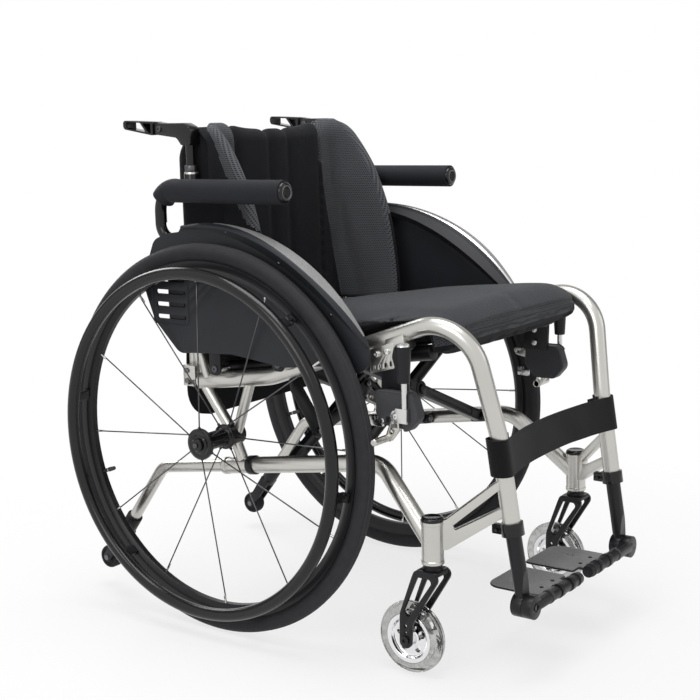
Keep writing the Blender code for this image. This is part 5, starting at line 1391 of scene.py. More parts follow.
# %% Guard panel with slots, tabs and rivets
def panel_outline():
    """The panel's outline as (y, z): up along the edge, and down and forward by the listed corners."""
    points = []
    for i in range(61):
        p = radial(edge_angle(i / 60), EDGE_RADIUS - 0.003, 0)
        points.append(Vector((p.y, p.z)))
    top, low = TYRE_RADIUS + EDGE_RADIUS, GUARD_LOW
    rest = [(0.066, top - 0.0155), (0.09, top - 0.0185), (0.118, top - 0.0285), (0.14, top - 0.0785),
            (0.142, low + 0.092), (0.124, low + 0.046), (0.075, low - 0.002), (0.047, low + 0.001),
            (-0.029, low + 0.005), (-0.129, low - 0.006), (-0.215, low + 0.004), (-0.26, low - 0.004),
            (-0.279, low + 0.01), (-0.281, low + 0.03)]
    radii = [0.004, 0.02, 0.022, 0.03, 0.03, 0.03, 0.022, 0.02, 0.03, 0.03, 0.02, 0.012, 0.01, 0.01]
    corners = rounded_outline([points[-1], *rest, points[0]], [0, *radii, 0], math.radians(8))
    return points[:-1] + corners[:-1]


def guard_slot():
    """Cutter for the lowest of the four slots at the guard's rear."""
    height = GUARD_LOW + 0.05
    outline = rectangle(0.059, height, 0.118, height + 0.0065, 0.0031)
    return plate(outline, "X", GUARD_X - 0.01, GUARD_X + 0.01)


def guard_panel():
    """Panel with four slots, a dark screen behind them and a raised bead around them."""
    panel = plate(panel_outline(), "X", GUARD_X, GUARD_FACE)
    slots = [moved(guard_slot(), Matrix.Translation((0, 0, 0.019 * i))) for i in range(4)]
    screen = block((GUARD_X - 0.0036, 0.064, GUARD_LOW + 0.041), (GUARD_X - 0.0002, 0.096, GUARD_LOW + 0.12))
    panel = finish_with(ease(cut(panel, *slots), 0.0005), charcoal_plastic)
    frame = [(0.053, GUARD_LOW + 0.042), (0.1245, GUARD_LOW + 0.042), (0.129, GUARD_LOW + 0.12),
             (0.053, GUARD_LOW + 0.12)]
    line = [Vector((GUARD_FACE - 0.0003, y, z)) for y, z in rounded_outline(frame, 0.008)]
    bead = finish_with(bend([*line, line[0]], [0] * (len(line) - 1), 0.0012, 10), charcoal_plastic)
    return joined("panel", panel, finish_with(screen, black_plastic), bead)


def guard_tab(y):
    """Tab with a boss that rests on the upper tube, and the screw that holds it."""
    height = UPPER_HEIGHT + (0.0191 if y > -0.1 else 0.0361)
    top, low = GUARD_LOW + 0.025, height - 0.01
    tab = plate(rectangle(y - 0.011, low, y + 0.011, top, [0.008, 0.008, 0.002, 0.002]), "X", 0.2105, 0.2135)
    spacer = block((0.2115, y - 0.009, GUARD_LOW + 0.009), (GUARD_X + 0.0004, y + 0.009, GUARD_LOW + 0.023))
    boss = cut(bar((UPPER_X, y, height), (0.2115, y, height), 0.0075, 32), upper_bore())
    boss = finish_with(boss, bright_silver)
    tab, spacer = (finish_with(ease(part, 0.0006), black_plastic) for part in (tab, spacer))
    screw = socket_screw((0.2133, y, height), 1, 0.0052, 0.0022, 0.0013, 0.0022, dark_spoke, edge=0.0007)
    return joined("tab", tab, spacer, boss, screw)


def rivets():
    """Small domed rivets where the panel meets its edge."""
    dome = [(-0.0002, 0), (-0.0002, 0.0027), (0.0006, 0.0025), (0.0012, 0.0014), (0.0014, 0)]
    places = ((-0.029, 0.606), (-0.125, 0.564), (-0.215, 0.496))
    return [finish_with(turn(dome, (GUARD_FACE, y, z), 24), dark_spoke) for y, z in places]


def guard_rib():
    """Raised rib pressed into the panel under its edge."""
    path = [radial(edge_angle(0.14 + 0.8 * i / 40), EDGE_RADIUS - 0.045, GUARD_FACE - 0.0004)
            for i in range(41)]
    return finish_with(bend(path, [0] * 39, 0.0013, 12), charcoal_plastic)


tabs = [guard_tab(0.009), guard_tab(-0.113)]
guard = joined("guard", guard_panel(), guard_edge(), guard_rib(), *tabs, *rivets())
seat_pair(guard, "side_guard", "frame", ["side_guard"])

# %% [markdown]
# ## Back posts and push handles
# A silver post stands on a clamp, and its upper end has a black sleeve. From its top a stem rises
# to a hinged head, on which the push handle folds down. The handle is an open frame of glossy
# plastic with two windows.

# %% Back post
POST_RADIUS = 0.011
POST_TOP = 0.69
STEM_TOP = 0.742
CLAMP_REAR_END = 0.08
GRIP_PIVOT = Vector((POST_X, 0.124, 0.755))


def on_post(low, high, radius, sides=48):
    """Upright bar in the post's axis."""
    return bar((POST_X, POST_Y, low), (POST_X, POST_Y, high), radius, sides)


def back_post():
    x, y = POST_X, POST_Y
    post = finish_with(ease(on_post(UPPER_HEIGHT - 0.0099, POST_TOP, POST_RADIUS), 0.0008), silver)
    ring = finish_with(ease(on_post(POST_TOP - 0.002, POST_TOP + 0.01, 0.0098), 0.0012), dark_spoke)
    stem = finish_with(on_post(POST_TOP, STEM_TOP, 0.007, 40), gloss_black)
    sleeve = on_post(0.64, POST_TOP - 0.003, POST_RADIUS + 0.0003)
    sleeve = cut(sleeve, on_post(0.63, 0.7, POST_RADIUS - 0.00005))
    sleeve = finish_with(ease(sleeve, 0.0001), gloss_black)
    low, high = UPPER_HEIGHT - 0.0159, UPPER_HEIGHT + 0.0161
    clamp = block((x - 0.006, 0.064, low), (UPPER_X + 0.012, y + 0.017, high))
    clamp = cut(clamp, upper_bore(CLAMP_REAR_END), on_post(low - 0.01, high + 0.01, POST_RADIUS + HAIR))
    web = rounded_outline([(0.045, high - 0.011), (0.088, high - 0.011), (0.088, high + 0.029),
                           (0.06, high + 0.029)], 0.004)
    arm = plate(web, "X", x - 0.006, x + 0.006)
    arm = cut(arm, on_post(low - 0.02, high + 0.06, POST_RADIUS - 0.0002), upper_bore(CLAMP_REAR_END))
    bolts = []
    for z in (low + 0.008, high - 0.008):
        head = bar((x + 0.02, 0.08, z), (x + 0.0236, 0.08, z), 0.0042, 24)
        bolts.append(finish_with(ease(head, 0.0005), steel))
    holders = [finish_with(ease(part, 0.001), silver) for part in (clamp, arm)]
    return [post, ring, stem, sleeve, *holders, *bolts]


def handle_head():
    """Forked head on the stem; its hex screw is the handle's hinge."""
    x, y, pivot = POST_X, POST_Y, GRIP_PIVOT
    outline = rounded_outline(
        [(y - 0.01, STEM_TOP - 0.012), (y + 0.009, STEM_TOP - 0.012), (y + 0.018, pivot.z - 0.014),
         (pivot.y + 0.009, pivot.z - 0.0085), (pivot.y + 0.009, pivot.z + 0.0085),
         (y + 0.005, pivot.z + 0.008), (y - 0.01, pivot.z + 0.001)],
        [0.003, 0.003, 0.008, 0.0082, 0.0082, 0.012, 0.008])
    head = plate(outline, "X", x - 0.011, x + 0.011)
    slot = block((x - 0.0065, pivot.y - 0.014, pivot.z - 0.03), (x + 0.0065, pivot.y + 0.03, pivot.z + 0.03))
    head = finish_with(ease(cut(head, slot), 0.0012), gloss_black)
    pin = finish_with(pin_through(pivot, 0.01, 0.01, 0.0029), steel)
    screws = []
    for way in (-1, 1):
        face = pivot + Vector((way * 0.0108, 0, 0))
        screws.append(socket_screw(face, way, 0.0048, 0.0017, 0.0011, 0.0022, dark_spoke, edge=0.0005))
    return [head, pin, *screws]


seat_pair(joined("post", *back_post(), *handle_head()), "back_post", "frame", ["back_post"])

# %% Push handle
def push_handle():
    """Open frame round two windows; its cheeks are cut back to fit into the fork."""
    pivot, tip = GRIP_PIVOT, 0.2
    outline = rounded_outline(
        [(pivot.y - 0.008, pivot.z - 0.008), (pivot.y + 0.016, pivot.z - 0.0095), (tip, 0.7555),
         (tip, 0.7688), (pivot.y + 0.012, 0.7658), (pivot.y - 0.008, pivot.z + 0.008)],
        [0.0078, 0.01, 0.006, 0.005, 0.014, 0.0078], math.radians(8))
    body = plate(outline, "X", POST_X - 0.011, POST_X + 0.011)
    cheeks = []
    for way in (-1, 1):
        x = POST_X + way * 0.009
        cheeks.append(block((x - 0.0031, pivot.y - 0.02, pivot.z - 0.02),
                            (x + 0.0031, pivot.y + 0.013, pivot.z + 0.02)))
    windows = []
    for corners in (
        [(pivot.y + 0.0175, 0.7484), (pivot.y + 0.023, 0.7493), (pivot.y + 0.035, 0.7642),
         (pivot.y + 0.0175, 0.7634)],
        [(pivot.y + 0.028, 0.7502), (tip - 0.007, 0.7567), (tip - 0.007, 0.7662), (pivot.y + 0.04, 0.7646)],
    ):
        windows.append(plate(rounded_outline(corners, 0.0014), "X", POST_X - 0.03, POST_X + 0.03))
    hole = pin_through(pivot, 0.02, 0.02, 0.003)
    return finish_with(ease(cut(body, *cheeks, *windows, hole), 0.0009, 3), gloss_black)


seat_pair(push_handle(), "push_handle", "push_grip", ["push_grip"])

# %% [markdown]
# ## Arms
# A glossy tube runs under the foam pad, bends down in a hook behind it and ends in an eye on the
# arm post, so that the arm flips up. The pad is a foam sleeve with a ringed plug in its front end.

# %% Arm post, arm tube and pad
ARM_PIVOT = Vector((0.204, 0.083, ARM_Z - 0.081))
ARM_POST_X = 0.197
EYE_WIDTH = 0.01
ARM_TUBE = 0.009
HOOK_X = ARM_PIVOT.x + EYE_WIDTH + 0.0008 - ARM_TUBE
FOAM_FRONT, FOAM_RADIUS = -0.144, 0.0175
FOAM_BEND, FOAM_BEND_FROM, FOAM_TURN = 0.033, 0.079, math.radians(52)


def arm_post():
    top = Vector((ARM_POST_X, ARM_PIVOT.y, ARM_PIVOT.z))
    foot = (UPPER_X + 0.008, 0.042, UPPER_HEIGHT)
    upright = bend([foot, (ARM_POST_X, 0.056, UPPER_HEIGHT + 0.05), top], (0.03,), 0.006, 24)
    upright = finish_with(cut(upright, upper_bore(CLAMP_REAR_END)), silver)
    knuckle = finish_with(ease(pin_through(ARM_PIVOT, 0.0123, -0.0003, 0.0115, 40), 0.001), satin_black)
    pin = finish_with(pin_through(ARM_PIVOT, 0.0023, EYE_WIDTH - 0.002, 0.0034), steel)
    return joined("arm_post", upright, knuckle, pin)


def arm_tube():
    eye_end = ARM_PIVOT + Vector((EYE_WIDTH, 0, 0))
    points = [(ARM_X, -0.133, ARM_Z), (ARM_X, 0.072, ARM_Z), (HOOK_X, 0.112, ARM_Z),
              (HOOK_X, 0.112, ARM_Z - 0.064), (HOOK_X, ARM_PIVOT.y, ARM_PIVOT.z)]
    arm = bend(points, (0.022, 0.034, 0.024), ARM_TUBE, 32)
    low, high = ARM_PIVOT.z - 0.033, ARM_PIVOT.z + 0.032
    trims = [block((ARM_PIVOT.x - 0.03, 0.04, low), (ARM_PIVOT.x, 0.16, high)),
             block((eye_end.x, 0.04, low), (eye_end.x + 0.03, 0.16, high))]
    hole = pin_through(ARM_PIVOT, 0.01, EYE_WIDTH - 0.0015, 0.0035)
    arm = cut(weld(arm, bar(ARM_PIVOT, eye_end, 0.0115, 40)), *trims, hole)
    bolt = ease(pin_through(eye_end, 0.0002, 0.0012, 0.005, 28), 0.0005)
    return joined("arm_tube", finish_with(ease(arm, 0.0008), gloss_black), finish_with(bolt, steel))


def arm_pad():
    """Foam sleeve over the tube and round its rear bend, and the ringed plug in its front end."""
    line = [Vector((ARM_X, y, ARM_Z)) for y in (FOAM_FRONT + 0.0042, 0.05, 0.072)]
    for i in range(13):
        turned = FOAM_TURN * i / 12
        line.append(Vector((HOOK_X, FOAM_BEND_FROM + FOAM_BEND * math.sin(turned),
                            ARM_Z - FOAM_BEND * (1 - math.cos(turned)))))
    foam_part = bend(line, [0] * (len(line) - 2), FOAM_RADIUS, 48)
    foam_part = finish_with(ease(foam_part, 0.0042, 4), foam, 50)
    plug = [(0, 0), (0, 0.005), (0.0008, 0.0058), (0.0008, 0.0078), (0, 0.0086), (0, 0.0118),
            (0.0012, 0.0138), (0.0032, 0.015), (0.0048, 0.015), (0.0048, 0)]
    along = Matrix.Translation((ARM_X, FOAM_FRONT, ARM_Z)) @ Matrix.Rotation(math.pi / 2, 4, "Z")
    plug_part = finish_with(moved(turn(plug, (0, 0, 0), 64), along), gloss_black)
    ring = [(-0.0002, 0.0086), (-0.0004, 0.009), (-0.0004, 0.0098), (-0.0001, 0.0102), (0.0004, 0.0094)]
    ring = finish_with(moved(turn(ring, (0, 0, 0), 64, closed=True), along), steel)
    return foam_part, joined("plug", plug_part, ring)


seat_pair(arm_post(), "arm_post", "frame", ["arm_post"])
seat_pair(arm_tube(), "arm_tube", "arm", ["arm_tube"])
pad, pad_plug = arm_pad()
for piece in seat_pair(pad, "arm_pad", "arm", ["arm_pad"]):
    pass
seat_pair(pad_plug, "pad_plug", "arm")

# %% [markdown]
# ## Brakes
# A perforated silver bracket hangs under the upper tube. A rounded grey cover holds the mechanism,
# an upright lever with a tapered grip works it, and a small openwork arm presses a round bar on the
# tyre. Plates are cut from outlines, and the grip is turned.

# %% Brake bracket and cover
BRAKE_PIVOT = Vector((0.219, -0.326, 0.366))
SHOE_PIVOT = Vector((0.211, -0.316, 0.35))
SHOE_BAR = Vector((0.211, -0.303, 0.331))


def capped_bolt(x, y, z, radius=0.0045, proud=0.0034):
    """Bright socket-head bolt on the outer side of the brake."""
    return socket_screw((x, y, z), 1, radius, proud, 0.0018, radius * 0.48, bright_silver, back=0.0006)


def brake_bracket():
    """Slotted silver plate under the tube, and the black arm between it and the cover."""
    outline = rounded_outline([(-0.27, 0.416), (-0.311, 0.427), (-0.306, 0.442), (-0.312, 0.464),
                               (-0.27, 0.45)], [0.003, 0.003, 0.012, 0.004, 0.004])
    slots = []
    for i in range(4):
        y, z = -0.2775 - 0.0088 * i, 0.4245 + 0.0027 * i
        slot = rectangle(y - 0.0016, z - 0.0036, y + 0.0016, z + 0.0036, 0.0015)
        slots.append(plate(slot, "X", 0.19, 0.22))
    slotted = cut(plate(outline, "X", 0.1965, 0.2032), upper_bore(), *slots)
    arm = rounded_outline([(-0.286, 0.39), (-0.33, 0.39), (-0.333, 0.464), (-0.289, 0.45)],
                          [0.003, 0.003, 0.008, 0.008])
    arm = cut(plate(arm, "X", 0.196, 0.202), upper_bore())
    lug = rounded_outline([(-0.262, 0.389), (-0.29, 0.39), (-0.29, 0.374), (-0.27, 0.378)], 0.004)
    hole = bar((0.19, -0.2725, 0.3835), (0.22, -0.2725, 0.3835), 0.0024, 20)
    lug = finish_with(ease(cut(plate(lug, "X", 0.203, 0.208), hole), 0.0008), silver)
    peg = finish_with(ease(block((0.203, -0.292, 0.344), (0.209, -0.272, 0.354)), 0.0015), bright_silver)
    ring = finish_with(ease(bar((0.206, -0.277, 0.353), (0.206, -0.277, 0.359), 0.0048, 28), 0.0008), steel)
    inner = []
    for z in (0.402, 0.423):
        screw = ease(bar((0.1965, -0.308, z), (0.1937, -0.308, z), 0.005, 28), 0.0008)
        inner.append(finish_with(screw, bright_silver))
    slotted = finish_with(ease(slotted, 0.0009), silver)
    arm = finish_with(ease(arm, 0.0009), satin_black)
    return joined("bracket", slotted, arm, lug, peg, ring, *inner)


def brake_clamp():
    """Ring round the upper tube that holds the bracket."""
    ring = ease(bar((0.1885, -0.296, 0.456), (0.1885, -0.326, 0.4665), 0.0143, 48), 0.0005)
    return finish_with(cut(ring, upper_bore()), silver)


def brake_cover():
    """Grey cover with its rim, and the pins that carry the lever and the shoe."""
    shell = rounded_outline(
        [(-0.289, 0.397), (-0.348, 0.397), (-0.358, 0.364), (-0.34, 0.344), (-0.306, 0.344),
         (-0.287, 0.364)], [0.006, 0.012, 0.014, 0.012, 0.012, 0.012], math.radians(8))
    cover = plate(shell, "X", 0.1992, 0.2182)
    notch = plate([(-0.328, 0.362), (-0.304, 0.362), (-0.296, 0.33), (-0.336, 0.33)], "X", 0.2076, 0.24)
    cover = finish_with(ease(cut(cover, notch), 0.0022, 4), grey_plastic)
    edge = [Vector((0.217, y, z)) for y, z in shell]
    top_edge = [p for p in edge if p.z > 0.39]
    trim = finish_with(bend(top_edge, [0] * (len(top_edge) - 2), 0.0013, 12), grey_plastic)
    pins = [pin_through(BRAKE_PIVOT, 0.004, 0.0055, 0.0034), pin_through(SHOE_PIVOT, 0.006, 0.007, 0.0029)]
    return [cover, trim, *[finish_with(pin, steel) for pin in pins]]


bolts = [capped_bolt(0.2032, -0.281, 0.444), capped_bolt(0.2032, -0.299, 0.449),
         capped_bolt(0.2182, -0.2985, 0.356, 0.0035, 0.0014)]
brake = joined("brake", brake_bracket(), brake_clamp(), *brake_cover(), *bolts)
seat_pair(brake, "brake_body", "frame", ["brake_body"])

# %% Brake lever
def brake_lever():
    """Eye, shaft and tapered grip; the grip is turned lying down and then stood up."""
    inner, outer = BRAKE_PIVOT.x + 0.0003, BRAKE_PIVOT.x + 0.0078
    y, z, middle = BRAKE_PIVOT.y, BRAKE_PIVOT.z, BRAKE_PIVOT.x + 0.004
    shaft_y = y - 0.0125
    eye = bar((inner, y, z), (outer, y, z), 0.0085, 40)
    head = block((inner + 0.0002, shaft_y - 0.006, z - 0.0085), (outer + 0.0006, y, z + 0.0115))
    hole = pin_through(BRAKE_PIVOT, 0.01, 0.006, 0.0035)
    body = finish_with(ease(cut(weld(eye, head), hole), 0.0009), bright_silver)
    shaft = finish_with(bar((middle, shaft_y, z + 0.01), (middle, shaft_y, 0.415), 0.004, 28), bright_silver)
    upright = upright_at(middle, shaft_y, 0.413)
    profile = [(0, 0.004), (0, 0.0076), (0.001, 0.0083)]
    profile += [(0.003 + 0.04 * i / 12, 0.0084 + 0.0024 * i / 12) for i in range(13)]
    profile += [(0.0462, 0.011), (0.05, 0.0106), (0.05, 0.004)]
    grip = finish_with(moved(turn(profile, (0, 0, 0), 48, closed=True), upright), black_plastic)
    cap = [(0.05, 0), (0.05, 0.0104), (0.0522, 0.0094), (0.0536, 0.0066), (0.054, 0)]
    cap = finish_with(moved(turn(cap, (0, 0, 0), 48), upright), bright_silver)
    screw = capped_bolt(outer + 0.0004, y, z, 0.004, 0.001)
    return joined("lever", body, shaft, grip, cap, screw)


seat_pair(brake_lever(), "brake_lever", "brake_lever", ["brake_lever"])

# %% Brake shoe
def brake_shoe():
    """Openwork arm with the round bar that is pressed on the tyre."""
    low, high = SHOE_PIVOT.x - 0.003, SHOE_PIVOT.x + 0.003
    outline = rounded_outline(
        [(SHOE_PIVOT.y - 0.007, SHOE_PIVOT.z + 0.007), (SHOE_PIVOT.y - 0.007, SHOE_PIVOT.z - 0.006),
         (SHOE_BAR.y - 0.005, SHOE_BAR.z - 0.005), (SHOE_BAR.y + 0.0045, SHOE_BAR.z - 0.003),
         (SHOE_PIVOT.y + 0.007, SHOE_PIVOT.z + 0.006)], [0.005, 0.005, 0.004, 0.004, 0.005])
    holes = [pin_through(place, 0.01, 0.01, 0.003) for place in (SHOE_PIVOT, SHOE_PIVOT.lerp(SHOE_BAR, 0.52))]
    arm = finish_with(ease(cut(plate(outline, "X", low, high), *holes), 0.0007), silver)
    end = WHEEL_X + 0.011
    profile = [(low, 0), (low, 0.005), (0.2235, 0.005), (0.2235, 0.0041), (0.225, 0.0041), (0.225, 0.005),
               (end - 0.0012, 0.005), (end, 0.004), (end, 0)]
    press = finish_with(turn(profile, (0, SHOE_BAR.y, SHOE_BAR.z), 40), silver)
    return joined("shoe", arm, press)


seat_pair(brake_shoe(), "brake_shoe", "brake_shoe", ["brake_shoe"])

# %% [markdown]
# ## Footrests
# A black leg slides in the front tube under a clamp. At its foot a knuckle lets the foot tube turn
# up as the chair folds. Each half plate is textured plastic, held by two clamps.

# %% Hanger
FOOT_TUBE_Y, FOOT_TUBE = -0.4925, 0.009
FOOT_TUBE_END = 0.0162
KNUCKLE = 0.0165


def from_elbow(start, end, radius, sides):
    """Bar along Y in the knuckle's axis, between two distances from the elbow."""
    return bar(ELBOW + Vector((0, start, 0)), ELBOW + Vector((0, end, 0)), radius, sides)


def on_foot_tube(start, end, radius, sides):
    """Bar along X in the foot tube's axis."""
    return bar((start, FOOT_TUBE_Y, ELBOW.z), (end, FOOT_TUBE_Y, ELBOW.z), radius, sides)


def hanger():
    """Leg in the front tube with its clamp above, and the fixed half of the knuckle below."""
    along = (ELBOW - FRONT_END).normalized()
    up = (FRONT_KNEE - FRONT_END).normalized()
    leg = bar(FRONT_END + along * 0.0003, ELBOW, 0.0108, 40)
    trim = block((ELBOW.x - 0.04, ELBOW.y - 0.05, ELBOW.z - 0.03),
                 (ELBOW.x + 0.04, FOOT_TUBE_Y + FOOT_TUBE + 0.0003, ELBOW.z + 0.05))
    leg = finish_with(cut(leg, trim), satin_black)
    collar = bar(FRONT_END - up * 0.015, FRONT_END + up * 0.003, 0.0158, 56)
    lug = ease(block((FRONT_X - 0.005, FRONT_END.y + 0.008, FRONT_END.z - 0.016),
                     (FRONT_X + 0.005, FRONT_END.y + 0.029, FRONT_END.z - 0.002)), 0.0016)
    split = block((FRONT_X - 0.0008, FRONT_END.y + 0.012, FRONT_END.z - 0.03),
                  (FRONT_X + 0.0008, FRONT_END.y + 0.04, FRONT_END.z + 0.02))
    seat = bar(FRONT_END - up * 0.0003, FRONT_END + up * 0.05, 0.0129, 56)
    bolt = pin_through(FRONT_END + Vector((0, 0.0215, -0.01)), 0.0075, 0.0075, 0.0026, 20)
    collar = finish_with(ease(cut(weld(collar, lug), seat, split), 0.0008), gloss_black)
    knuckle = finish_with(ease(from_elbow(-0.003, 0.014, KNUCKLE, 56), 0.0014), satin_black)
    pin = finish_with(from_elbow(0, -0.0185, 0.0044, 28), gloss_black)
    stop = ease(from_elbow(0.014, 0.0165, 0.0075, 6), 0.0006)
    return joined("hanger", leg, collar, finish_with(bolt, gloss_black), knuckle, pin,
                  finish_with(stop, satin_black))


seat_pair(hanger(), "footrest_hanger", "frame", ["hanger"])

# %% Foot tube and footplate
def foot_tube():
    """The turning half of the knuckle, its tube with an end plug, and two collars."""
    rear = ELBOW.y - 0.0033
    knuckle = from_elbow(-0.0033, -0.0175, KNUCKLE, 56)
    tube = on_foot_tube(ELBOW.x, FOOT_TUBE_END, FOOT_TUBE, 40)
    trim = block((ELBOW.x - 0.03, rear, ELBOW.z - 0.03), (ELBOW.x + 0.03, rear + 0.03, ELBOW.z + 0.03))
    body = ease(cut(weld(knuckle, tube), trim, from_elbow(0.01, -0.03, 0.0045, 28)), 0.0009)
    plug = ease(on_foot_tube(FOOT_TUBE_END, FOOT_TUBE_END - 0.0021, 0.0089, 40), 0.0008)
    collars = []
    for x, finish in ((0.108, grey_plastic), (0.027, black_plastic)):
        collars.append(finish_with(ease(on_foot_tube(x, x - 0.005, 0.0099, 40), 0.0007), finish))
    return joined("foot_tube", finish_with(body, satin_black), finish_with(plug, black_plastic), *collars)


def footplate():
    """Textured half plate with three holes and a rim, and its two clamps on the foot tube."""
    inner, outer, front, rear = 0.012, 0.103, -0.478, -0.391
    top = ELBOW.z - 0.0005
    outline = rounded_outline(
        [(inner, rear), (outer, rear), (outer, front), (inner + 0.02, front), (inner + 0.02, front + 0.008),
         (inner, front + 0.008)], [0.006, 0.02, 0.006, 0.002, 0.003, 0.004])
    board = plate(outline, "Z", top - 0.004, top)
    holes = [bar((x, y, top - 0.01), (x, y, top + 0.01), 0.0021, 20)
             for x, y in ((0.07, -0.44), (0.078, -0.436), (0.0715, -0.431))]
    board = finish_with(ease(cut(board, *holes), 0.0008), foot_plastic)
    rim_outline = [Vector((p.x, p.y, top - 0.0026)) for p in outline]
    rim_path = rim_outline + [rim_outline[0]]
    rim = finish_with(bend(rim_path, [0] * (len(rim_path) - 2), 0.0013, 10), black_plastic)
    clamps = []
    for x in (0.044, 0.076):
        ring = on_foot_tube(x - 0.005, x + 0.005, 0.0102, 44)
        tongue = block((x - 0.006, FOOT_TUBE_Y, top - 0.0075), (x + 0.006, front + 0.03, top - 0.0036))
        bore = on_foot_tube(x - 0.02, x + 0.02, FOOT_TUBE + 0.0002, 40)
        clamps.append(finish_with(ease(cut(weld(ring, tongue), bore), 0.0007), satin_black))
        rivet = bar((x, front + 0.012, top - 0.0004), (x, front + 0.012, top + 0.001), 0.003, 24)
        clamps.append(finish_with(ease(rivet, 0.0004), black_plastic))
    return joined("footplate", board, rim, *clamps)


seat_pair(foot_tube(), "foot_tube", "footrest", ["foot_tube"])
seat_pair(footplate(), "footplate", "footrest", ["footplate"])

# %% [markdown]
# ## Cross braces and link arms
# Two pairs of bars cross under the seat. Each pair turns on one side's lower tube and carries the
# other side's seat rail. The bars are forged, so their flanks are hollowed a little. Two curved
# link arms tie each brace to the opposite frame and keep the fold in step.

# %% Braces
CENTRE_HEIGHT = PIVOT_X * math.tan(BRACE_ANGLE)
FLAT_THICK = 0.006
PIN_ALONG, PIN_OFF = 0.008, 0.012


def brace_bar(offset, position, side):
    """One bar from its foot up to its rail; side is -1 for a foot on the right."""
    length = math.hypot(PIVOT_X + RAIL_X, RAIL_HEIGHT)
    outline = rectangle(0, -0.0085, length, 0.0085, [0.006, 0, 0, 0.006])
    bar_body = plate(outline, "Y", -FLAT_THICK, FLAT_THICK)
    hollows = []
    for start, end in ((0.03, 0.15), (0.205, length - 0.03)):
        for low in (-0.01, 0.0046):
            hollows.append(plate(rectangle(start, -0.0045, end, 0.0045, 0.004), "Y", low, low + 0.0054))
    bar_body = cut(bar_body, *hollows)
    middle = PIVOT_X / math.cos(BRACE_ANGLE)
    barrel = bar((0, -0.008, 0), (0, 0.008, 0), 0.0088, 40)
    boss = bar((middle, -0.0075, 0), (middle, 0.0075, 0), 0.0125, 48)
    bar_body = cut(weld(bar_body, barrel, boss), bar((0, -0.02, 0), (0, 0.02, 0), 0.0041, 28))
    bar_body = ease(bar_body, 0.0009)
    moved(bar_body, Matrix.Rotation(-BRACE_ANGLE, 4, "Y"))
    if side > 0:
        moved(bar_body, Matrix.Diagonal((-1, 1, 1, 1)))
        bar_body.data.flip_normals()
    bar_body = moved(bar_body, Matrix.Translation((side * PIVOT_X, position + offset, 0)))
    return finish_with(bar_body, satin_black)


def link_head_point(side):
    """Where a link arm's head sits: a little along the brace from its middle, and a little above it."""
    x = -PIN_ALONG * math.cos(BRACE_ANGLE) + PIN_OFF * math.sin(BRACE_ANGLE)
    v = CENTRE_HEIGHT + PIN_ALONG * math.sin(BRACE_ANGLE) + PIN_OFF * math.cos(BRACE_ANGLE)
    return -side * x, v


def brace(side, offset):
    """Cross brace with its foot on one side and its seat rail on the other."""
    x = -side * RAIL_X
    rail = bar((x, RAIL_FRONT + 0.002, RAIL_HEIGHT), (x, RAIL_REAR - 0.002, RAIL_HEIGHT), RAIL_RADIUS, 40)
    parts = [finish_with(rail, satin_black)]
    for y, tip in ((RAIL_FRONT + 0.002, RAIL_FRONT), (RAIL_REAR - 0.002, RAIL_REAR)):
        plug = bar((x, y, RAIL_HEIGHT), (x, tip, RAIL_HEIGHT), RAIL_RADIUS, 40)
        parts.append(finish_with(ease(plug, 0.0009), black_plastic))
    parts += [brace_bar(offset, position, side) for position in CROSSINGS]
    head_x, head_v = link_head_point(-side)
    outward = 1 if offset > 0 else -1
    position = CROSSINGS[0]
    face = position + offset + outward * FLAT_THICK
    tip = position + outward * (LINK_OFFSET + 0.0025 + 0.004)
    lug = bar((head_x, position + offset - 0.005, head_v), (head_x, face, head_v), 0.006, 28)
    pin = bar((head_x, face - outward * 0.002, head_v), (head_x, tip, head_v), 0.0029, 24)
    cap = ease(bar((head_x, tip - outward * 0.0036, head_v), (head_x, tip, head_v), 0.0048, 24), 0.0005)
    return parts + [finish_with(lug, satin_black), finish_with(pin, steel), finish_with(cap, steel)]


def centre_bolts():
    """Shaft, hexagonal head, washer and nut at each crossing."""
    parts = []
    for position in CROSSINGS:
        face = position - 0.0075 - BAR_OFFSET - 0.0003
        pieces = []
        for start, end, radius, sides in (
            (position + 0.0165, face, 0.004, 28), (face - 0.0035, face, 0.0075, 6),
            (face - 0.0006, face, 0.0086, 40), (position + 0.019, position + 0.0232, 0.0072, 6),
        ):
            piece = bar((0, start, CENTRE_HEIGHT), (0, end, CENTRE_HEIGHT), radius, sides)
            pieces.append(ease(piece, 0.0006) if sides == 6 else piece)
        parts += [finish_with(piece, satin_black) for piece in pieces]
    return parts


brace_a = moved(joined("brace_a", *brace(-1, BAR_OFFSET), *centre_bolts()), SLOPED)
brace_b = moved(joined("brace_b", *brace(1, -BAR_OFFSET)), SLOPED)
seat_piece(brace_a, "cross_brace_a", "brace_a", ["brace_a"])
seat_piece(brace_b, "cross_brace_b", "brace_b", ["brace_b"])

# %% Link arms
LINK_LENGTH, LINK_ANGLE = 0.14675, math.radians(19.19)


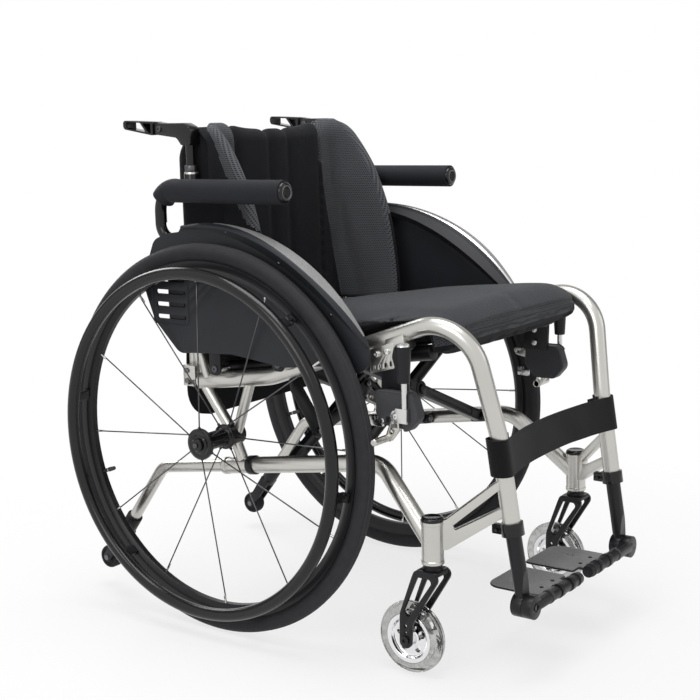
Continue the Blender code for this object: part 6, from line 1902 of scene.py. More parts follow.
def link_arm(plane):
    """Curved flat arm with an eye at its foot and a wider one at its head."""
    foot_x, foot_v = LINK_FOOT_X, LINK_FOOT_V
    head_x, head_v = foot_x - LINK_LENGTH * math.cos(LINK_ANGLE), foot_v + LINK_LENGTH * math.sin(LINK_ANGLE)
    middle_x, middle_v = (foot_x + head_x) / 2, (foot_v + head_v) / 2 - 0.01
    position = CROSSINGS[0] + plane
    low, high = position - 0.0025, position + 0.0025
    outline = rounded_outline(
        [(foot_x, foot_v + 0.008), (middle_x + 0.01, middle_v + 0.0085), (head_x, head_v + 0.0085),
         (head_x, head_v - 0.0085), (middle_x + 0.002, middle_v - 0.0085), (foot_x, foot_v - 0.008)],
        [0, 0.15, 0, 0, 0.15, 0], math.radians(2))
    arm = weld(plate(outline, "Y", low, high), bar((foot_x, low, foot_v), (foot_x, high, foot_v), 0.0082, 40),
               bar((head_x, low, head_v), (head_x, high, head_v), 0.009, 40))
    holes = [bar((foot_x, low - 0.01, foot_v), (foot_x, high + 0.01, foot_v), 0.0041, 28),
             bar((head_x, low - 0.01, head_v), (head_x, high + 0.01, head_v), 0.0047, 28)]
    return finish_with(moved(ease(cut(arm, *holes), 0.0006), SLOPED), satin_black)


seat_sides(link_arm, LINK_OFFSET, "link_arm", "link", "link")

# %% [markdown]
# ## Anti-tip legs
# A bent silver leg plugs into the lower tube. A black clamp at its end holds the cheeks of a small
# wheel. It can be turned up out of the way.

# %% Anti-tip leg and wheel
TIPPER_AXLE = Vector((LOWER_X, 0.287, 0.05))
TIPPER_HALF = 0.0085
CHEEK_THICK = 0.0035


def tipper_leg():
    """Bent leg with its clamp, the two cheeks of the wheel with their pin, and the catch's button."""
    elbow = on_lower_tube(0.156)
    down = (TIPPER_AXLE - elbow).normalized()
    across = Vector((0, -down.z, down.y))
    leg = bend([on_lower_tube(LOWER_REAR_Y - 0.028), elbow, elbow + down * 0.15], (0.034,), 0.0095, 36)
    clamp = ease(bar(elbow + down * 0.116, elbow + down * 0.158, 0.013, 48), 0.0014)
    half = TIPPER_HALF + 0.0008
    begin = elbow + down * 0.15
    corners = [begin + across * 0.01, begin - across * 0.01, TIPPER_AXLE - across * 0.0075 + down * 0.006,
               TIPPER_AXLE + across * 0.0075 + down * 0.006]
    outline = rounded_outline([(c.y, c.z) for c in corners], [0.002, 0.002, 0.0065, 0.0065])
    cheeks, heads = [], []
    for way in (-1, 1):
        low = TIPPER_AXLE.x + way * half
        high = low + way * CHEEK_THICK
        cheek = ease(plate(outline, "X", min(low, high), max(low, high)), 0.0008)
        cheeks.append(finish_with(cheek, black_plastic))
        face, out = Vector((high, *TIPPER_AXLE.yz)), Vector((way, 0, 0))
        head = ease(bar(face - out * 0.0004, face + out * 0.0012, 0.0046, 28), 0.0004)
        heads.append(finish_with(head, steel))
    pin = pin_through(TIPPER_AXLE, half + 0.002, half + 0.002, 0.0029)
    button = ease(pin_through(elbow + down * 0.128, -0.0124, 0.0142, 0.0038, 28), 0.0006)
    return joined("tipper", finish_with(leg, silver), finish_with(clamp, black_plastic), *cheeks, *heads,
                  finish_with(pin, steel), finish_with(button, steel))


def tipper_wheel():
    section = rounded_outline(
        [(0.0085, 0.0031), (0.0085, 0.01), (0.007, 0.0108), (0.007, 0.013), (0.0085, 0.0138),
         (0.0085, 0.0178), (0.0055, 0.019), (-0.0055, 0.019), (-0.0085, 0.0178),
         (-0.0085, 0.0138), (-0.007, 0.013),
         (-0.007, 0.0108), (-0.0085, 0.01), (-0.0085, 0.0031)],
        [0, 0.0006, 0.0005, 0.0005, 0.0006, 0.0016, 0.002, 0.002, 0.0016, 0.0006, 0.0005, 0.0005, 0.0006, 0])
    return finish_with(turn([tuple(p) for p in section], TIPPER_AXLE, 64, closed=True), foam)


seat_pair(tipper_leg(), "anti_tip_leg", "tipper", ["tipper"])
seat_pair(tipper_wheel(), "anti_tip_wheel", "tipper_wheel", ["tipper_wheel"])

# %% [markdown]
# ## Back upholstery
# The back is one padded shell slung between the posts. Its middle is black knit, quilted into three
# upright channels that roll over the top. Two wings of spacer mesh reach forward on both sides, and
# their outer sides are black knit. Padding this thin keeps the shape that its pattern gives it, so
# the shell is laid out as rows of one closed section: along the outer side, round the wing's front
# edge, along its inner side, over the channels, and back. Its own UV map holds metres of cloth.

# %% Lines of the back
from mathutils import noise as ripples

BACK_LOW, BACK_TOP, DOME = 0.46, 0.762, 0.028
WING_EDGE = ((0.46, -0.064), (0.48, -0.066), (0.577, -0.056), (0.612, -0.048), (0.648, -0.036),
             (0.684, -0.021), (0.708, -0.007), (0.728, 0.007), (0.744, 0.02), (0.754, 0.031), (0.76, 0.041))
WING_SEAM = ((0.46, 0.163), (0.52, 0.148), (0.58, 0.128), (0.64, 0.113), (0.695, 0.106), (0.76, 0.106))
OUTER_SEAM = ((0.46, -0.09), (0.596, -0.058), (0.613, -0.038), (0.642, -0.018), (0.674, -0.001),
              (0.708, 0.016), (0.737, 0.031), (0.75, 0.045), (0.762, 0.07))
CHANNEL_SEAMS = (-0.106, -0.024, 0.024, 0.106)
EDGE_HALF = 0.0088


def along(table, at):
    """Smooth value of a table of (place, value) at one place."""
    at = min(max(at, table[0][0]), table[-1][0])
    k = max(i for i in range(len(table) - 1) if table[i][0] <= at)
    rise = [(b[1] - a[1]) / (b[0] - a[0]) for a, b in zip(table, table[1:])]
    slopes = [rise[0], *((a + b) / 2 for a, b in zip(rise, rise[1:])), rise[-1]]
    (low, first), (high, second) = table[k], table[k + 1]
    width = high - low
    t = (at - low) / width
    return (first * (1 + 2 * t) * (1 - t) ** 2 + second * t * t * (3 - 2 * t)
            + width * (slopes[k] * t * (1 - t) ** 2 - slopes[k + 1] * t * t * (1 - t)))


PLAN_CORNERS = [(0, 0.059, 0), (0.159, 0.06, 0), (0.1738, -0.1, 0)]
HALF_PLAN = rounded_path(PLAN_CORNERS, (0.032,), math.radians(2))
PLAN_REACH = [0.0]
for before, after in zip(HALF_PLAN, HALF_PLAN[1:]):
    PLAN_REACH.append(PLAN_REACH[-1] + (after - before).length)


def on_plan(s):
    """Point of the half plan at a distance from the middle, and the direction of the line there."""
    k = max(i for i in range(len(HALF_PLAN) - 1) if PLAN_REACH[i] <= s or i == 0)
    ahead = (HALF_PLAN[k + 1] - HALF_PLAN[k]).normalized()
    return HALF_PLAN[k] + ahead * (s - PLAN_REACH[k]), ahead


def reach_of(y):
    """Distance along the half plan at which the wing has come forward to the given y."""
    for k, (a, b) in enumerate(zip(HALF_PLAN, HALF_PLAN[1:])):
        if b.y <= y and b.x > 0.12:
            return PLAN_REACH[k] + (b - a).length * max(a.y - y, 0) / max(a.y - b.y, 1e-9)
    return PLAN_REACH[-1]


# %% One section of the back
def quilting(s):
    """How far the front stands proud, from 0 on a seam to 1 between two."""
    for low, high in zip(CHANNEL_SEAMS, CHANNEL_SEAMS[1:]):
        if low <= s <= high:
            part = (s - low) / (high - low) * 2 - 1
            return 1 - abs(part) ** (2.4 if high - low < 0.06 else 6)
    return 1.0


def back_section(z):
    """Closed loop of (point, finish, distance along the cloth) at one height, for one half."""
    dome = max(0.0, (z - (BACK_TOP - DOME)) / DOME)
    foot = max(0.0, ((BACK_LOW + 0.006) - z) / 0.006)
    full = math.sqrt(max(0.0, 1 - dome * dome)) * math.sqrt(max(0.0, 1 - 0.9 * foot * foot))
    edge, seam = reach_of(along(WING_EDGE, z) + EDGE_HALF), along(WING_SEAM, z)
    places = [seam * i / 30 for i in range(31)] + [seam + (edge - seam) * i / 30 for i in range(1, 31)]
    rear, front = [], []
    for i, s in enumerate(places):
        place, ahead = on_plan(s)
        out = Vector((ahead.y, -ahead.x, 0))
        part = ramp(s - 0.09, 0.09)
        thick = (0.016 + (EDGE_HALF - 0.016) * part * part * (3 - 2 * part)) * full
        if i > 30:
            puffed = math.sin(math.pi * (s - seam) / (edge - seam))
            valley = math.exp(-((s - seam - 0.34 * (edge - seam)) / 0.014) ** 2) * ramp(0.735 - z, 0.08)
            beside = math.exp(-((s - seam) / 0.004) ** 2)
            swell = 0.0034 * max(puffed, 0) ** 0.6 - 0.0028 * beside - 0.0042 * valley
        else:
            swell = -0.0036 + 0.006 * quilting(s)
        front.append((place + out * (thick + swell * full), "wing" if i > 30 else "front", s))
        rear.append((place - out * thick, "side" if i > 30 else "rear", s))
    tip, ahead = on_plan(edge)
    out = Vector((ahead.y, -ahead.x, 0))
    for i in range(1, 12):
        turned = math.pi * i / 12
        round_edge = (ahead * math.sin(turned) - out * math.cos(turned)) * EDGE_HALF * full
        rear.append((tip + round_edge, "wing", edge + 0.014 * i / 12))
    seam_y = along(OUTER_SEAM, z)
    loop = []
    for k, (place, kind, s) in enumerate(rear):
        if kind in ("side", "wing") and k < len(rear) - 3:
            kind = "wing" if place.y < seam_y else "side"
        loop.append((place, kind, s))
    return [(Vector((p.x, p.y, z)), kind, s) for p, kind, s in loop + front[::-1]]


# %% Rows of the back
def back_rows():
    rows = [BACK_LOW + 0.006 * (1 - math.cos(math.pi / 2 * i / 5)) for i in range(5)]
    rows += [BACK_LOW + 0.006 + (BACK_TOP - DOME - 0.006 - BACK_LOW) * i / 62 for i in range(63)]
    return rows + [BACK_TOP - DOME + DOME * math.sin(math.pi / 2 * i / 16) for i in range(1, 16)]


def settled(p):
    """Soft folds of the cloth, the sag of its top edge and the dips there over each seam."""
    top = max(0.0, (p.z - 0.7) / 0.06)
    dip = sum(math.exp(-((abs(p.x) - seam) / 0.008) ** 2) for seam in (0.024, 0.106))
    fold = ripples.noise(Vector((p.x * 13, p.y * 13, p.z * 7)))
    drag = ripples.noise(Vector((p.x * 40, p.y * 40, p.z * 9)))
    low = max(0.0, 1 - (p.z - BACK_LOW) / 0.12)
    push = 0.0013 * fold + 0.0006 * drag * (0.4 + low)
    side = 1 if p.x > 0 else -1
    middle = 1 - min(abs(p.x) / 0.112, 1) ** 3
    sunk = 0.005 * dip + 0.011 * middle
    return Vector((p.x + 0.5 * push * side, p.y + push, p.z - sunk * top * top))


def zipped(rear, front):
    """Triangles between two lines of the shell that start in the middle and end at the same tip."""
    i = j = 0
    while i < len(rear) - 1 or j < len(front) - 1:
        ahead = i < len(rear) - 1 and (j == len(front) - 1 or abs(rear[i + 1][2]) <= abs(front[j + 1][2]))
        trio = [rear[i][0], front[j][0], rear[i + 1][0] if ahead else front[j + 1][0]]
        i, j = (i + 1, j) if ahead else (i, j + 1)
        if len(set(trio)) == 3:
            yield trio


def back_shell():
    """Both halves of the section, row by row, closed above and below."""
    kinds = ["rear", "side", "wing", "front"]
    bm = bmesh.new()
    cloth = bm.loops.layers.uv.new("cloth")
    rings = []
    for z in back_rows():
        half = back_section(z)
        loop = half[:-1] + [(Vector((-p.x, p.y, p.z)), kind, -s) for p, kind, s in half[:0:-1]]
        rings.append([(bm.verts.new(settled(p)), kind, s) for p, kind, s in loop])
    for corners in between(rings):
        face = bm.faces.new([vert for vert, _, _ in corners])
        pair = [kind for _, kind, _ in corners[:2]]
        face.material_index = kinds.index("wing" if "wing" in pair else pair[0])
        for corner, (vert, _, s) in zip(face.loops, corners):
            corner[cloth].uv = (s, vert.co.z)
    for ring, kind in ((rings[0], "rear"), (rings[-1], "front")):
        middle = len(half) - 1
        for chain in (ring[:middle + 1], [ring[0], *ring[:middle - 1:-1]]):
            tip = max(range(len(chain)), key=lambda i: abs(chain[i][2]))
            for trio in zipped(chain[:tip + 1], chain[:tip - 1:-1]):
                face = bm.faces.new(trio)
                face.material_index = kinds.index(kind)
                for corner in face.loops:
                    corner[cloth].uv = corner.vert.co.xy
    shell = solid("back", bm)
    for finish in (back_knit, side_knit, wing_mesh, back_knit):
        shell.data.materials.append(finish)
    shell.data.shade_smooth()
    return shell


# %% Stitches of the back
def back_stitches():
    rows = []
    for side in (-1, 1):
        for shift in (-0.0022, 0.0022):
            line = []
            for i in range(60):
                z = BACK_LOW + 0.01 + (0.722 - BACK_LOW) * i / 59
                s = along(WING_SEAM, z) + shift
                place, ahead = on_plan(s)
                out = Vector((ahead.y, -ahead.x, 0))
                p = place + out * (along(((0, 0.016), (0.09, 0.016), (0.18, EDGE_HALF)), s) - 0.0008)
                line.append(settled(Vector((p.x * side, p.y, z))))
            rows.append(stitched("wing_seam", line, 0.005, 0.0034, 0.0009))
    return rows


# %% Flap under the back
FLAP_THICK = 0.0022


def back_flap():
    """Cloth that hangs from the back's foot behind the seat, with round lower corners."""
    top, low, half = 0.5, 0.305, 0.185
    rows = []
    for j in range(41):
        z = top + (low - top) * j / 40
        corner = max(0.0, (low + 0.05 - z) / 0.05)
        reach = half - 0.05 * (1 - math.sqrt(max(0.0, 1 - corner * corner)))
        reach -= 0.024 * ramp(z - 0.432, 0.018)
        y = along(((0.305, 0.095), (0.36, 0.0945), (0.41, 0.0925), (0.46, 0.082), (0.5, 0.074)), z)
        row = []
        for i in range(61):
            x = reach * (i / 30 - 1)
            wave = 0.0016 * ripples.noise(Vector((x * 14, 0, z * 9))) * min(1, (top - z) / 0.06)
            row.append((x, y + wave, z))
        rows.append(row)
    return sheet_through("flap", rows, FLAP_THICK, side_knit, 60)


back = joined("back", back_shell(), back_flap(), *back_stitches())
seat_piece(back, "back_upholstery", "right_frame", ["back_cloth"])
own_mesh(back)
print("back", len(back.data.polygons), "faces")

# %% [markdown]
# ## Sleeves of the back
# The upholstery is hung on the posts by sleeves of black knit. Low down each sleeve wraps its post;
# above the arm pad it passes behind the post and bulges to the rear. One closed line is drawn for
# the low part and one for the high part, and the rows between them go from one to the other.

# %% Back sleeves
SLEEVE_TOP = 0.756
SLEEVE_FOOT = 0.466
SLEEVE_LOW = ((0.17, 0.01), (0.1795, 0.04), (0.1878, 0.06), (0.1903, 0.071), (0.1875, 0.082), (0.176, 0.093),
              (0.16, 0.0985), (0.138, 0.089), (0.112, 0.0705), (0.112, 0.064), (0.15, 0.056), (0.164, 0.03))
SLEEVE_HIGH = ((0.17, 0.006), (0.1655, 0.035), (0.1658, 0.055), (0.166, 0.071), (0.1662, 0.088),
               (0.1655, 0.103), (0.156, 0.113), (0.135, 0.103), (0.108, 0.0705), (0.108, 0.064),
               (0.15, 0.054), (0.162, 0.03))


def smooth_loop(points, count=8):
    """Closed smooth line through the points."""
    line, n = [], len(points)
    for i in range(n):
        a, b, c, d = (Vector(points[(i + k) % n]) for k in (-1, 0, 1, 2))
        for j in range(count):
            t = j / count
            line.append(b + (c - a) * 0.5 * t + (a - b * 2.5 + c * 2 - d * 0.5) * t * t
                        + (b * 1.5 - c * 1.5 + d * 0.5 - a * 0.5) * t ** 3)
    return line


def back_sleeve():
    """The two lines blended over the height, drawn in towards the post at the top."""
    bm = bmesh.new()
    rings = []
    for z in [SLEEVE_FOOT + (SLEEVE_TOP - SLEEVE_FOOT) * i / 64 for i in range(65)]:
        high = ramp(z - 0.652, 0.012)
        close = ramp(z - 0.706, SLEEVE_TOP - 0.706) ** 2
        points = []
        for low_point, high_point in zip(SLEEVE_LOW, SLEEVE_HIGH):
            p = Vector(low_point).lerp(Vector(high_point), high)
            p.y -= max(p.y - 0.066, 0) * 0.92 * close
            p.y = max(p.y, along(OUTER_SEAM, z) + 0.016) if high else p.y
            points.append(p)
        ring = []
        for p in smooth_loop(points):
            fold = ripples.noise(Vector((p.x * 30, p.y * 30, z * 14)))
            fade = min(1, max(0, (p.y - 0.088) / 0.006))
            ring.append(bm.verts.new((p.x, p.y + 0.0016 * fold * fade, z)))
        rings.append(ring)
    for corners in between(rings):
        bm.faces.new(corners)
    bm.faces.new(rings[0][::-1])
    bm.faces.new(rings[-1])
    return finish_with(solid("sleeve", bm), side_knit, 60)


seat_pair(back_sleeve(), "back_sleeve", "frame")
print("sleeves hung")

# %% [markdown]
# ## Seat sling
# Under the cushion a webbing sling is stretched from rail to rail. It is a thin woven sheet, a
# little lower in the middle, so it is drawn as one grid and given its thickness.

# %% Seat sling
SLING_THICK = 0.0018
SLING_V = RAIL_HEIGHT + RAIL_RADIUS + 0.0004


def seat_sling():
    half, front, rear = RAIL_X + 0.004, RAIL_FRONT + 0.006, RAIL_REAR - 0.004
    rows = []
    for j in range(25):
        r = front + (rear - front) * j / 24
        row = []
        for i in range(33):
            x = -half + 2 * half * i / 32
            sag = 0.005 * max(0.0, 1 - (x / (half - 0.012)) ** 2)
            row.append((x, r, SLING_V + 0.001 - sag))
        rows.append(row)
    return moved(sheet_through("sling", rows, SLING_THICK, sling_weave, 50), SLOPED)


sling = seat_piece(seat_sling(), "seat_sling", "seat", ["seat_sling"])
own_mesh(sling)

# %% [markdown]
# ## Seat cushion
# A real cushion is foam in a sewn cover. Its shape is first laid out as a top and a bottom height
# over a plan that narrows to the nose, a little smaller than the finished size. The mesh is then
# remade from even cells, and a cloth simulation blows it up against its cover, so that the sides
# swell between the corners. Seams come after that, because the remake would erase them.

# %% Heights of the cushion
from mathutils.bvhtree import BVHTree

CUSHION_LOW, CUSHION_TOP, CUSHION_REAR, CUSHION_NOSE = 0.1624, 0.2142, 0.025, -0.431
CUSHION_WIDTH = ((-0.431, 0.156), (-0.42, 0.169), (-0.4, 0.176), (-0.385, 0.181),
                 (-0.37, 0.186), (-0.34, 0.1895), (0.0, 0.1895), (0.025, 0.186))
SLOPE_COS, SLOPE_SIN = 0.9893, 0.1457
SIDE_TUBE_TOP = ((-0.4, 0.506), (-0.342, 0.503), (-0.15, 0.4365), (0.04, 0.415))
NOSE_BOTTOM = ((-0.431, 0.168), (-0.423, 0.156), (-0.41, 0.1495), (-0.38, 0.1475))


def cushion_top(r):
    droop = 0.0095 * ramp(-0.2 - r, 0.19) ** 1.4
    nose = 0.025 * ramp(-0.388 - r, 0.043) ** 2.3
    heel = 0.006 * ramp(r - 0.01, 0.015) ** 2
    return CUSHION_TOP - droop - nose - heel


def core_half(r):
    return min(0.1655, 0.1755 - 0.196 * max(-0.31 - r, 0))


def over_tube(r):
    """Height that clears the side tube, which climbs towards the front."""
    y = r * SLOPE_COS + 0.19 * SLOPE_SIN
    return (along(SIDE_TUBE_TOP, y) + 0.001 - LOWER_HEIGHT + r * SLOPE_SIN) / SLOPE_COS


def cushion_bottom(r, x):
    if abs(x) > core_half(r) and r > -0.379:
        return min(over_tube(r), cushion_top(r) - 0.011)
    return along(NOSE_BOTTOM, r) if r < -0.3785 else CUSHION_LOW


def cushion_shape():
    shares = sorted({round(math.sin(math.pi / 2 * i / 40), 4) for i in range(-40, 41)})
    lengths = [CUSHION_REAR + (CUSHION_NOSE - CUSHION_REAR) * i / 120 for i in range(121)]
    bm = bmesh.new()
    upper, lower = [], []
    for r in lengths:
        half = along(CUSHION_WIDTH, r)
        tops, bottoms = [], []
        for share in shares:
            x = half * share
            crown = 0.0085 * abs(share) ** 7 + 0.0015 * share * share
            top = cushion_top(r) - crown
            tops.append(bm.verts.new((x, r, top)))
            bottoms.append(bm.verts.new((x, r, min(cushion_bottom(r, x), top - 0.004))))
        upper.append(tops)
        lower.append(bottoms)
    last = len(shares) - 1
    for j in range(len(lengths) - 1):
        for i in range(last):
            bm.faces.new((upper[j][i], upper[j + 1][i], upper[j + 1][i + 1], upper[j][i + 1]))
            bm.faces.new((lower[j][i], lower[j][i + 1], lower[j + 1][i + 1], lower[j + 1][i]))
        for i in (0, last):
            bm.faces.new((upper[j][i], lower[j][i], lower[j + 1][i], upper[j + 1][i]))
    for j in (0, len(lengths) - 1):
        for i in range(last):
            bm.faces.new((upper[j][i], upper[j][i + 1], lower[j][i + 1], lower[j][i]))
    return solid("cushion", bm)


# %% Blowing up a padded piece
def blown_up(obj, cell, pressure, most, may_move):
    """Remesh, blow up by a cloth simulation, and cap how far each point may go."""
    remesh = obj.modifiers.new("cells", "REMESH")
    remesh.mode = "VOXEL"
    remesh.voxel_size = cell
    obj = baked(obj)
    obj.name = "padded"
    cloth = obj.modifiers.new("cloth", "CLOTH")
    cloth.settings.use_pressure = True
    cloth.settings.uniform_pressure_force = pressure
    cloth.settings.effector_weights.gravity = 0
    scene = bpy.context.scene
    for frame_number in range(1, 21):
        scene.frame_set(frame_number)
    swollen = obj.evaluated_get(bpy.context.evaluated_depsgraph_get()).data
    places = [v.co.copy() for v in swollen.vertices]
    obj.modifiers.remove(cloth)
    furthest = 0.0
    for vert, place in zip(obj.data.vertices, places):
        move = (place - vert.co) * may_move(vert.co)
        if move.length > most:
            move *= most / move.length
        furthest = max(furthest, move.length)
        vert.co += move
    scene.frame_set(1)
    print(obj.name, len(places), "points, furthest", round(furthest * 1000, 1), "mm")
    return obj


def cushion_freedom(p):
    """Free on top and in front, held where the cushion lies on the sling and the tubes."""
    if p.z < 0.166 and p.y > -0.374:
        return 0.0
    if abs(p.x) > 0.16 and p.z < over_tube(max(p.y, -0.379)) + 0.01:
        return 0.15
    if p.y > 0.012:
        return 0.35
    return 1.0


# %% Seams, wrinkles and cloth of the cushion
def seam_height(r):
    return cushion_top(max(r, -0.395)) - 0.0115


def wrinkle(p):
    """Soft wrinkles across the lower nose, drawn down towards the middle."""
    if p.y > -0.372 or p.z > 0.18:
        return 0.0
    lean = p.z + 0.05 * p.x + 0.004 * ripples.noise(Vector((p.x * 12, p.y * 12, 0)))
    fade = max(0.0, 1 - (abs(p.x) / 0.135) ** 2)
    return 0.0004 * fade * math.sin(lean * math.tau / 0.013) * min(1, (0.18 - p.z) / 0.006)


def sew_cushion(obj):
    """Press in the side seams and the nose crease, and lay the cloth over the shape."""
    mesh = obj.data
    normals = [v.normal.copy() for v in mesh.vertices]
    gather = mesh.attributes.new("gather", "FLOAT", "POINT")
    for vert, normal in zip(mesh.vertices, normals):
        p = vert.co.copy()
        half = along(CUSHION_WIDTH, p.y)
        beside = max(0.0, min(1.0, (abs(p.x) - half + 0.012) / 0.006)) if p.y > -0.392 else 0.0
        seam = math.exp(-((p.z - seam_height(p.y)) / 0.0022) ** 2) * beside
        ahead = max(0.0, min(1.0, (-0.404 - p.y) / 0.01))
        crease = math.exp(-((p.z - 0.179 + 0.02 * abs(p.x)) / 0.003) ** 2) * ahead
        soft = 0.0009 * ripples.noise(Vector((p.x * 16, p.y * 12, p.z * 20)))
        if p.z < 0.164 and p.y > -0.374:
            soft = 0.0
        vert.co = p + normal * (soft + wrinkle(p) - 0.0022 * seam - 0.0018 * crease)
        gather.data[vert.index].value = beside * math.exp(-((p.z - seam_height(p.y) - 0.006) / 0.006) ** 2)
    cloth = mesh.uv_layers.new(name="cloth")
    for face in mesh.polygons:
        n = face.normal
        for loop in face.loop_indices:
            p = mesh.vertices[mesh.loops[loop].vertex_index].co
            drop = max(0.0, cushion_top(max(p.y, -0.39)) - p.z)
            share = abs(n.x) / (abs(n.x) + abs(n.y) + 1e-6)
            side = 1 if p.x > 0 else -1
            cloth.data[loop].uv = (p.x + side * drop * share, p.y - drop * (1 - share))
        c = face.center
        under = c.z < seam_height(c.y)
        face.material_index = 1 if under and abs(c.x) > core_half(c.y) - 0.006 and c.y > -0.386 else 0
        if c.z < 0.1655 and c.y > -0.374 or c.z < 0.158:
            face.material_index = 1
    return obj


def cushion_stitches(obj):
    """Rows of stitches along both side seams, and short bars where the seam changes."""
    mesh = obj.data
    tree = BVHTree.FromPolygons([v.co for v in mesh.vertices], [tuple(f.vertices) for f in mesh.polygons])
    rows = []

    def on_side(side, r, lift):
        height = seam_height(r) + lift
        hit = tree.ray_cast(Vector((side * 0.25, r, height)), Vector((-side, 0, 0)))[0]
        return hit + Vector((side * 0.0002, 0, 0)) if hit else Vector((side * 0.187, r, height))

    for side in (-1, 1):
        line = [on_side(side, 0.015 - 0.395 * i / 110, 0.0026) for i in range(111)]
        rows.append(stitched("cushion_seam", line, 0.0044, 0.0031, 0.0009, grey_thread))
        for r in (-0.328, -0.368, -0.388):
            for shift in (-0.0011, 0.0011):
                line = [on_side(side, r + shift, -0.0055 + 0.011 * i / 6) for i in range(7)]
                rows.append(stitched("cushion_bar", line, 0.0018, 0.0016, 0.001, grey_thread))
    return rows


cushion = blown_up(cushion_shape(), 0.0055, 4.0, 0.0055, cushion_freedom)
swell = cushion.modifiers.new("rounded", "SUBSURF")
swell.levels = swell.render_levels = 1
cushion = sew_cushion(baked(cushion))
for finish in (seat_mesh, side_knit):
    cushion.data.materials.append(finish)
cushion.data.shade_smooth()
cushion = moved(joined("cushion", cushion, *cushion_stitches(cushion)), SLOPED)
seat_piece(cushion, "seat_cushion", "seat", ["cushion"])
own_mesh(cushion)
print("cushion", len(cushion.data.polygons), "faces")

# %% [markdown]
# ## Calf strap
# The strap is one length of webbing. It goes round one front tube, crosses behind the rider's
# calves with a little slack, goes round the other tube and is fastened to itself. A strap is made
# directly, as a ribbon pushed along its path, because its width never changes.

# %% Calf strap
STRAP_Z, STRAP_WIDTH, STRAP_THICK = 0.311, 0.05, 0.0018


def tube_axis(z):
    part = (z - FRONT_END.z) / (FRONT_KNEE.z - FRONT_END.z)
    return FRONT_END.lerp(FRONT_KNEE, part)


def strap_path():
    """Plan of the strap, from its tail behind the right tube to its tail behind the left one."""
    tube = tube_axis(STRAP_Z)
    wrap = TUBE + 0.0003 + STRAP_THICK / 2
    half = []
    for i in range(17):
        turned = math.radians(-90 + 250 * i / 16)
        slack = 0.0052 * math.sin(math.pi * min(1, i / 13)) ** 1.2
        reach = wrap + slack
        half.append(Vector((tube.x + reach * math.cos(turned), tube.y + reach * math.sin(turned), 0)))
    leave = half[0]
    span = []
    for i in range(1, 21):
        x = leave.x * (1 - i / 20)
        span.append(Vector((x, leave.y + 0.02 * (1 - (x / leave.x) ** 2) ** 0.9, 0)))
    ends = [half[-1] + Vector((-0.005, -0.001, 0)), half[-1] + Vector((-0.013, 0.001, 0)),
            half[-1] + Vector((-0.022, 0.002, 0))]
    left = ends[::-1] + half[::-1] + span
    right = [Vector((-p.x, p.y, 0)) for p in left[:-1]]
    return right + left[::-1]


def calf_strap():
    path = strap_path()
    length = sum((b - a).length for a, b in zip(path, path[1:]))
    lean = (FRONT_KNEE.y - FRONT_END.y) / (FRONT_KNEE.z - FRONT_END.z)
    rows = []
    for j in range(9):
        v = -STRAP_WIDTH / 2 + STRAP_WIDTH * j / 8
        row = []
        for p in path:
            free = max(0.0, 1 - (abs(p.x) / 0.13) ** 4)
            slack = 0.0012 * ripples.noise(Vector((p.x * 20, 0, v * 30))) * free
            row.append((p.x, p.y + v * lean + slack, STRAP_Z + v))
        rows.append(row)
    return sheet_through("strap", rows, STRAP_THICK, strap_weave, 50), length


strap, strap_length = calf_strap()
seat_piece(strap, "calf_band", "right_frame", ["calf_strap"])
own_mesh(strap)
print("strap", round(strap_length, 3), "m of webbing")

# %% [markdown]
# ## Floor and light
# A pale floor keeps the soft shadow. The world is white for the camera, and much dimmer as a light,
# so that colours render about as they are written. Reflections see a grey ring round the way that
# the camera looks, so the edges of the tubes darken. Four large soft lamps stand where studio boxes
# would.

# %% Floor and world
WORLD_LIGHT = 0.25
FLOOR_HALF = 6
FLOOR_DROP = 0.0008


def seen_rays(net):
    """1 for rays that see the stage: from the camera, in a reflection, or through something clear."""
    camera, glossy, through = [
        net.node("LightPath", output=f"Is {kind} Ray") for kind in ("Camera", "Glossy", "Transmission")]
    return net.math("MAXIMUM", camera, net.math("MAXIMUM", glossy, through))


def add_floor():
    """Pale floor that turns into plain white away from the chair."""
    bm = bmesh.new()
    bmesh.ops.create_grid(bm, x_segments=1, y_segments=1, size=FLOOR_HALF)
    floor = solid("floor", bm, outward=False)
    finish = Finish("studio_floor")
    grain = finish.noise(3.0, 2.0)
    finish.surface(finish.shade(grain, (0.9, 0.9, 0.9), (0.93, 0.93, 0.93)), 0.85 + 0.05 * grain)
    x, y, _ = finish.parts(finish.place)
    away = finish.math("SQRT", x * x + y * y)
    whiter = finish.step(away, 0.45, 1.1) * 0.26 + 0.74
    glow = finish.node("Emission", (), {"Color": (1, 1, 1, 1), "Strength": 1.0})
    lit = Wire(finish, finish.shader.outputs[0])
    shown = finish.node("MixShader", (), {0: seen_rays(finish) * whiter, 1: lit, 2: glow})
    finish.connect(shown, finish.nodes["Material Output"].inputs["Surface"])
    floor.data.materials.append(finish.material)
    moved(floor, Matrix.Translation((0, 0, -FLOOR_DROP)))


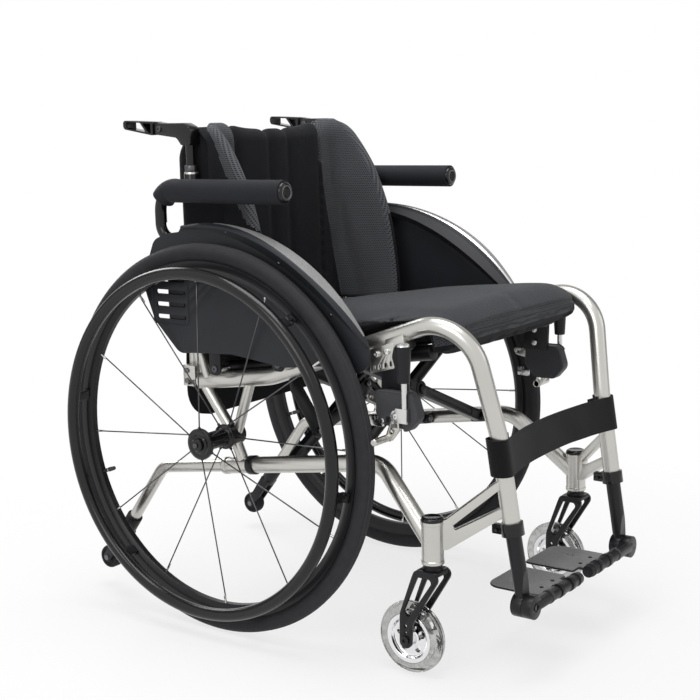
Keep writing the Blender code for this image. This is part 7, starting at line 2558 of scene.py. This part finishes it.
def grey_ring(net):
    """White all round, with a grey ring round the direction in which the camera looks."""
    toward = net.node("TexCoord", output="Generated")
    ahead = net.vector_math("DOT_PRODUCT", toward, (math.sin(CAMERA_YAW), math.cos(CAMERA_YAW), 0), "Value")
    sweep = net.node("ValToRGB", (), {0: net.math("MULTIPLY_ADD", ahead, 0.5, 0.5)})
    stops = sweep.socket.node.color_ramp.elements
    stops[0].position = 0.5
    stops[0].color = (1, 1, 1, 1)
    for at in (0.62, 0.8):
        stops.new(at).color = (0.3, 0.3, 0.3, 1)
    return sweep


def add_world():
    world = bpy.data.worlds.new("studio")
    bpy.context.scene.world = world
    world.use_nodes = True
    world.node_tree.nodes.clear()
    net = Network(world.node_tree)
    reflected = {0: net.node("LightPath", output="Is Glossy Ray"), 6: (1, 1, 1, 1), 7: grey_ring(net)}
    shown = net.node("Mix", {"data_type": "RGBA"}, reflected, 2)
    light = net.node("Background", (), {"Color": (1, 1, 1, 1), "Strength": WORLD_LIGHT})
    seen = net.node("Background", (), {"Color": shown, "Strength": 1.0})
    both = net.node("MixShader", (), {0: seen_rays(net), 1: light, 2: seen})
    net.connect(both, world.node_tree.nodes.new("ShaderNodeOutputWorld").inputs["Surface"])


# %% Lamps
AIM = Vector((0, 0, 0.4))


def add_lamp(name, place, size, power):
    data = bpy.data.lights.new(name, "AREA")
    data.size = size
    data.energy = power
    lamp = new_object(name, data)
    lamp.location = place
    lamp.rotation_euler = (lamp.location - AIM).to_track_quat("Z", "Y").to_euler()


add_floor()
add_world()
add_lamp("top_box", (-0.3, -0.1, 3.1), 1.9, 60)
add_lamp("key_box", (-2.9, -0.4, 2), 1.5, 22)
add_lamp("fill_box", (1.8, -3, 1.8), 1.6, 6)
add_lamp("rim_box", (0.8, 2.8, 2.2), 1.6, 34)
bpy.context.scene.view_settings.view_transform = "Standard"
print("stage set")

# %% [markdown]
# ## Last look
# The last line prints how many pieces were made.

print("pieces", len(MADE))
